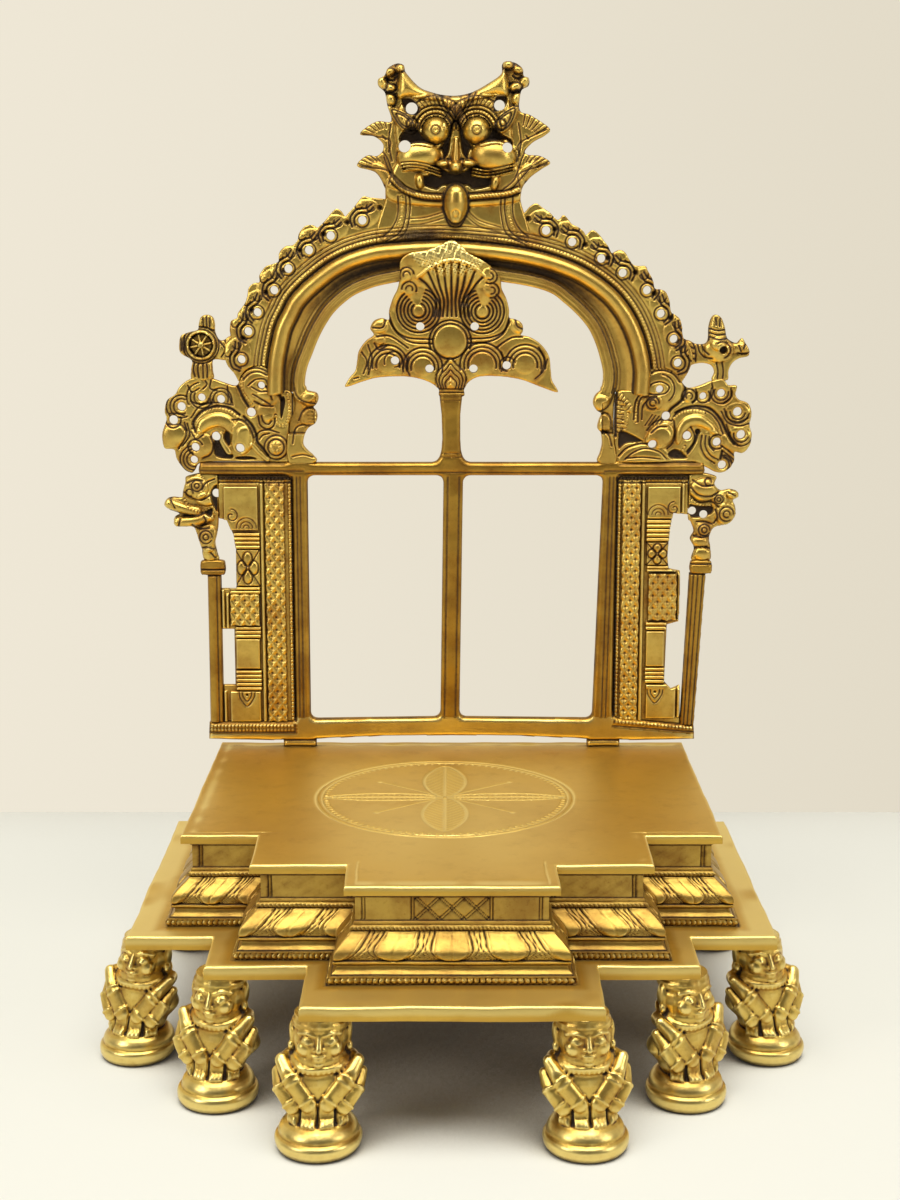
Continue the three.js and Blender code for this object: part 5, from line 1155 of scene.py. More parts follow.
flame_rims = {
    "left": [-24, 227.6, -27, 228, -33, 228.5, -36, 229, -38, 227, -40, 224.5, -42, 222.5, -43.5, 221, -45, 223,
        -47, 224, -49, 222.5, -51, 220, -53.5, 217.5, -55, 216.5, -57, 217.5, -60, 217, -62.5, 214, -63, 211.5,
        -65, 209.5, -68, 209, -70.5, 206.5, -71, 203, -73, 202, -76, 201, -77.5, 199.5, -79, 197, -79, 194.5,
        -81.5, 194, -83.5, 192, -84, 189, -85, 186, -88, 182, -88.4, 180, -91, 178.6, -91.6, 175, -91.4, 172.6,
        -93.4, 170, -94, 166, -93, 161, -90, 157, -88, 153],
    "right": [25, 221.8, 29, 222, 32, 225, 34.5, 226.2, 37, 224.5, 40, 222.5, 42.5, 220, 44, 219.8, 45.5, 221.5,
        47, 220.5, 49, 218, 52, 216.5, 54, 214.8, 55, 213.5, 57.5, 215.5, 60, 214, 62, 211.5, 64, 209, 65.5, 206.3,
        67, 206.8, 69, 207.5, 71, 206.5, 72.5, 204, 74.5, 201.5, 77, 201, 79.5, 201, 80.5, 199, 82.5, 195.5, 83.5, 192,
        86, 191.5, 88, 190.5, 89.5, 187, 90.3, 182.5, 92, 181.3, 94, 179.5, 95, 176, 95.5, 172, 97.4, 170.6, 99, 167,
        99.6, 163, 98, 158, 95, 153],
}


def make_flames(hand, sign, box, ends):
    """The border's toothed rim, its scrolls round the drilled eyes and the mouldings that it shares with the arch."""
    piece = Relief(*box, 0.34)
    eyes = np.array(flame_eyes[hand])
    first = arch_outer if sign < 0 else arch_outer[::-1]
    rim = curve(flame_rims[hand])
    piece.add(np.vstack([first[:len(first) // 2], rim]))
    for line in ends:
        piece.cut(line)
    piece.level(3.7)
    work_arch(piece)
    toward = np.gradient(eyes, axis=0)
    toward = -toward / np.hypot(*toward.T)[:, None]
    outward = np.stack([toward[:, 1], -toward[:, 0]], 1) * sign
    for eye, t, n in zip(eyes, toward, outward):
        turn = math.degrees(math.atan2(t[1], t[0]))
        spin = 1 if t[0] * n[1] - t[1] * n[0] > 0 else -1
        piece.dome(eye + n * 2.0 + t * 1.4, 7.4, 5.6, 0.9, turn)
        piece.groove(circle(eye, 2.9, turn - spin * 170, spin * 250), 0.4, 0.55, 0.9)
        for shift in (0, 1.8):
            curl = [eye - t * (3.6 + 0.7 * shift) - n * 0.6, eye - t * (2.6 + 0.8 * shift) + n * (2.0 + 0.5 * shift),
                    eye + n * (3.0 + shift), eye + t * 3.4 + n * (1.8 + shift), eye + t * 6.4 + n * (2.6 + 0.8 * shift)]
            piece.groove(curve(curl), 0.48, 0.75, 1.0)
        for along, out, radius in ((5.4, 3.2, 1.8), (1.2, 6.0, 1.6)):
            centre = eye + t * along + n * out
            piece.dome(centre, radius, radius, 0.3)
            piece.groove(circle(centre, radius, turn + spin * 120, spin * 190), 0.36, 0.5, 0.9)
        notch = eye + t * 8.6 + n * 1.4
        piece.dome(notch, 1.2, 1.2, -1.6)
        piece.soil(np.exp(-((piece.u - notch[0]) ** 2 + (piece.v - notch[1]) ** 2) / 1.6))
    piece.finish(0.06, 0.5, [(*eye, 1.75) for eye in eyes])
    piece.cast(f"{hand}_flames", f"{hand}_flame_border")


make_flames("left", -1, (-96, -24, 152, 231), [[(-24, 150), (-27, 212), (-27, 227), (-26, 232), (0, 240), (0, 150)],
    np.vstack([circle((-80, 152), 8.4, -20, 230), [(-110, 150), (-60, 150)]])])
make_flames("right", 1, (25, 101, 152, 229), [[(25, 150), (28, 208), (28, 222), (27, 232), (0, 240), (0, 150)],
    np.vstack([circle((87, 151), 8.4, -30, 220), [(60, 150), (110, 150)]])])


# The lion mask over the arch, cast in one with the back: bulging eyes under beaded lids, broad cheeks with lip
# bands, fangs and a tongue out of a deep mouth, two smooth horns, leaf ears, hatched side tufts and a neck.

mask_outline = loop([-27, 206, -27, 228.8, -27.5, 233, -31, 238.5, -38, 240.7, -37.5, 243, -34, 245.3, -30.5, 245,
    -28, 247, -28, 250, -31.5, 252.8, -37, 253.5, -35, 256, -30, 258.7, -24.5, 258.7, -26, 265, -27, 270, -29.5, 272.5,
    -29.5, 275, -27, 276.5, -25.5, 279.5, -22, 281.3, -19.3, 280.5, -18.3, 277.5, -13, 272, -7, 269.7, 1, 268.7, 8, 270,
    14, 273, 19.8, 277, 20.3, 281, 22.5, 282.1, 26, 281.3, 28.5, 279, 29, 276.3, 31, 275.5, 31, 272.7, 28, 270.5,
    27.5, 263, 32, 261, 39.5, 256, 38, 253.3, 33, 250.5, 29.7, 247, 31, 245.5, 36, 245, 40, 242.3, 36, 239.5, 31, 235.5,
    28, 228.8, 28, 206])

mask = Relief(-41, 42, 205, 284, 0.3)
mask.add(mask_outline)
mask.edge = np.maximum(mask.edge, -mask.inside(np.vstack([arch_outer, [(80, 190), (60, 150), (-60, 150), (-80, 190)]])))
mask.level(4.2)
work_arch(mask)
mask.swell(loop([-24, 227, -22, 245, -23, 257, -20, 266, -10, 269, 0, 268, 10, 269, 22, 268, 24, 258, 25, 246,
    27, 227]), 1.6, 2.5)

# neck
for sign, x in ((-1, -20.2), (1, 23.2)):
    for shift, kind in ((-1.6, 0), (0, 1), (1.6, 0), (3.2, 0)):
        line = curve([x - sign * shift, 229, x - sign * shift + sign * 0.2, 221.5,
            x - sign * shift + sign * 2.6, 215.5 - 0.5 * shift, x + sign * 8, 211.6 - 0.8 * shift])
        if kind:
            mask.beads(line, 1.3, 0.7, 0.5, 0.45, 0.7)
        else:
            mask.groove(line, 0.4, 0.5, 0.85)
mask.draw([[-4, 222.5, -11, 220.6, -18.5, 220], [-3, 220.4, -11, 218.2, -18.5, 217.6], [6, 224, 11, 219.5, 20, 216.6],
    [5.5, 221.5, 11, 217.2, 20, 214.4], [-27, 210.5, -14, 212, 0, 213.5, 14, 212, 28, 209.5]], 0.42, 0.4, 0.7)
scorched = np.exp(-((mask.u + 13) / 11) ** 4 - ((mask.v - 212.5) / 4.2) ** 4)
mask.soil(0.8 * scorched)
mask.height += 0.25 * scorched * np.sin(3.1 * mask.u + 1.7 * mask.v) * np.sin(2.3 * mask.v - 2.9 * mask.u)

# side tufts, fanned out from their roots
for root, tips in (((-25.5, 251.5), [(-37, 254.2), (-35.6, 256), (-33.8, 257.3), (-31.6, 258.3), (-29.4, 258.9),
        (-27, 259)]), ((-25.5, 239), [(-38, 241.9), (-37.4, 243.7), (-35.9, 245), (-33.8, 245.8), (-31.6, 245.8)]),
        ((27.5, 250), [(39.3, 256.8), (37.8, 258), (35.9, 259.2), (34, 260.3), (32, 261.2), (29.8, 262.2)]),
        ((27.5, 238), [(39.8, 243), (38.3, 244.1), (36.4, 245), (34.2, 245.5), (32, 245.7)])):
    for tip in tips:
        start = np.array(tip) + 0.42 * (np.array(root) - np.array(tip))
        mask.groove(straight([start, tip]), 0.36, 0.5, 0.8)
    mask.groove(curve([np.array(tips[0]) * 0.9 + np.array(root) * 0.1 + (0, -0.7), root, np.array(root) + (0, -5)]),
        0.42, 0.5, 0.8)
mask.draw([[-29, 247.5, -26, 244, -23, 236, -18, 231.5], [-27.5, 244.5, -25, 238.5, -21, 233, -15, 230.4],
    [-24.6, 257.5, -25.5, 250, -24.2, 243], [30, 247.5, 28, 243, 25.5, 236, 21, 231.8], [32.5, 241, 28.5, 236.5,
    24, 231.5], [27, 258, 28, 250, 26.5, 243], [-28, 253, -26.6, 251.4], [30, 253, 31, 251.8]], 0.42, 0.5, 0.85)

# deep places: round the eyes, by the drilled holes and the open mouth
for line, floor, stain in (([(-15, 257), (-21, 253.5), (-20.5, 249), (-14, 247.5), (-5, 247.5), (-3.5, 243.5),
        (-1, 246), (0, 252), (1.5, 258), (3, 252), (4, 246), (6.5, 243.5), (8, 247.5), (15, 249), (22, 251), (24, 246),
        (25, 251), (20, 254), (17, 257), (10, 248), (1.5, 260), (-6, 248)], 3.2, 0.95), ([(-20.5, 267.4),
        (-15.5, 267.6), (-12.5, 264), (-13.5, 261), (-16, 260.7), (-19, 262.5)], 2.8, 0.9), ([(22.5, 268.6),
        (18.5, 269), (16.4, 266), (16.6, 262.3), (19, 262.3), (22, 264.4)], 2.8, 0.9), ([(-14, 238), (-10, 237.6),
        (-5.4, 240.6), (1.5, 238), (8, 240.6), (13, 239), (19, 238), (19.6, 236), (16.5, 233), (9, 231.4), (6, 233),
        (-3, 233), (-6, 231.4), (-11.5, 233), (-14.6, 236)], 2.8, 0.9)):
    mask.hollow_out(loop(line), floor, 1.1, stain)

# horns with their curls
mask.swell(loop([-3, 266.6, -7, 269.9, -13, 272.2, -18.3, 277.7, -20.6, 279, -22, 273, -21.6, 267.6, -16, 267.6,
    -9, 266.8]), 4.2, 4.2)
mask.swell(loop([5.6, 266.6, 9, 270.4, 14, 273.2, 19.6, 277.6, 21.4, 279, 23, 273.6, 22.4, 268.4, 17, 268.4, 10, 267]),
    4.2, 4.2)
for centre, wide, tall, turn in (((-20.6, 279.4), 2.4, 1.8, 20), ((-25.2, 277.8), 3.2, 1.8, 28), ((-28.2, 274), 1.9,
        2.8, 10), ((-24.6, 271.6), 3.0, 1.8, -30), ((-24.6, 267.2), 1.9, 2.6, 20), ((22.8, 280.6), 2.4, 1.9, -20),
        ((26.8, 278.6), 2.8, 1.8, -30), ((29.2, 274.4), 1.9, 2.6, -10), ((25.6, 272.2), 3.0, 1.8, 30),
        ((26, 267.6), 1.9, 2.6, -20)):
    mask.dome(centre, wide, tall, 2.6, turn)
    mask.groove(circle(centre, 0.9 * max(wide, tall), turn - 100, 230, squash=tall / wide), 0.42, 0.6, 0.9)
mask.draw([[-22.4, 276, -23.6, 274.6, -26.6, 275.4], [-26.4, 270, -24.4, 269.6, -22.4, 271], [24.6, 276.4, 26.4, 275.4,
    28.8, 276], [23, 271, 25.4, 269.8, 27.6, 270.4]], 0.5, 0.8, 1.0)

# leaf ears
for flip, points in ((1, [(-26, 264.6), (-20.5, 263.2), (-16, 260), (-13.6, 256.4), (-15.5, 253.6), (-19.5, 254.6),
        (-23.5, 259)]), (-1, [(27, 265.4), (21.5, 263), (18, 260), (16.6, 256.6), (18.4, 254), (22, 254.6),
        (25.4, 259)])):
    leaf = loop(points)
    mask.swell(leaf, 1.9, 1.2)
    middle_point = np.mean(points, axis=0)
    for share in (0.72, 0.46):
        mask.groove(loop(middle_point + (np.array(points) - middle_point) * share), 0.4, 0.6, 0.9)
    ball = (-15.9, 257.4) if flip > 0 else (19.6, 257.2)
    mask.dome(ball, 2.0, 2.0, 2.0)
    mask.groove(circle(ball, 2.3), 0.4, 0.6, 0.9)

# eyes, lids and brows
for centre in ((-6.5, 255), (10, 255)):
    outer_side = -1 if centre[0] < 0 else 1
    mask.dome(centre, 7.1, 7.1, 1.2, power=0.3)
    for radius, width, rise in ((7.5, 1.6, 0.9), (9.2, 1.4, 0.7), (11.6, 3.6, 0.9)):
        mask.ridge(circle(centre, radius, 8, 164), width, rise)
    mask.beads(circle(centre, 7.5, 2, 176), 1.3, 0.62, 0.5, 0.2, 0.75)
    mask.grooves([circle(centre, r, 6, 168) for r in (6.6, 8.4, 9.9)], 0.38, 0.6, 0.9)
    mask.groove(circle(centre, 13.4, 20 if outer_side < 0 else 30, 130), 0.4, 0.5, 0.8)
    for turn in np.arange(30, 152, 8.6):
        a = math.radians(turn)
        ray = np.array([math.cos(a), math.sin(a)])
        slant = np.array([-ray[1], ray[0]]) * 0.9 * -outer_side
        mask.groove(straight([np.array(centre) + ray * 10.3, np.array(centre) + ray * 13.0 + slant]), 0.33, 0.45, 0.75)
    inside_eye = np.hypot(mask.u - centre[0], mask.v - centre[1])
    ball = 4.2 + 6.9 * np.sqrt(limit(1 - (inside_eye / 5.7) ** 2))
    mask.height = np.where(inside_eye < 5.7, ball, mask.height)
    mask.dirt = np.where(inside_eye < 5.4, 0, mask.dirt)
    mask.groove(circle(centre, 1.7), 0.32, 0.35, 0.75)
    mask.dome(centre, 0.8, 0.8, -0.5)

# forehead leaf and the lines that run down to the nose
mask.swell(loop([1.4, 259, -1.6, 263.4, -2.6, 266, 0, 268.4, 1.5, 268.6, 3, 268.4, 5.4, 266, 4.4, 263.4]), 1.3, 1.3)
mask.grooves([straight(p) for p in ([(1.4, 260), (1.4, 265.4)], [(1.4, 260), (-0.8, 264)], [(1.4, 260), (3.6, 264)])],
    0.36, 0.6, 0.85)
mask.draw([[-4.6, 269, -3, 265, 1.2, 258.4], [-7, 269.6, -5, 265.4, 0.6, 257.2], [7.4, 269.2, 5.8, 265, 1.8, 258.4],
    [9.6, 269.8, 7.6, 265.6, 2.4, 257.2]], 0.4, 0.6, 0.85)

# cheeks and lip bands
for centre, wide, tall, turn in (((-13.2, 244.8), 8.8, 5.5, 9), ((16.8, 245.0), 9.0, 6.0, -11)):
    mask.dome(centre, wide + 0.3, tall + 0.7, 6.4, turn, level=4.4)
    polished = np.hypot((mask.u - centre[0]) / wide, (mask.v - centre[1]) / tall) < 0.95
    mask.dirt = np.where(polished, -0.4, mask.dirt)
for lines in ([(-20.4, 242.6), (-15, 242.8), (-9.5, 241.8), (-5.2, 240.4)], [(25, 242), (19, 240.6), (14, 240),
        (9, 240.8)]):
    line = curve(lines)
    sign = 1 if lines[0][0] > 0 else -1
    for shift in (0, 1, 2):
        lowered = line + np.array([0.3 * shift * -sign, -0.9 - 1.2 * shift])
        mask.ridge(lowered, 1.5, 5.2 - 0.8 * shift, level=3.2)
        mask.groove(lowered + (0, 0.7), 0.32, 0.6, 0.95)
        mask.dirt = mask.dirt * (1 - 0.85 * fade(mask.measure(lowered, 2)[0] / 0.5))
for x, y in ((-13, 235), (17.6, 234.4)):
    lean = 8 if x < 0 else -14
    mask.dome((x, y), 2.3, 4.0, 4.8, lean, level=3.4)
    mask.dirt = np.where(((mask.u - x) / 1.6) ** 2 + ((mask.v - y) / 3.2) ** 2 < 1, 0.05, mask.dirt)

# nose
mask.ridge(curve([1.8, 251.5, 1.7, 246, 1.5, 240.6]), 8.2, 6.6, level=3.8, taper=(0.3, 0.4, 0.5, 0.6))
for x, y, wide, tall, rise in ((-2.8, 241.9, 4.2, 1.8, 6.2), (6.4, 242.1, 4.2, 1.8, 6.2), (1.6, 240.6, 3.3, 3.0, 8.0)):
    mask.dome((x, y), wide, tall, rise, level=4.2)
nose = (np.abs(mask.u - 1.6) < 6.5) & (np.abs(mask.v - 241.6) < 2.3) | (np.abs(mask.u - 1.7) < 2.2) & (np.abs(mask.v
    - 246) < 5)
mask.dirt = np.where(nose, 0.1 * mask.dirt, mask.dirt)
mask.draw([[-1.6, 243.6, -1.2, 241, -0.6, 239], [4.6, 243.6, 4.2, 241, 3.6, 239]], 0.4, 0.9, 0.8)

# jaw rope, chin and tongue
for points in ([-24, 236, -19, 231.6, -12, 229.2, -4.5, 228.6], [7.5, 228.8, 15, 229.4, 22, 230, 27, 231.6]):
    line = curve(points)
    mask.ridge(line, 2.6, 1.6)
    mask.rope(line, 1.9, 1.35, 0.9, 0.7, 0.7)
    mask.grooves([beside(line, 1.3), beside(line, -1.4)], 0.42, 0.6, 0.9)
tongue = curve([1.7, 229.6, 1.7, 225, 1.5, 220.2])
mask.ridge(tongue, 10.6, 7.6, level=4.4, taper=(0.95, 1, 0.9, 0.62))
mask.groove(circle((1.6, 222), 1.5), 0.36, 0.5, 0.8)
around = np.hypot((mask.u - 1.7) / 4.6, (mask.v - 226) / 7.4)
mask.dirt = np.where(around < 1, 0.12 * mask.dirt, np.maximum(mask.dirt, 0.9 * fade((around - 1.08) / 0.16)))

# ridges over the cheeks
for points in ([-33.6, 242.4, -28.6, 239.4, -25.4, 235, -20, 231.4], [35, 242.6, 29.8, 239, 26.6, 234.6, 21.6, 231.4]):
    mask.ridge(curve(points), 4.4, 1.3, taper=(0.5, 1, 1, 0.4))
mask.ridge(curve([-21.5, 247.4, -15, 249.8, -8, 249]), 1.6, 1.2)
mask.ridge(curve([25.4, 247.8, 19, 250.4, 11.6, 249.4]), 1.6, 1.2)
mask.finish(0.08, 1.0, [(-16.2, 263.8, 2.4), (-19, 248.8, 2.5), (19.3, 265, 2.2), (22.5, 248.3, 2.1)], 12.4)
mask.cast("lion_mask", "kirtimukha")


# The crown leaf: a separate casting of scrolls and petals on the top of the stem, brazed to the arch. The braze
# ran over the roll and is paler and pitted, and the heat left red patches beside it.

crown_outline = loop([-4.6, 147.6, -5.4, 150.6, -8.5, 153.2, -13.5, 155.1, -20, 156, -30, 155.6, -37, 153.8, -44, 151.6,
    -42.6, 155, -40, 158.2, -39.2, 162, -38.4, 166.4, -35.6, 170.4, -32.2, 173, -33.6, 175.6, -32.2, 178.6, -29, 179.8,
    -26, 179.2, -25.8, 183, -24.2, 188, -22.2, 192, -21.2, 197, -21, 203, -17, 206.4, -10, 207.6, -5, 209.6, 0, 211.6,
    4, 209.4, 7.5, 206, 12.6, 203.4, 17.4, 199.6, 20, 195.5, 20.5, 192, 22.4, 188, 23.6, 183.5, 23.8, 180, 26.4, 179.3,
    29, 177.6, 29.4, 174.6, 28.6, 172.9, 32.4, 172, 37, 169, 40.2, 164.4, 41, 159, 41.6, 154.4, 44, 149.5, 37, 151.6,
    29, 154.6, 20, 156, 12, 156, 7.4, 154, 5.2, 150.6, 4.6, 147.6])

crown = Relief(-45, 45, 147, 212.5, 0.33)
crown.add(crown_outline)
over_arch = limit((crown.v - 184 - 2.5 * np.sin(0.35 * crown.u)) / 14)
over_arch = over_arch * over_arch * (3 - 2 * over_arch)
crown.height = 3.9 + 3.7 * over_arch + 0.9 * limit((crown.v - 196) / 8) - 1.2 * limit((crown.v - 206) / 6)

for centre, start, sweep in (((-13.6, 183), 70, -300), ((12.6, 182.6), 110, 300)):
    crown.dome(centre, 9.6, 9.6, 1.5, power=0.8)
    for radius in (3.0, 4.5, 6.0, 7.5, 9.0):
        crown.groove(circle(centre, radius, start, sweep), 0.45, 0.85, 1.0)
    crown.dome(centre, 2.4, 2.4, 0.5)
for points in ([-26, 181.6, -23.4, 175, -17.6, 171.8, -8, 171.2], [24, 181, 21.8, 174.8, 16, 172, 7, 171.4],
        [-25.6, 178.8, -22, 173.4, -16.6, 170, -8, 169.4], [23.8, 178.4, 20.6, 173, 15, 170.2, 7, 169.6],
        [-31, 172.4, -26.6, 172.8, -22.6, 171, -18, 167.6], [29, 172.2, 25.2, 172, 21.4, 170, 18.4, 167.6],
        [-27, 180, -28.4, 176.2, -32.6, 176], [26, 180, 27, 176.6, 29.4, 175.4]):
    crown.groove(curve(points), 0.45, 0.75, 0.95)
crown.domes([(-29.6, 176.4, 3.4, 2.7, 1.1, 10), (27.2, 176.6, 2.6, 3.0, 1.1, 30), (-29.6, 171.2, 2.4, 2.2, 1.1)])

fan = [(-13, 196), (-9.6, 198.6), (-6.6, 200.8), (-3.4, 202.2), (-0.2, 202.8), (3, 202.4), (6.2, 201.2), (9.4, 199),
    (12.4, 196.4)]
for k, tip in enumerate(fan):
    foot = (-7.4 + 1.85 * k, 180.6)
    crown.groove(curve([foot, (foot[0] * 0.86, 187), ((foot[0] + tip[0]) / 2 * 0.95, 193), tip]), 0.5, 0.9, 0.95)
crown.ridge(curve([-14, 196.4, -8, 200.8, 0, 203.4, 8, 201.4, 13.4, 197]), 1.6, 0.7)

for centre, reach in (((-26.4, 160.6), 7.6), ((-12, 159.6), 7.6), ((12.6, 160.6), 8.6), ((30.4, 160.6), 7.8)):
    crown.dome(centre, reach + 1, reach + 0.6, 1.0, power=0.5)
    for radius in (reach + 0.6, reach - 1.1, reach - 2.7):
        crown.groove(circle(centre, radius, -12, 204), 0.42, 0.7, 0.95)
    crown.dome((centre[0], centre[1] + 0.6), reach - 3.3, reach - 3.6, 0.35, power=0.4)
crown.grooves([scroll((-23.6, 162.5), 4.4, 2.6, 200, 0.8, -1), scroll((22.8, 160.6), 3.6, 2.4, 20, 0.7, 1)], 0.4, 0.6,
    0.9)
crown.draw([[-36.6, 157, -35, 162, -37.2, 166], [-34.6, 156.6, -33, 163, -34.6, 169], [-38.6, 155.6, -40.6, 155],
    [39.6, 163, 37.8, 158, 34.6, 155], [36, 168, 38.4, 162.6, 37, 157.4], [-32, 169.6, -30, 167, -26.4, 168.8],
    [-17.4, 156.6, -19, 160, -17.8, 164], [20.6, 158, 21.6, 162, 20.4, 166]], 0.42, 0.6, 0.9)
for centre, turn in (((-17.4, 191.8), 40), ((16.4, 191.2), -40), ((-18.4, 197.6), 70), ((15.6, 197), -60)):
    crown.dome(centre, 3.8, 2.6, 0.9, turn)
    crown.grooves([circle(centre, r, turn - 60, 200) for r in (1.4, 3.0)], 0.42, 0.6, 0.9)
middle_boss = (-0.6, 170.4)
crown.dome(middle_boss, 8.4, 8.4, 0.9, power=0.3)
crown.dome(middle_boss, 7.0, 7.0, 0.6, power=0.4)
crown.grooves([circle(middle_boss, 8.6, -20, 220), circle(middle_boss, 7.2)], 0.45, 0.7, 0.95)

bud = np.array([(-5.4, 151), (-6.6, 155), (-5.6, 158.4), (-2.6, 161.4), (-0.5, 164), (1.8, 161.4), (5, 158.4), (6, 155),
    (5, 151)])
crown.swell(loop(bud), 1.5, 1.2)
bud_foot = np.array([-0.4, 151.5])
for share in (0.98, 0.78, 0.58, 0.38):
    crown.groove(curve(bud_foot + (bud - bud_foot) * share), 0.36, 0.6, 0.9)
for k in range(5):
    angle = math.radians(90 + 72 * k)
    crown.dome((-0.5 + 0.9 * math.cos(angle), 153.4 + 0.9 * math.sin(angle)), 0.65, 0.65, 0.5)
crown.grooves([straight([-6, level, 6, level]) for level in (148, 149.4, 150.8)], 0.42, 0.5, 0.85)

braze = limit((crown.v - (196 + 0.028 * crown.u ** 2)) / 3) * limit((np.abs(crown.u) + (crown.v - 190) * 0.5 - 3) / 4)
flow = np.sin(1.1 * crown.u + 0.4 * crown.v) * np.sin(0.9 * crown.v + 0.7) + 0.6 * np.sin(2.7 * crown.u - 1.3 * crown.v)
crown.height += braze * (0.16 * flow + 0.12 * np.sin(3.3 * crown.u + 2.1 * crown.v)
    * np.sin(2.9 * crown.v - 1.7 * crown.u))
pits = limit(np.sin(2.9 * crown.u + 1.3 * crown.v) * np.sin(3.7 * crown.v - 1.1 * crown.u) - 0.34)
pits *= limit((205 - crown.v) / 4)
crown.height -= 1.6 * braze * pits
crown.dirt = np.maximum(crown.dirt * (1 - 0.8 * braze), braze * limit(2.6 * pits)) - 0.35 * braze * (pits < 0.05)
crown.finish(0.06, 0.8, [(x, y, 1.75) for x, y in ((-23.5, 162.5), (-9.2, 159.2), (9, 159.2), (22.8, 160.5),
    (-13, 176.5), (9.5, 176.5))], 9.2)
crown.cast("crown_of_leaves", "crown_leaf", heated_brass)


# The makaras, sea beasts at both ends of the crossbar, cast in one with the back: an eye in a round head, a
# beaded trunk, an arched smooth back under a beaded band, a leaf haunch and a tail of drilled scrolls.


def start_makara(box, outline, foot):
    """A beast's plain casting, cut off where the arch's foot stands."""
    piece = Relief(*box, 0.3)
    piece.add(loop(outline))
    piece.cut(foot)
    piece.level(3.0)
    return piece


def groove_rings(piece, rows):
    """Parts of rings round drilled eyes: centre, radii, start and sweep."""
    for centre, radii, start, sweep in rows:
        for radius in radii:
            piece.groove(circle(centre, radius, start, sweep), 0.42, 0.6, 0.9)


beast = start_makara((-122, -62.5, 114.5, 161), [-66.4, 120.3, -80, 120.3, -92, 120.3, -102, 120.2, -106, 119.4,
    -107.6, 116.8, -109, 115.6, -112, 117, -115, 121.5, -116, 125.3, -119.6, 125.8, -120.6, 128, -120.8, 132,
    -119.5, 136, -118.8, 138.6, -119.5, 141.5, -118.4, 146, -115, 148.4, -113, 151.6, -109, 154.6, -103.5, 155.7,
    -99.5, 155, -95, 153.4, -90.4, 152, -88.6, 153, -87.6, 156.2, -85, 159, -80, 160.5, -76.4, 159.4, -75.4, 156.5,
    -75, 152.6, -71.6, 150.2, -67.6, 149.8, -65.6, 147, -65.6, 140, -66.4, 134, -68, 127, -66.8, 123], left_foot[:18])
beast.swell(loop([-106.6, 132.6, -105.4, 137.2, -101.8, 139.8, -97, 140.8, -92.8, 139.6, -90.4, 137, -91.6, 132,
    -93, 132.6, -96, 134.8, -100, 134.4, -103.6, 132.4]), 1.5, 2.6)
beast.swell(loop([-91.8, 131, -91.2, 135, -88.8, 138, -85, 136.2, -82.8, 132, -82.8, 128.5, -84.6, 125, -87.4, 123.4,
    -90.6, 124.8, -92, 128]), 1.3, 1.2)
beast.swell(loop([-84, 135, -88.6, 134.6, -90, 131, -89, 126, -85.6, 125.6, -84.4, 130]), 0.9, 2.2)
beast.domes([
    (-115.4, 131.4, 5.4, 5.2, 1.5), (-104, 127, 5.4, 5.4, 1.3), (-106.2, 131.8, 2.6, 2.4, 0.9),
    (-80.5, 152, 8.2, 8.2, 1.3, 0, None, 0.6), (-76.5, 147.3, 4.4, 3.8, 0.9), (-77, 141.5, 4.0, 4.2, 0.9),
    (-76.6, 137.2, 3.4, 3.2, 0.5), (-73.3, 126.4, 5.6, 5.2, 1.3)])
beast.ridge(curve([-96.6, 131.6, -95, 127.6, -93.2, 124.2]), 3.0, 1.2)
beast.ridge(curve([-83, 127.4, -80.4, 124.4, -77, 121.4]), 2.4, 1.2)
beast.hollow_out(loop([-99.6, 129, -98.9, 122.4, -92, 121.4, -91.2, 123.6, -93.6, 124, -95.4, 126.6, -97.4, 130]), 1.5,
    0.9, 1.0)
beast.hollow_out(loop([-94.4, 133.4, -95.4, 130.2, -93.2, 126.6, -92.2, 128, -92.4, 132.4]), 1.7, 0.8, 1.0)
beast.hollow_out(loop([-90, 122.6, -84, 122.8, -80.6, 121.2, -90, 121]), 1.6, 0.8, 1.0)
beast.hollow_out(loop([-71.4, 146, -70, 148, -69, 145.4, -70.6, 138.4, -71.6, 139.6]), 1.7, 0.6, 1.0)
beast.draw([[-106.8, 133, -107.8, 136.4, -105.6, 140, -102, 142.4, -97, 143.6, -92, 142.6, -88.4, 140],
    [-86.6, 139.2, -83.4, 135.6, -81.6, 131.6, -81.2, 128.6, -79, 126, -76.6, 123], [-88.8, 151.8, -86.4, 146.4,
    -84.6, 143.4], [-77, 151.8, -74.5, 150.3, -71.6, 148.2, -70.8, 146]], 0.6, 1.0, 1.0)
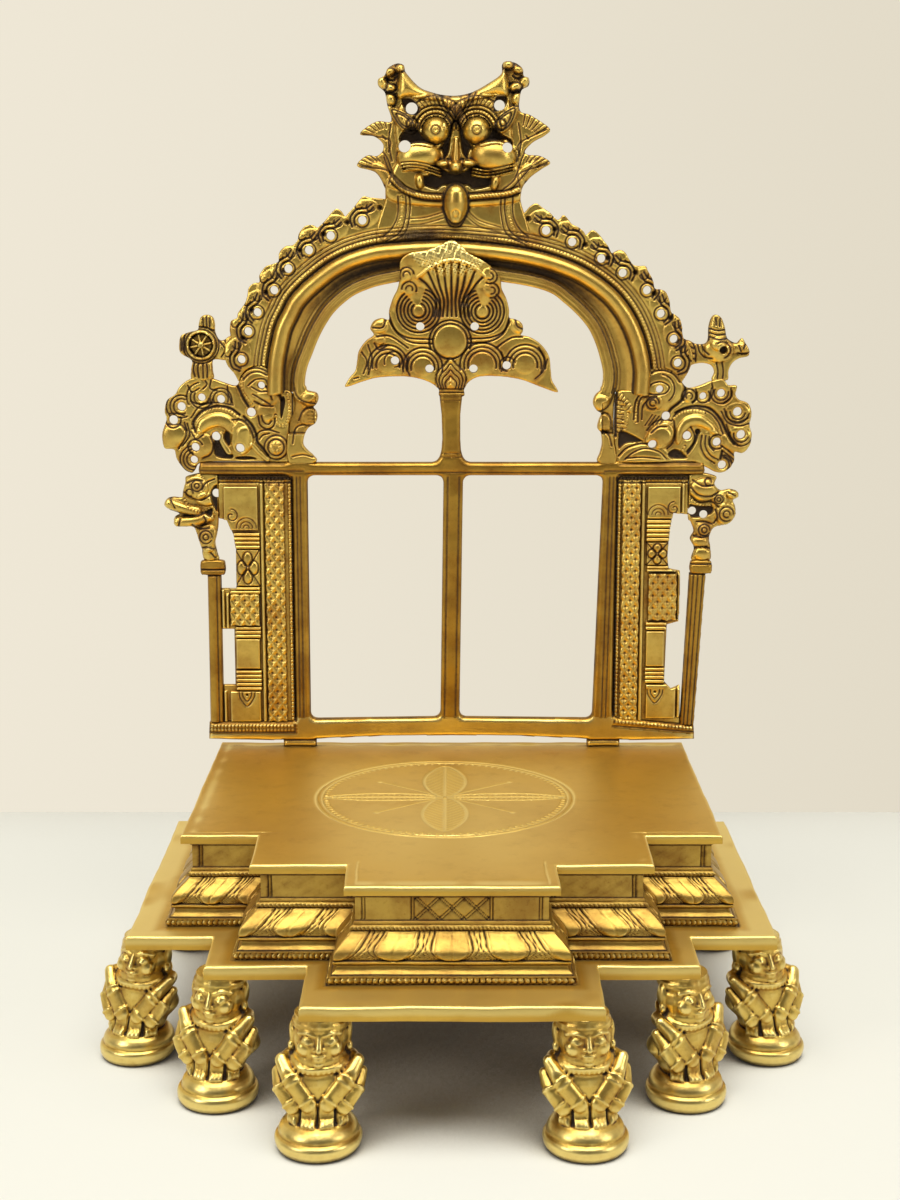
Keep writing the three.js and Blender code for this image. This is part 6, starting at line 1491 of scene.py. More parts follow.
beast.draw([[-91.4, 138, -87, 137.6, -84, 134.4, -82.6, 130.4], [-108.6, 138.6, -104.6, 143.6, -97.4, 145, -91, 144],
    [-87.8, 156, -84.4, 158.8, -80, 159.3, -75.8, 157.6], [-86.4, 154.8, -83.6, 157.2, -80, 157.8, -76.4, 156.4],
    [-84.4, 152.2, -81.4, 154.6, -77.6, 154.8, -76, 153], [-83, 151.6, -79.6, 149.8, -76, 149.6, -74.6, 146.4],
    [-82.6, 148.6, -79, 146.6, -75.4, 144.4], [-82, 145.6, -78.6, 144, -74.4, 143.6], [-80.6, 139.4, -79.8, 135.6,
    -76.8, 134, -74.2, 135.4, -73.6, 138.4], [-79.2, 139.6, -78.4, 137, -76.4, 136, -75, 137.4], [-82, 130.6, -80, 133,
    -76.2, 133.6, -72, 132.4], [-80.4, 129.6, -78.8, 131.4, -76, 132.2], [-103.8, 155.6, -101.6, 152.8, -103.4, 150.6],
    [-99.8, 154.6, -100.4, 151, -97.6, 150], [-93.2, 151.8, -92.8, 148.4, -91.2, 144.8], [-109.6, 152.2, -108, 149.4,
    -104.8, 151], [-108.6, 145.6, -105.4, 144.4, -101, 145], [-111.4, 139.6, -114, 140.4, -117.6, 140.4],
    [-118, 136, -113, 135.8, -110.4, 133.2], [-110.2, 136.4, -109.4, 131.4, -112.4, 127], [-111.4, 136.8, -110.6, 131.6,
    -114.2, 125.6], [-100.4, 130.8, -99.4, 127, -100.8, 123.4, -104, 121.8], [-108.6, 132.8, -106.6, 130,
    -103.6, 131.6], [-66.2, 148, -66.4, 140, -67.4, 134, -68.6, 128]])
groove_rings(beast, [((-112.5, 143.4), (3.2, 4.7), 60, 240), ((-104, 147.2), (3.1, 4.6), 150, 200),
    ((-96, 146.5), (3.1, 4.5), -20, 230), ((-116, 137.8), (3.2,), 180, 200), ((-107.8, 121.2), (3.0, 4.4, 5.8), 100,
    190), ((-107, 126.5), (3.2,), 20, 230), ((-73.3, 126.4), (3.4, 5.0), 0, 360), ((-104, 147.2), (6.2,), 100, 110),
    ((-112.5, 143.4), (6.2,), 110, 130)])
for k in range(6):
    beast.dome((-73.3 + 1.7 * math.cos(k * 1.047), 126.4 + 1.7 * math.sin(k * 1.047)), 0.8, 0.8, 0.4)
for points in ([-108.2, 134.4, -106.8, 138.6, -103, 141.6, -98, 142.5, -93, 141.6, -89.4, 139.4, -86.2, 137.4],
        [-86.9, 155.4, -86.8, 150, -84.4, 146, -82.4, 143.2], [-68.4, 149, -67.6, 145, -67.7, 140, -68.8, 136.6,
        -70.7, 135.4, -72.8, 136.8, -73.3, 140], [-98.2, 128.6, -97.2, 124.6, -94.6, 122.6]):
    beast.beads(curve(points), 1.35, 0.66, 0.5, 0.35, 0.8)
beast.finish(0.06, 0.8, [(-79, 152.3, 1.5), (-83.5, 141, 1.9), (-88.3, 126.2, 1.9), (-98.3, 131, 1.9),
    (-107, 126.5, 1.8), (-107.8, 121.2, 1.6), (-116, 137.8, 1.9), (-112.5, 143.4, 1.8), (-104, 147.2, 1.6),
    (-96, 146.5, 1.7)], 5.9, 0.5)
beast.cast("left_sea_beast", "left_makara")

beast = start_makara((62.5, 126.5, 115, 161), [67.6, 120.3, 90, 120.3, 101, 120.2, 104.4, 119, 107, 117.8, 110.6, 116,
    114, 116, 116.8, 118, 118.3, 121, 118.3, 124.4, 121.6, 124, 124.4, 127, 125.3, 131.4, 124.2, 135.6, 124.9, 140.5,
    123.4, 144.6, 119.6, 146.2, 118, 148.4, 118.4, 152, 115, 152.2, 112.5, 154.8, 108, 154, 103, 152, 98.6, 151.1,
    96, 153, 94.4, 156.4, 91.5, 158.6, 87, 160, 82.6, 159, 80.4, 156.4, 79.6, 152.4, 76, 150.2, 70, 150, 68, 148,
    67.8, 140, 67.6, 130, 68.4, 124], right_foot[:17])
beast.swell(loop([93.4, 133, 95.8, 137.8, 100, 140, 104.4, 139.6, 108.4, 136.8, 111.4, 132.4, 109, 131.8, 106, 134,
    101.6, 135.2, 98, 133.6, 95.4, 128, 93.6, 128.4]), 1.5, 2.6)
beast.swell(loop([80.7, 128.6, 82, 133, 85.5, 136.2, 90, 136.8, 92.6, 134, 92.2, 130, 89.6, 126.6, 86, 126]), 1.3, 1.2)
beast.domes([
    (86.4, 131, 5.0, 4.2, 0.9), (87, 150.8, 9.2, 8.8, 1.3, 0, None, 0.6), (83.4, 145, 4.2, 3.6, 0.9),
    (98.6, 147.8, 2.8, 2.6, 0.9), (81, 120.2, 11.4, 7.6, 1.2, 0, None, 0.6), (118.6, 138.6, 6, 6.6, 0.8),
    (119.4, 129.6, 5.6, 5.4, 0.8), (109.6, 127, 6.4, 7.0, 0.9)])
beast.hollow_out(loop([69.4, 132.4, 72, 133.4, 79.6, 129.6, 80, 128.4, 73, 127.6, 69.6, 125.4]), 1.6, 0.9, 1.0)
beast.hollow_out(loop([93, 126, 96.4, 124.6, 98.8, 121.6, 92.4, 121.4, 90, 123.6]), 1.7, 0.8, 0.9)
beast.hollow_out(circle((102.6, 133), 1.5), 1.4, 0.7, 1.0)
beast.draw([[95.6, 155.2, 97.1, 150.4, 95.6, 146, 92, 143, 90.6, 141.4], [102.4, 131.6, 101.4, 128.4, 98.6, 124.6],
    [68.6, 149, 68.2, 140, 68.4, 131], [93.2, 140.8, 98, 143, 103, 143.5, 108, 142.2, 112, 138, 114.6, 133, 118, 127.8],
    [113, 124.6, 112.4, 121.6]], 0.6, 1.0, 1.0)
beast.draw([[92.6, 137.4, 93.2, 132, 92.2, 128.2, 90, 125.8], [81.4, 133.4, 84.4, 136.8, 88.6, 138, 91.6, 137.4],
    [83, 132.6, 86, 135, 89.6, 135.2], [80.6, 151.2, 84, 153.3, 87.4, 153.6, 90.2, 151.6, 88.6, 149, 84.2, 148.4,
    81, 149], [80, 149.8, 77.6, 147.6, 76.2, 144, 75.8, 138], [82.6, 147.4, 79.2, 147.4, 77.8, 144, 77.6, 137],
    [85, 147.6, 81.4, 146, 79.4, 143, 79.2, 138], [81, 156, 84, 158, 88, 158.4, 92, 156.8, 94.6, 153.6],
    [92.4, 139.2, 95.6, 142, 102, 142.6, 107.4, 140.8, 111, 137, 113.2, 132], [114.4, 136, 116.4, 130.8, 119.6, 127.2],
    [69.6, 122.6, 73, 126, 78, 127.8, 81.8, 128], [72.4, 121.4, 76, 124.4, 81, 126, 86.6, 124.6, 89.8, 121.6],
    [73, 121.9, 80, 122.3, 87, 121.6], [104.4, 131.4, 104, 127, 106, 122.6, 110, 119.6], [106, 131.4, 105.8, 127,
    108, 123.2, 111.4, 121.2], [107.4, 131, 107.5, 127.4, 109.4, 125], [99.6, 135, 101.4, 131, 100.6, 126.6,
    98.6, 123.6], [113.4, 142.4, 115, 138.6, 119, 137, 123.4, 138.6], [112.2, 141.4, 115, 136.8, 120, 135.4,
    124.4, 136.6], [112.4, 127.2, 115, 125.4, 118, 123], [112.8, 125.2, 115, 123.6, 118, 121.2], [113, 123,
    115.4, 121.6, 117.6, 119.6], [101.4, 150.6, 102, 147, 100.2, 144.8], [108, 153, 108.6, 149, 107, 145.6],
    [116, 151, 116.2, 147.4, 113, 144.6]])
beast.draw([[80.6 + k * 1.5, 135.4 + 0.2 * k, 83.6 + k * 1.4, 140 - 0.3 * k] for k in range(5)], 0.36, 0.5, 0.85)
beast.draw([[68.8, 146 - 1.9 * k, 71.6, 145.6 - 1.9 * k] for k in range(8)], 0.36, 0.4, 0.8)
groove_rings(beast, [((83.5, 145), (1.3, 2.6), 0, 300), ((98.6, 147.8), (1.4, 2.9), -60, 280), ((104.5, 147.8), (2.9,),
    150, 250), ((112, 149), (3.0, 4.4), 150, 220), ((119, 141.3), (3.2, 4.8), 180, 170), ((120.7, 131.8), (3.2, 4.8),
    170, 170), ((110.7, 128.7), (3.0,), 60, 260), ((113.2, 119), (3.0, 4.2), -40, 120), ((86.3, 150.7), (6.2,), -50,
    130)])
for points in ([92.2, 138.2, 96, 140.9, 101, 141.5, 105.4, 140.6], [77, 146, 76.8, 142, 76.7, 137],
        [81.8, 157, 86, 158.8, 91, 157.8], [72.6, 144.6, 73.4, 140, 72.4, 134.6], [70.6, 143, 71.4, 138, 70.8, 133.6],
        [97.4, 127, 96, 124.4, 94, 122.6]):
    beast.beads(curve(points), 1.35, 0.6, 0.5, 0.35, 0.8)
beast.rope(curve([69.2, 148.6, 72, 145.6, 74.4, 142.2]), 2.6, 1.6, 0.8, 0.2, 0.9)
beast.finish(0.06, 0.8, [(86.3, 150.7, 1.6), (89.3, 139.5, 1.8), (98.2, 131.3, 1.8), (104.5, 147.8, 1.5),
    (112, 149, 1.7), (119, 141.3, 1.9), (120.7, 131.8, 1.9), (110.7, 128.7, 1.8), (113.2, 119, 1.8),
    (83.8, 127.8, 1.8)], 5.9, 0.5)
beast.cast("right_sea_beast", "right_makara")


# The two emblems on the makaras' tails, cast in one with the back: a wheel with a fluted lobe on each free side,
# and a conch that points up. Each stands on a short stem and is tied to the flame border by an arm.

wheel = Relief(-113.5, -89, 153.8, 182, 0.28)
wheel.add(loop([-99.4, 154.6, -99.2, 158.6, -98.9, 162.6, -94.6, 162.6, -91.4, 162, -90.6, 165, -90.6, 171.6,
    -92, 172.4, -94, 171, -96.2, 170.9, -97.8, 174, -97.9, 177.6, -98.7, 180.2, -101, 181.2, -103.4, 180.3, -104.5, 177,
    -105, 175, -109, 173.9, -112, 172.4, -112.7, 168, -112, 165.3, -107.8, 162.4, -108, 158.6, -107.6, 154.4]))
wheel.level(2.8)
hub = (-103.7, 168.8)
wheel.domes([(-101.2, 177.6, 3.6, 4.4, 1.0), (-110.6, 169.4, 3.4, 4.6, 1.0), (-94.6, 167.4, 4.6, 5.0, 1.0),
             (-103.8, 158.6, 4.8, 4.6, 1.0)])
reach = np.hypot(wheel.u - hub[0], wheel.v - hub[1])
wheel.height = np.where(reach < 7.0, 3.5, wheel.height)
wheel.height = np.where(reach < 4.9, 2.2, wheel.height)
wheel.dirt = np.where((reach > 1.5) & (reach < 4.9), 0.55, wheel.dirt)
wheel.ridge(circle(hub, 5.5), 1.3, 0.6)
for k in range(8):
    angle = math.radians(12 + 45 * k)
    ray = np.array([math.cos(angle), math.sin(angle)])
    spoke = straight([np.array(hub) + 0.8 * ray, np.array(hub) + 5.1 * ray], spacing=0.3)
    wheel.ridge(spoke, 1.2, 1.4)
    wheel.dirt *= 1 - 0.9 * fade(wheel.measure(spoke, 2)[0] / 0.45)
wheel.dome(hub, 1.7, 1.7, 1.9, level=2.4)
wheel.grooves([circle(hub, 4.8), circle(hub, 6.5), circle(hub, 7.5)], 0.38, 0.6, 0.9)
wheel.draw([[-102.6, 180, -102.4, 176.4], [-101, 180.6, -101, 176.4], [-99.6, 180, -99.8, 176.4],
    [-104, 176.3, -101, 175.9, -98.2, 174.8], [-111.8, 171.4, -111.8, 166.6], [-110.4, 172.6, -110.6, 165.8],
    [-106.6, 161.6, -107, 158.6, -106.4, 156], [-104.9, 161.4, -105.2, 158.6, -104.8, 155.4], [-103, 161.2, -103, 158.4,
    -103, 155.4], [-101.4, 161, -101.2, 158.4, -101.4, 155.6], [-95.6, 170, -93.6, 167, -95.2, 164],
    [-93.8, 170.8, -91.8, 167, -93.2, 163.6], [-97.4, 173.4, -96, 170.4]], 0.42, 0.55, 0.95)
wheel.finish(0.05, 0.9, highest=4.4)
wheel.cast("wheel", "chakra_emblem")

conch = Relief(94.5, 124.5, 153.8, 182, 0.28)
conch.add(loop([108.2, 154.2, 109, 157.6, 107.6, 160.4, 104, 161.4, 100, 160.8, 97.6, 159.2, 96, 160.6, 95.6, 165,
    96.4, 170, 98, 170.8, 101, 169.3, 104.6, 169.3, 106, 171.2, 106.2, 176.4, 107.4, 180.3, 109.3, 181.2, 111.4, 179.6,
    113, 175.5, 114, 171.6, 117.6, 169.6, 119, 170.6, 120.2, 171.6, 121.5, 169.6, 123.2, 166.2, 122.6, 164.2,
    119, 163.3, 116.2, 161.3, 114.8, 158, 114.4, 154.4]))
conch.level(2.8)
conch.dome((110.4, 166.8), 6.2, 5.4, 2.6)
conch.ridge(curve([110, 170, 109.6, 176, 109.4, 181]), 7.0, 1.6, taper=(1, 0.95, 0.6))
conch.ridge(curve([115, 167.4, 118.6, 167.6, 122, 167.6]), 4.4, 1.5)
conch.dome((98, 166), 3.4, 4.4, 0.8)
conch.hollow_out(circle((112.1, 166.9), 1.9), 3.6, 0.9, 0.9)
conch.groove(circle((111.6, 166.9), 3.4, -70, 200), 0.4, 0.6, 0.9)
conch.draw([[106.4, 175.6, 109.6, 174.8, 113, 175.2], [106.4, 173.9, 109.8, 173, 113.4, 173.4], [106.6, 172.2,
    110, 171.2, 113.8, 171.6], [108.8, 180, 109, 177], [110.6, 179.6, 110.4, 176.6], [118.2, 165.6, 120.4, 165.3,
    122.6, 165.6], [118.6, 168.6, 119.6, 166.4], [121.4, 169.4, 120.6, 167.4], [101.8, 169, 102.6, 166, 104.8, 163.8,
    107.6, 163.4], [103.4, 169, 104.4, 166.6, 106.2, 165], [97.2, 168.6, 100.2, 167.4], [96.8, 166.4, 100.6, 165.2],
    [96.6, 164.2, 100.6, 163], [99.8, 169.6, 101, 166, 101, 162], [109.6, 161.6, 110.4, 158, 110.2, 155],
    [112, 161.8, 112.6, 158, 112.4, 155]], 0.42, 0.55, 0.95)
conch.finish(0.05, 0.9, highest=6.8)
conch.cast("conch", "shankha_emblem")


# The pillar panels beside the windows, cast in one with the back and sunk between its bars: a beaded edge, a strip
# of dotted lattice, and a pilaster of blocks, rings and leaves that leaves two slots open.


def block(piece, left, right, low, high, level, soft=0.5):
    """A raised block with softened edges; the corners may come in either order."""
    left, right = min(left, right), max(left, right)
    inside = np.minimum(np.minimum(piece.u - left, right - piece.u), np.minimum(piece.v - low, high - piece.v))
    share = limit(inside / soft)
    piece.height = piece.height + (level - piece.height) * np.sqrt(1 - (1 - share) ** 2)
    return inside


def lattice(piece, left, right, low, high, across, level):
    """Crossed raised lines with a punched dot in every lozenge."""
    inside = block(piece, left, right, low, high, level - 0.35, 0.3)
    pitch = abs(right - left) / across
    a = (piece.u - left + 0.76 * (piece.v - low)) / pitch
    b = (piece.u - left - 0.76 * (piece.v - low)) / pitch
    apart_a, apart_b = np.abs(a - np.round(a)) * pitch / math.sqrt(2), np.abs(b - np.round(b)) * pitch / math.sqrt(2)
    line = fade(np.minimum(apart_a, apart_b) / 0.36)
    reach = np.sqrt(((a % 1 - 0.5) ** 2 + (b % 1 - 0.5) ** 2) / 2) * pitch
    ring = fade((reach - 0.85) / 0.25)
    dot = fade(reach / 0.45)
    within = inside > 0
    piece.height += np.where(within, 0.55 * line + 0.2 * ring - 0.4 * dot, 0)
    shown = np.maximum(line, 0.7 * ring)
    piece.dirt = np.where(within, np.maximum(0.6 * (1 - shown), 0.95 * dot) - 0.15 * line, piece.dirt)


def rings(piece, left, right, low, high, count, level):
    """Horizontal ribs, one above the other."""
    inside = block(piece, left, right, low, high, level, 0.4)
    phase = np.abs(np.cos(np.pi * count * (piece.v - low) / (high - low)))
    within = inside > 0
    piece.height -= np.where(within, 0.75 * phase ** 4, 0)
    piece.dirt = np.where(within, np.maximum(piece.dirt, 0.9 * phase ** 5), piece.dirt)


panel_plans = {"left": {"outline": [(-66.7, 8), (-66.7, 114.5), (-98, 114.5), (-98, 96.3), (-94.6, 95.6), (-92, 89),
    (-91.2, 84), (-91.3, 66.2), (-97.7, 66.2), (-97.7, 48.6), (-92.6, 48.6), (-92.6, 24.2), (-97.7, 24.2), (-97.7, 8)],
    "bead": [(-68, 8.5), (-68, 111.4)], "edge": -66.9, "strip": (-78.6, -70.4), "rib": -79.9, "plain": [(-96, -81.4,
    91.2, 110), (-91.9, -81.6, 31.4, 44.6), (-94.8, -81.6, 8, 21.6)], "rings": [(-92, -80.8, 83.2, 90.4, 4),
    (-94, -81, 64, 67.2, 2), (-92, -81, 44.8, 50, 3), (-92, -81, 21.8, 31, 5)], "foils": [(-91.2, -80.9, 67.4, 83,
    -86.2)], "lattices": [(-94, -81.4, 50.2, 64, 3)], "rods": [(-97.6, -96.2, 49, 66), (-95.8, -94.4, 49, 64),
    (-97.5, -96.1, 8, 22)], "flower": (-86.4, 92.4), "heart": (-87.6, 20.6), "leaf": (-92.6, 97.4), "side": -1,},
    "right": {"outline": [(69.1, 9.6), (69.3, 114.5), (99.4, 114.5), (99.4, 98), (97, 98.2), (93.2, 98.7), (91.9, 92),
    (91.3, 80), (91.8, 74.8), (96.6, 73.8), (96.8, 57), (96.4, 52), (91.6, 50.6), (91, 25.6), (94, 22.4), (97.6, 24),
    (98, 6.9)], "bead": [(70.2, 10.5), (70.5, 111.4)], "edge": 69.4, "strip": (71.8, 79.5), "rib": 80.6,
    "plain": [(82.2, 96.2, 96.2, 110), (82.6, 90.6, 32.4, 48), (83, 96, 9.6, 24.6)], "rings": [(82, 92.6, 86.4, 96, 5),
    (82.4, 95, 73.4, 76.2, 2), (82.4, 91.4, 48.2, 52, 2), (82.4, 91, 25, 32.2, 4)], "foils": [(82.2, 91.4, 76.4, 86.2,
    86.8)], "lattices": [(83.2, 95.4, 52.6, 72.8, 3)], "rods": [(95.6, 96.8, 52, 73), (96.4, 97.9, 10, 23),
    (96.6, 98, 98.6, 112)], "flower": (86.8, 98), "heart": (87, 22), "leaf": (93.4, 100.6), "side": 1,},}


def make_panel(hand):
    plan = panel_plans[hand]
    side = plan["side"]
    corners = np.array(plan["outline"], float)
    piece = Relief(corners[:, 0].min() - 1, corners[:, 0].max() + 1, 6, 115.5, 0.32)
    piece.add(straight(plan["outline"], closed=True))
    piece.level(2.2)
    edge = np.abs(piece.u - plan["edge"])
    piece.soil(limit(1.3 - edge / 1.0))
    piece.height -= 0.7 * fade(edge / 0.7)
    block(piece, plan["bead"][0][0] - 1, plan["bead"][0][0] + 1, 8, 112.6, 2.9)
    piece.beads(straight(plan["bead"]), 1.7, 0.85, 0.6, 0.2, 0.85)
    inner, outer = sorted(plan["strip"], key=abs)
    lattice(piece, inner, outer, 8, 112.4, 2, 3.5)
    block(piece, plan["rib"] - 0.8, plan["rib"] + 0.8, 8, 112.6, 3.6, 0.7)
    for left, right, low, high, count in plan["rings"]:
        rings(piece, left, right, low, high, count, 3.7)
    for left, right, low, high in plan["plain"]:
        block(piece, left, right, low, high, 3.6, 0.6)
    for left, right, low, high, count in plan["lattices"]:
        lattice(piece, left, right, low, high, count, 3.9)
    for left, right, low, high in plan["rods"]:
        block(piece, left, right, low, high, 3.6, 0.7)
    for left, right, low, high, x in plan["foils"]:
        block(piece, left, right, low, high, 3.4, 0.5)
        y = (low + high) / 2
        tall = (high - low) / 2
        wide = abs(right - left) / 2
        for dx, dy in ((0, 0.5), (0, -0.5), (0.5, 0), (-0.5, 0)):
            piece.dome((x + dx * wide, y + dy * tall), 0.34 * wide, 0.34 * tall, 0.6)
            piece.groove(circle((x + dx * wide, y + dy * tall), 0.4 * wide, squash=tall / wide), 0.36, 0.5, 0.85)
        piece.dome((x, y), 1.3, 1.3, 0.6)
        piece.draw([[x - wide, y - tall, x - 0.45 * wide, y - 0.4 * tall], [x + wide, y + tall,
            x + 0.45 * wide, y + 0.4 * tall], [x - wide, y + tall, x - 0.45 * wide, y + 0.4 * tall],
            [x + wide, y - tall, x + 0.45 * wide, y - 0.4 * tall]], 0.36, 0.5, 0.85)
    x, y = plan["flower"]
    piece.grooves([circle((x, y), r, 0, 180) for r in (1.2, 2.6, 4.2)], 0.36, 0.45, 0.8)
    x, y = plan["heart"]
    piece.draw([[x - 3.4, y + 0.4, x - 2.8, y - 2.2, x, y - 5.6, x + 2.8, y - 2.2, x + 3.4, y + 0.4],
        [x - 2, y + 0.4, x - 1.6, y - 1.6, x, y - 3.4, x + 1.6, y - 1.6, x + 2, y + 0.4]], 0.36, 0.5, 0.85)
    piece.hollow_out(circle((x, y - 0.6), 0.9), 2.6, 0.6, 0.9)
    x, y = plan["leaf"]
    piece.groove(scroll((x, y), 3.0, 0.6, 90, 1.1, side), 0.38, 0.5, 0.85)
    for level, wide in ((113.4, 1.1), (111.5, 0.5)):
        gap = fade((piece.v - level) / wide, 4)
        if wide > 1:
            piece.height = piece.height * (1 - gap) + 2.2 * gap
            piece.soil(0.85 * gap)
        else:
            piece.height -= 0.6 * gap
            piece.soil(0.8 * gap)
    across = sorted(corners[:, 0])
    piece.beads(straight([across[0] + 1, 113.2, across[-1] - 1, 113.2]), 1.6, 0.7, 0.9, 0.1, 0.5)
    piece.finish(0.06, 0.5)
    if side > 0:
        piece.hollow_out(circle((98.4, 54), 2.6), 1.4, 1.0, 1.0)
    piece.cast(f"{hand}_panel", f"{hand}_pillar_panel")


for hand in ("left", "right"):
    make_panel(hand)


# The slender colonettes at the outer edges, cast in one with the back, each with a two-part capital. The right one
# leans outwards.


def make_colonette(hand, foot, head, low, high, capital, split, flutes):
    """A half-round bar between two heights; foot and head are its left and right sides there."""
    piece = Relief(min(foot[0], capital[0]) - 1.5, max(head[1], capital[1]) + 1.5, low - 0.5, capital[3] + 1, 0.32)
    piece.add(straight([foot[0], low, foot[1], low, head[1], high, head[0], high], closed=True))
    left, right, bottom, top = capital
    piece.add(loop([left + 1.4, bottom, left, bottom + 1.4, left, top - 1.8, left + 1.2, top, right - 1.2, top,
        right, top - 1.8, right, bottom + 1.4, right - 1.4, bottom]))
    share = limit((piece.v - low) / (high - low))
    start = foot[0] + (head[0] - foot[0]) * share
    end = foot[1] + (head[1] - foot[1]) * share
    across = limit((piece.u - start) / (end - start))
    piece.height = 2.6 + 1.8 * np.sqrt(limit(1 - (2 * across - 1) ** 2))
    for place in flutes:
        apart = (across - place) * (end - start)
        piece.height -= 0.5 * fade(apart / 0.4)
        piece.soil(0.8 * fade(apart / 0.45))
    above = piece.v > bottom + 0.2
    middle_of_capital = (left + right) / 2
    bulge = np.sqrt(limit(1 - ((piece.u - middle_of_capital) / (0.56 * (right - left))) ** 2))
    piece.height = np.where(above, 2.6 + 1.8 * bulge, piece.height)
    piece.dirt = np.where(above, 0, piece.dirt)
    for level in (bottom + 0.1, split):
        piece.groove(straight([left, level, right, level]), 0.42, 0.7, 0.95)
    piece.finish(0.06, 0.9)
    piece.cast(f"{hand}_small_column", f"{hand}_colonette", bar_brass, "polished_brass")


make_colonette("left", (-103.6, -97.8), (-103.4, -97.6), 8, 72.4, (-106.2, -95.8, 72, 78.4), 74.6, (0.7,))
make_colonette("right", (98, 104.1), (100.6, 107.6), 6.8, 73, (100.8, 110, 72.6, 78.4), 77, (0.24, 0.5, 0.8))


# The rearing beasts over the colonettes, cast in one with the back, with forepaws that reach out past its edge.

beast = Relief(-122, -96.5, 78, 115.5, 0.3)
beast.add(loop([-98, 114.4, -110.4, 114.4, -111.6, 111.4, -112.9, 107.4, -113.4, 105.2, -117, 105.4, -119.6, 104.6,
    -120.6, 102, -118.4, 100, -114.6, 98.4, -116.6, 96.8, -116.2, 93.4, -112, 93, -108.8, 92.8, -107.5, 90, -105.6, 84,
    -104.4, 78.5, -98.6, 78.4, -99, 81.4, -99.8, 86, -98.9, 90, -98.2, 96]))
beast.cut([(-98, 70), (-98, 120), (-90, 120), (-90, 70)])
beast.level(3.0)
beast.domes([(-102.6, 88, 4.6, 6.0, 2.0), (-102, 81.4, 3.0, 3.4, 1.6), (-107.4, 109.4, 5.6, 5.2, 2.4),
             (-103, 104.6, 4.4, 3.0, 1.6)])
beast.ridge(curve([-102, 97.4, -108, 95.4, -115, 94.8]), 4.8, 2.6)
beast.ridge(curve([-107, 99.6, -112, 100.6, -118.6, 102.8]), 4.4, 2.6)
beast.hollow_out(loop([-98.2, 110.6, -101.4, 108, -100.8, 103, -98.4, 98.6]), 1.6, 0.8, 1.0)
beast.hollow_out(loop([-100.4, 100.8, -104, 99, -101, 97]), 2.0, 0.7, 1.0)
beast.draw([[-102, 92.4, -106.4, 92.2, -109, 94], [-112.4, 97.4, -107, 97.8, -103.4, 99], [-105.6, 93, -103.2, 95.4,
    -104, 97.4], [-101, 106.4, -105, 104.4, -109.4, 105.4, -112, 107.6], [-99.4, 113, -103, 111.4, -104.6, 108.6],
    [-110.8, 111.6, -107.4, 112.8, -104.2, 112.4], [-100.2, 83.6, -103, 84.4, -105.2, 84], [-117.8, 104.4, -116, 101.2],
    [-99.8, 79.8, -101.6, 82], [-114, 96.4, -114.6, 93.6]], 0.45, 0.6, 0.9)
beast.grooves([circle((-103.4, 88.6), r, 0, 330) for r in (1.2, 2.7)] + [circle((-106.6, 110.4), r) for r in (1.0, 2.3)]
              + [circle((-109.8, 107.4), 1.6, 0, 300)], 0.4, 0.5, 0.9)
beast.beads(circle((-105.4, 106.6), 7.0, 196, 120), 1.3, 0.6, 0.5, 0.3, 0.8)
beast.finish(0.06, 1.0, [(-98.8, 107, 1.8)], 6.8)
beast.cast("left_rearing_beast", "left_yali_bracket")

beast = Relief(98.5, 122, 78, 115.5, 0.3)
beast.add(loop([99.5, 114.4, 110.4, 114.4, 110.2, 110.8, 113, 108.2, 116.5, 108.7, 119.8, 107.8, 120.3, 105.6,
    118.2, 104, 119.2, 101.4, 119.2, 97.6, 116, 94, 110.4, 92.4, 108.6, 88, 109.2, 84, 109, 78.5, 101.6, 78.4,
    102.4, 83.6, 100.6, 87.6, 102, 91, 100.6, 95, 99.5, 97.4]))
beast.cut([(99.5, 96.5), (99.5, 120), (90, 120), (90, 96.5)])
beast.level(3.0)
beast.domes([(105.6, 81.4, 3.8, 3.0, 1.8), (104.4, 86.6, 4.0, 2.8, 2.2), (106, 91.4, 3.4, 3.2, 2.0),
             (115, 98.4, 4.6, 4.8, 2.0), (105.6, 108.6, 6.2, 5.0, 2.4), (112.4, 104.4, 3.4, 3.0, 1.8),
             (118, 106.4, 2.6, 1.8, 1.6)])
beast.hollow_out(loop([99.8, 102.6, 104, 102, 110, 101.6, 109.4, 98, 103, 96.2, 99.8, 97.4]), 1.7, 0.9, 1.0)
beast.draw([[100.4, 106, 104, 103.3, 109, 103.6, 112, 101.4], [100.2, 109.6, 103.4, 106.6, 108.4, 106, 111.6, 107.4],
    [101, 112.6, 105, 110.4, 109.6, 110.6], [101.8, 89, 105, 88.6, 108.4, 89], [102.2, 84.2, 106, 84.4, 109, 83.6],
    [110.4, 94.4, 111.6, 97, 110.8, 100.2], [116.2, 107.4, 118.8, 106.2], [103, 95, 106.4, 95, 109.6, 94]], 0.45, 0.6,
    0.9)
beast.grooves([circle((106.2, 91.6), r, 0, 330) for r in (1.1, 2.4)] + [circle((115.4, 98.4), r, 0, 300)
    for r in (1.4, 3.0)] + [circle((112, 104.6), r) for r in (0.8, 1.8)] + [circle((107.4, 112), 1.5, 0, 300)], 0.4,
    0.5, 0.9)
beast.beads(curve([100.6, 104.4, 104.4, 101.9, 109, 102]), 1.3, 0.6, 0.5, 0.3, 0.8)
beast.finish(0.06, 1.0, [(101.2, 99.5, 1.7), (106, 98, 1.7)], 6.8)
beast.cast("right_rearing_beast", "right_yali_bracket")


# Floor, wall, lights and camera. The throne stands on a white table before a cream wall, in soft light from
# above and from both sides. The table has a painted shadow under the throne, and the wall a painted fall of light
# from left to right.

TABLE_BACK = 0.279


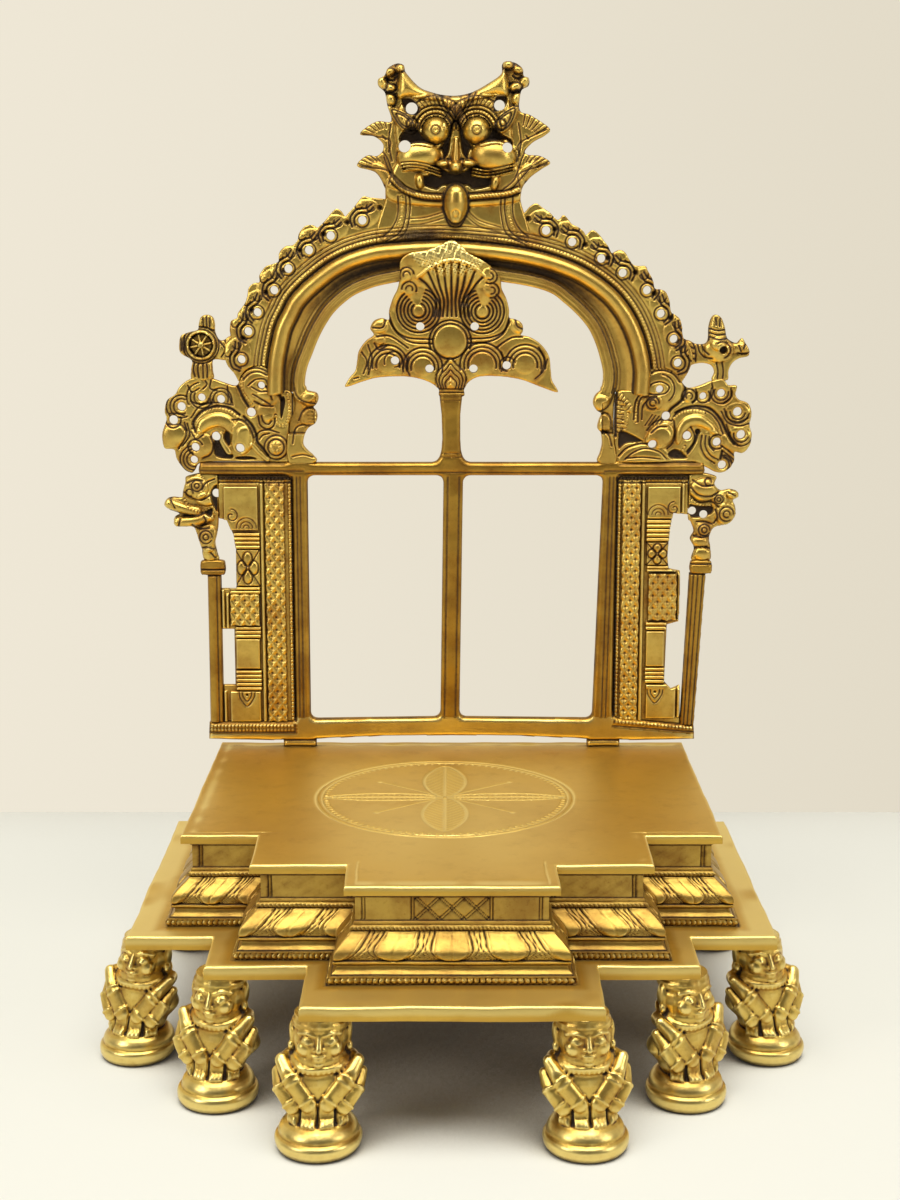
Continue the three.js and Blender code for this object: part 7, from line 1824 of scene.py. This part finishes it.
def backdrop_material(name, colour, shown, kept, under):
    """A pale matt surface, painted dark brown where nearby things cover it, a painted shadow as strong as under says.
    The camera and the brass see the shown colours, from left to right, outside that shadow; the rest is lit.
    """
    material = bpy.data.materials.new(name)
    material.use_nodes = True
    tree = material.node_tree
    tree.nodes.clear()
    # Painted shadow: where other things cover the surface, its colour goes dark brown.
    near = node(tree, "ShaderNodeAmbientOcclusion", {"Distance": 0.16}, samples=12)
    painted_shadow = maths(tree, "MULTIPLY", ramp(tree, near.outputs["AO"], 0.44, 0.08), under)
    matt = node(tree, "ShaderNodeBsdfDiffuse", {"Color": blend_colours(tree, painted_shadow, colour + (1,),
        (0.07, 0.045, 0.02, 1))})
    place = node(tree, "ShaderNodeTexCoord").outputs["Object"]
    across = ramp(tree, node(tree, "ShaderNodeSeparateXYZ", {"Vector": place}).outputs["X"], -0.45, 0.45)
    plain = node(tree, "ShaderNodeEmission", {"Color": blend_colours(tree, across, shown[0] + (1,), shown[1] + (1,))})
    path = node(tree, "ShaderNodeLightPath")
    seen = maths(tree, "MAXIMUM", path.outputs["Is Camera Ray"], path.outputs["Is Glossy Ray"])
    open_air = maths(tree, "MAXIMUM", ramp(tree, near.outputs["AO"], 0.34, 0.66), maths(tree, "SUBTRACT", 1.0, under))
    share = maths(tree, "MULTIPLY", maths(tree, "MULTIPLY", seen, kept), open_air)
    mixed = node(tree, "ShaderNodeMixShader", {0: share, 1: matt.outputs[0], 2: plain.outputs[0]})
    clear = node(tree, "ShaderNodeBsdfTransparent")
    facing = node(tree, "ShaderNodeNewGeometry").outputs["Backfacing"]
    choice = node(tree, "ShaderNodeMixShader", {0: facing, 1: mixed.outputs[0], 2: clear.outputs[0]})
    out = node(tree, "ShaderNodeOutputMaterial")
    tree.links.new(choice.outputs[0], out.inputs["Surface"])
    return material


# The table takes a painted shadow under the throne.
table_material = backdrop_material("white_table", (0.70, 0.69, 0.625), ((0.95, 0.94, 0.83),) * 2, 0.5, 0.95)
# The wall's shown colour darkens from left to right, painted light falling from the left.
wall_material = backdrop_material("cream_wall", (0.22, 0.20, 0.17), ((0.88, 0.82, 0.69), (0.75, 0.69, 0.56)), 1.0, 0.0)

for name, material, half, turn, place in (("floor", table_material, 3, 0, (0, 0, 0)),
                                          ("wall", wall_material, 1.6, 90, (0, TABLE_BACK, 1.6))):
    bm = bmesh.new()
    bmesh.ops.create_grid(bm, x_segments=1, y_segments=1, size=half)
    bmesh.ops.rotate(bm, verts=bm.verts, cent=(0, 0, 0), matrix=Matrix.Rotation(math.radians(turn), 3, "X"))
    bmesh.ops.translate(bm, verts=bm.verts, vec=place)
    mesh = bpy.data.meshes.new(name)
    bm.to_mesh(mesh)
    bm.free()
    mesh.materials.append(material)
    backdrop = put_in_scene(name, mesh)


middle = (0, 0, 0.15)


def add_light(name, place, size, power, colour):
    lamp = bpy.data.lights.new(name, "AREA")
    lamp.shape = "RECTANGLE"
    lamp.size, lamp.size_y = size
    lamp.energy = power
    lamp.color = colour
    light = put_in_scene(name, lamp)
    light.location = place
    light.rotation_euler = (Vector(middle) - Vector(place)).to_track_quat("-Z", "Y").to_euler()


add_light("overhead", (0.0, -0.35, 1.3), (1.3, 0.9), 19, (1, 0.98, 0.93))
add_light("left_window", (-1.2, -0.9, 0.85), (0.45, 0.8), 8, (1, 0.98, 0.95))
add_light("right_window", (1.3, -0.7, 0.7), (0.4, 0.7), 5, (1, 0.97, 0.93))

world = bpy.data.worlds.new("room")
bpy.context.scene.world = world
world.use_nodes = True
room = world.node_tree
direction = node(room, "ShaderNodeTexCoord").outputs["Generated"]
parts = node(room, "ShaderNodeSeparateXYZ", {"Vector": direction})
behind_camera = ramp(room, parts.outputs["Y"], 0.1, -0.75)
high = ramp(room, parts.outputs["Z"], 0.0, 0.9)
pale = blend_colours(room, high, (0.24, 0.22, 0.19, 1), (0.70, 0.68, 0.62, 1))
light_of_room = blend_colours(room, maths(room, "MULTIPLY", behind_camera, 0.75), pale, (0.05, 0.045, 0.04, 1))
seen = node(room, "ShaderNodeLightPath").outputs["Is Camera Ray"]
light_of_room = blend_colours(room, seen, light_of_room, (0.80, 0.74, 0.62, 1))
room.links.new(light_of_room, room.nodes["Background"].inputs["Color"])
room.nodes["Background"].inputs["Strength"].default_value = 1.0

lens = bpy.data.cameras.new("camera")
lens.lens = 57.9
lens.sensor_width = 36
camera = put_in_scene("camera", lens)
camera.location = (-0.0007, -0.700, 0.3085)
camera.rotation_euler = (math.radians(90 - 11.22), 0, 0)
bpy.context.scene.camera = camera
bpy.context.scene.view_settings.view_transform = "Standard"
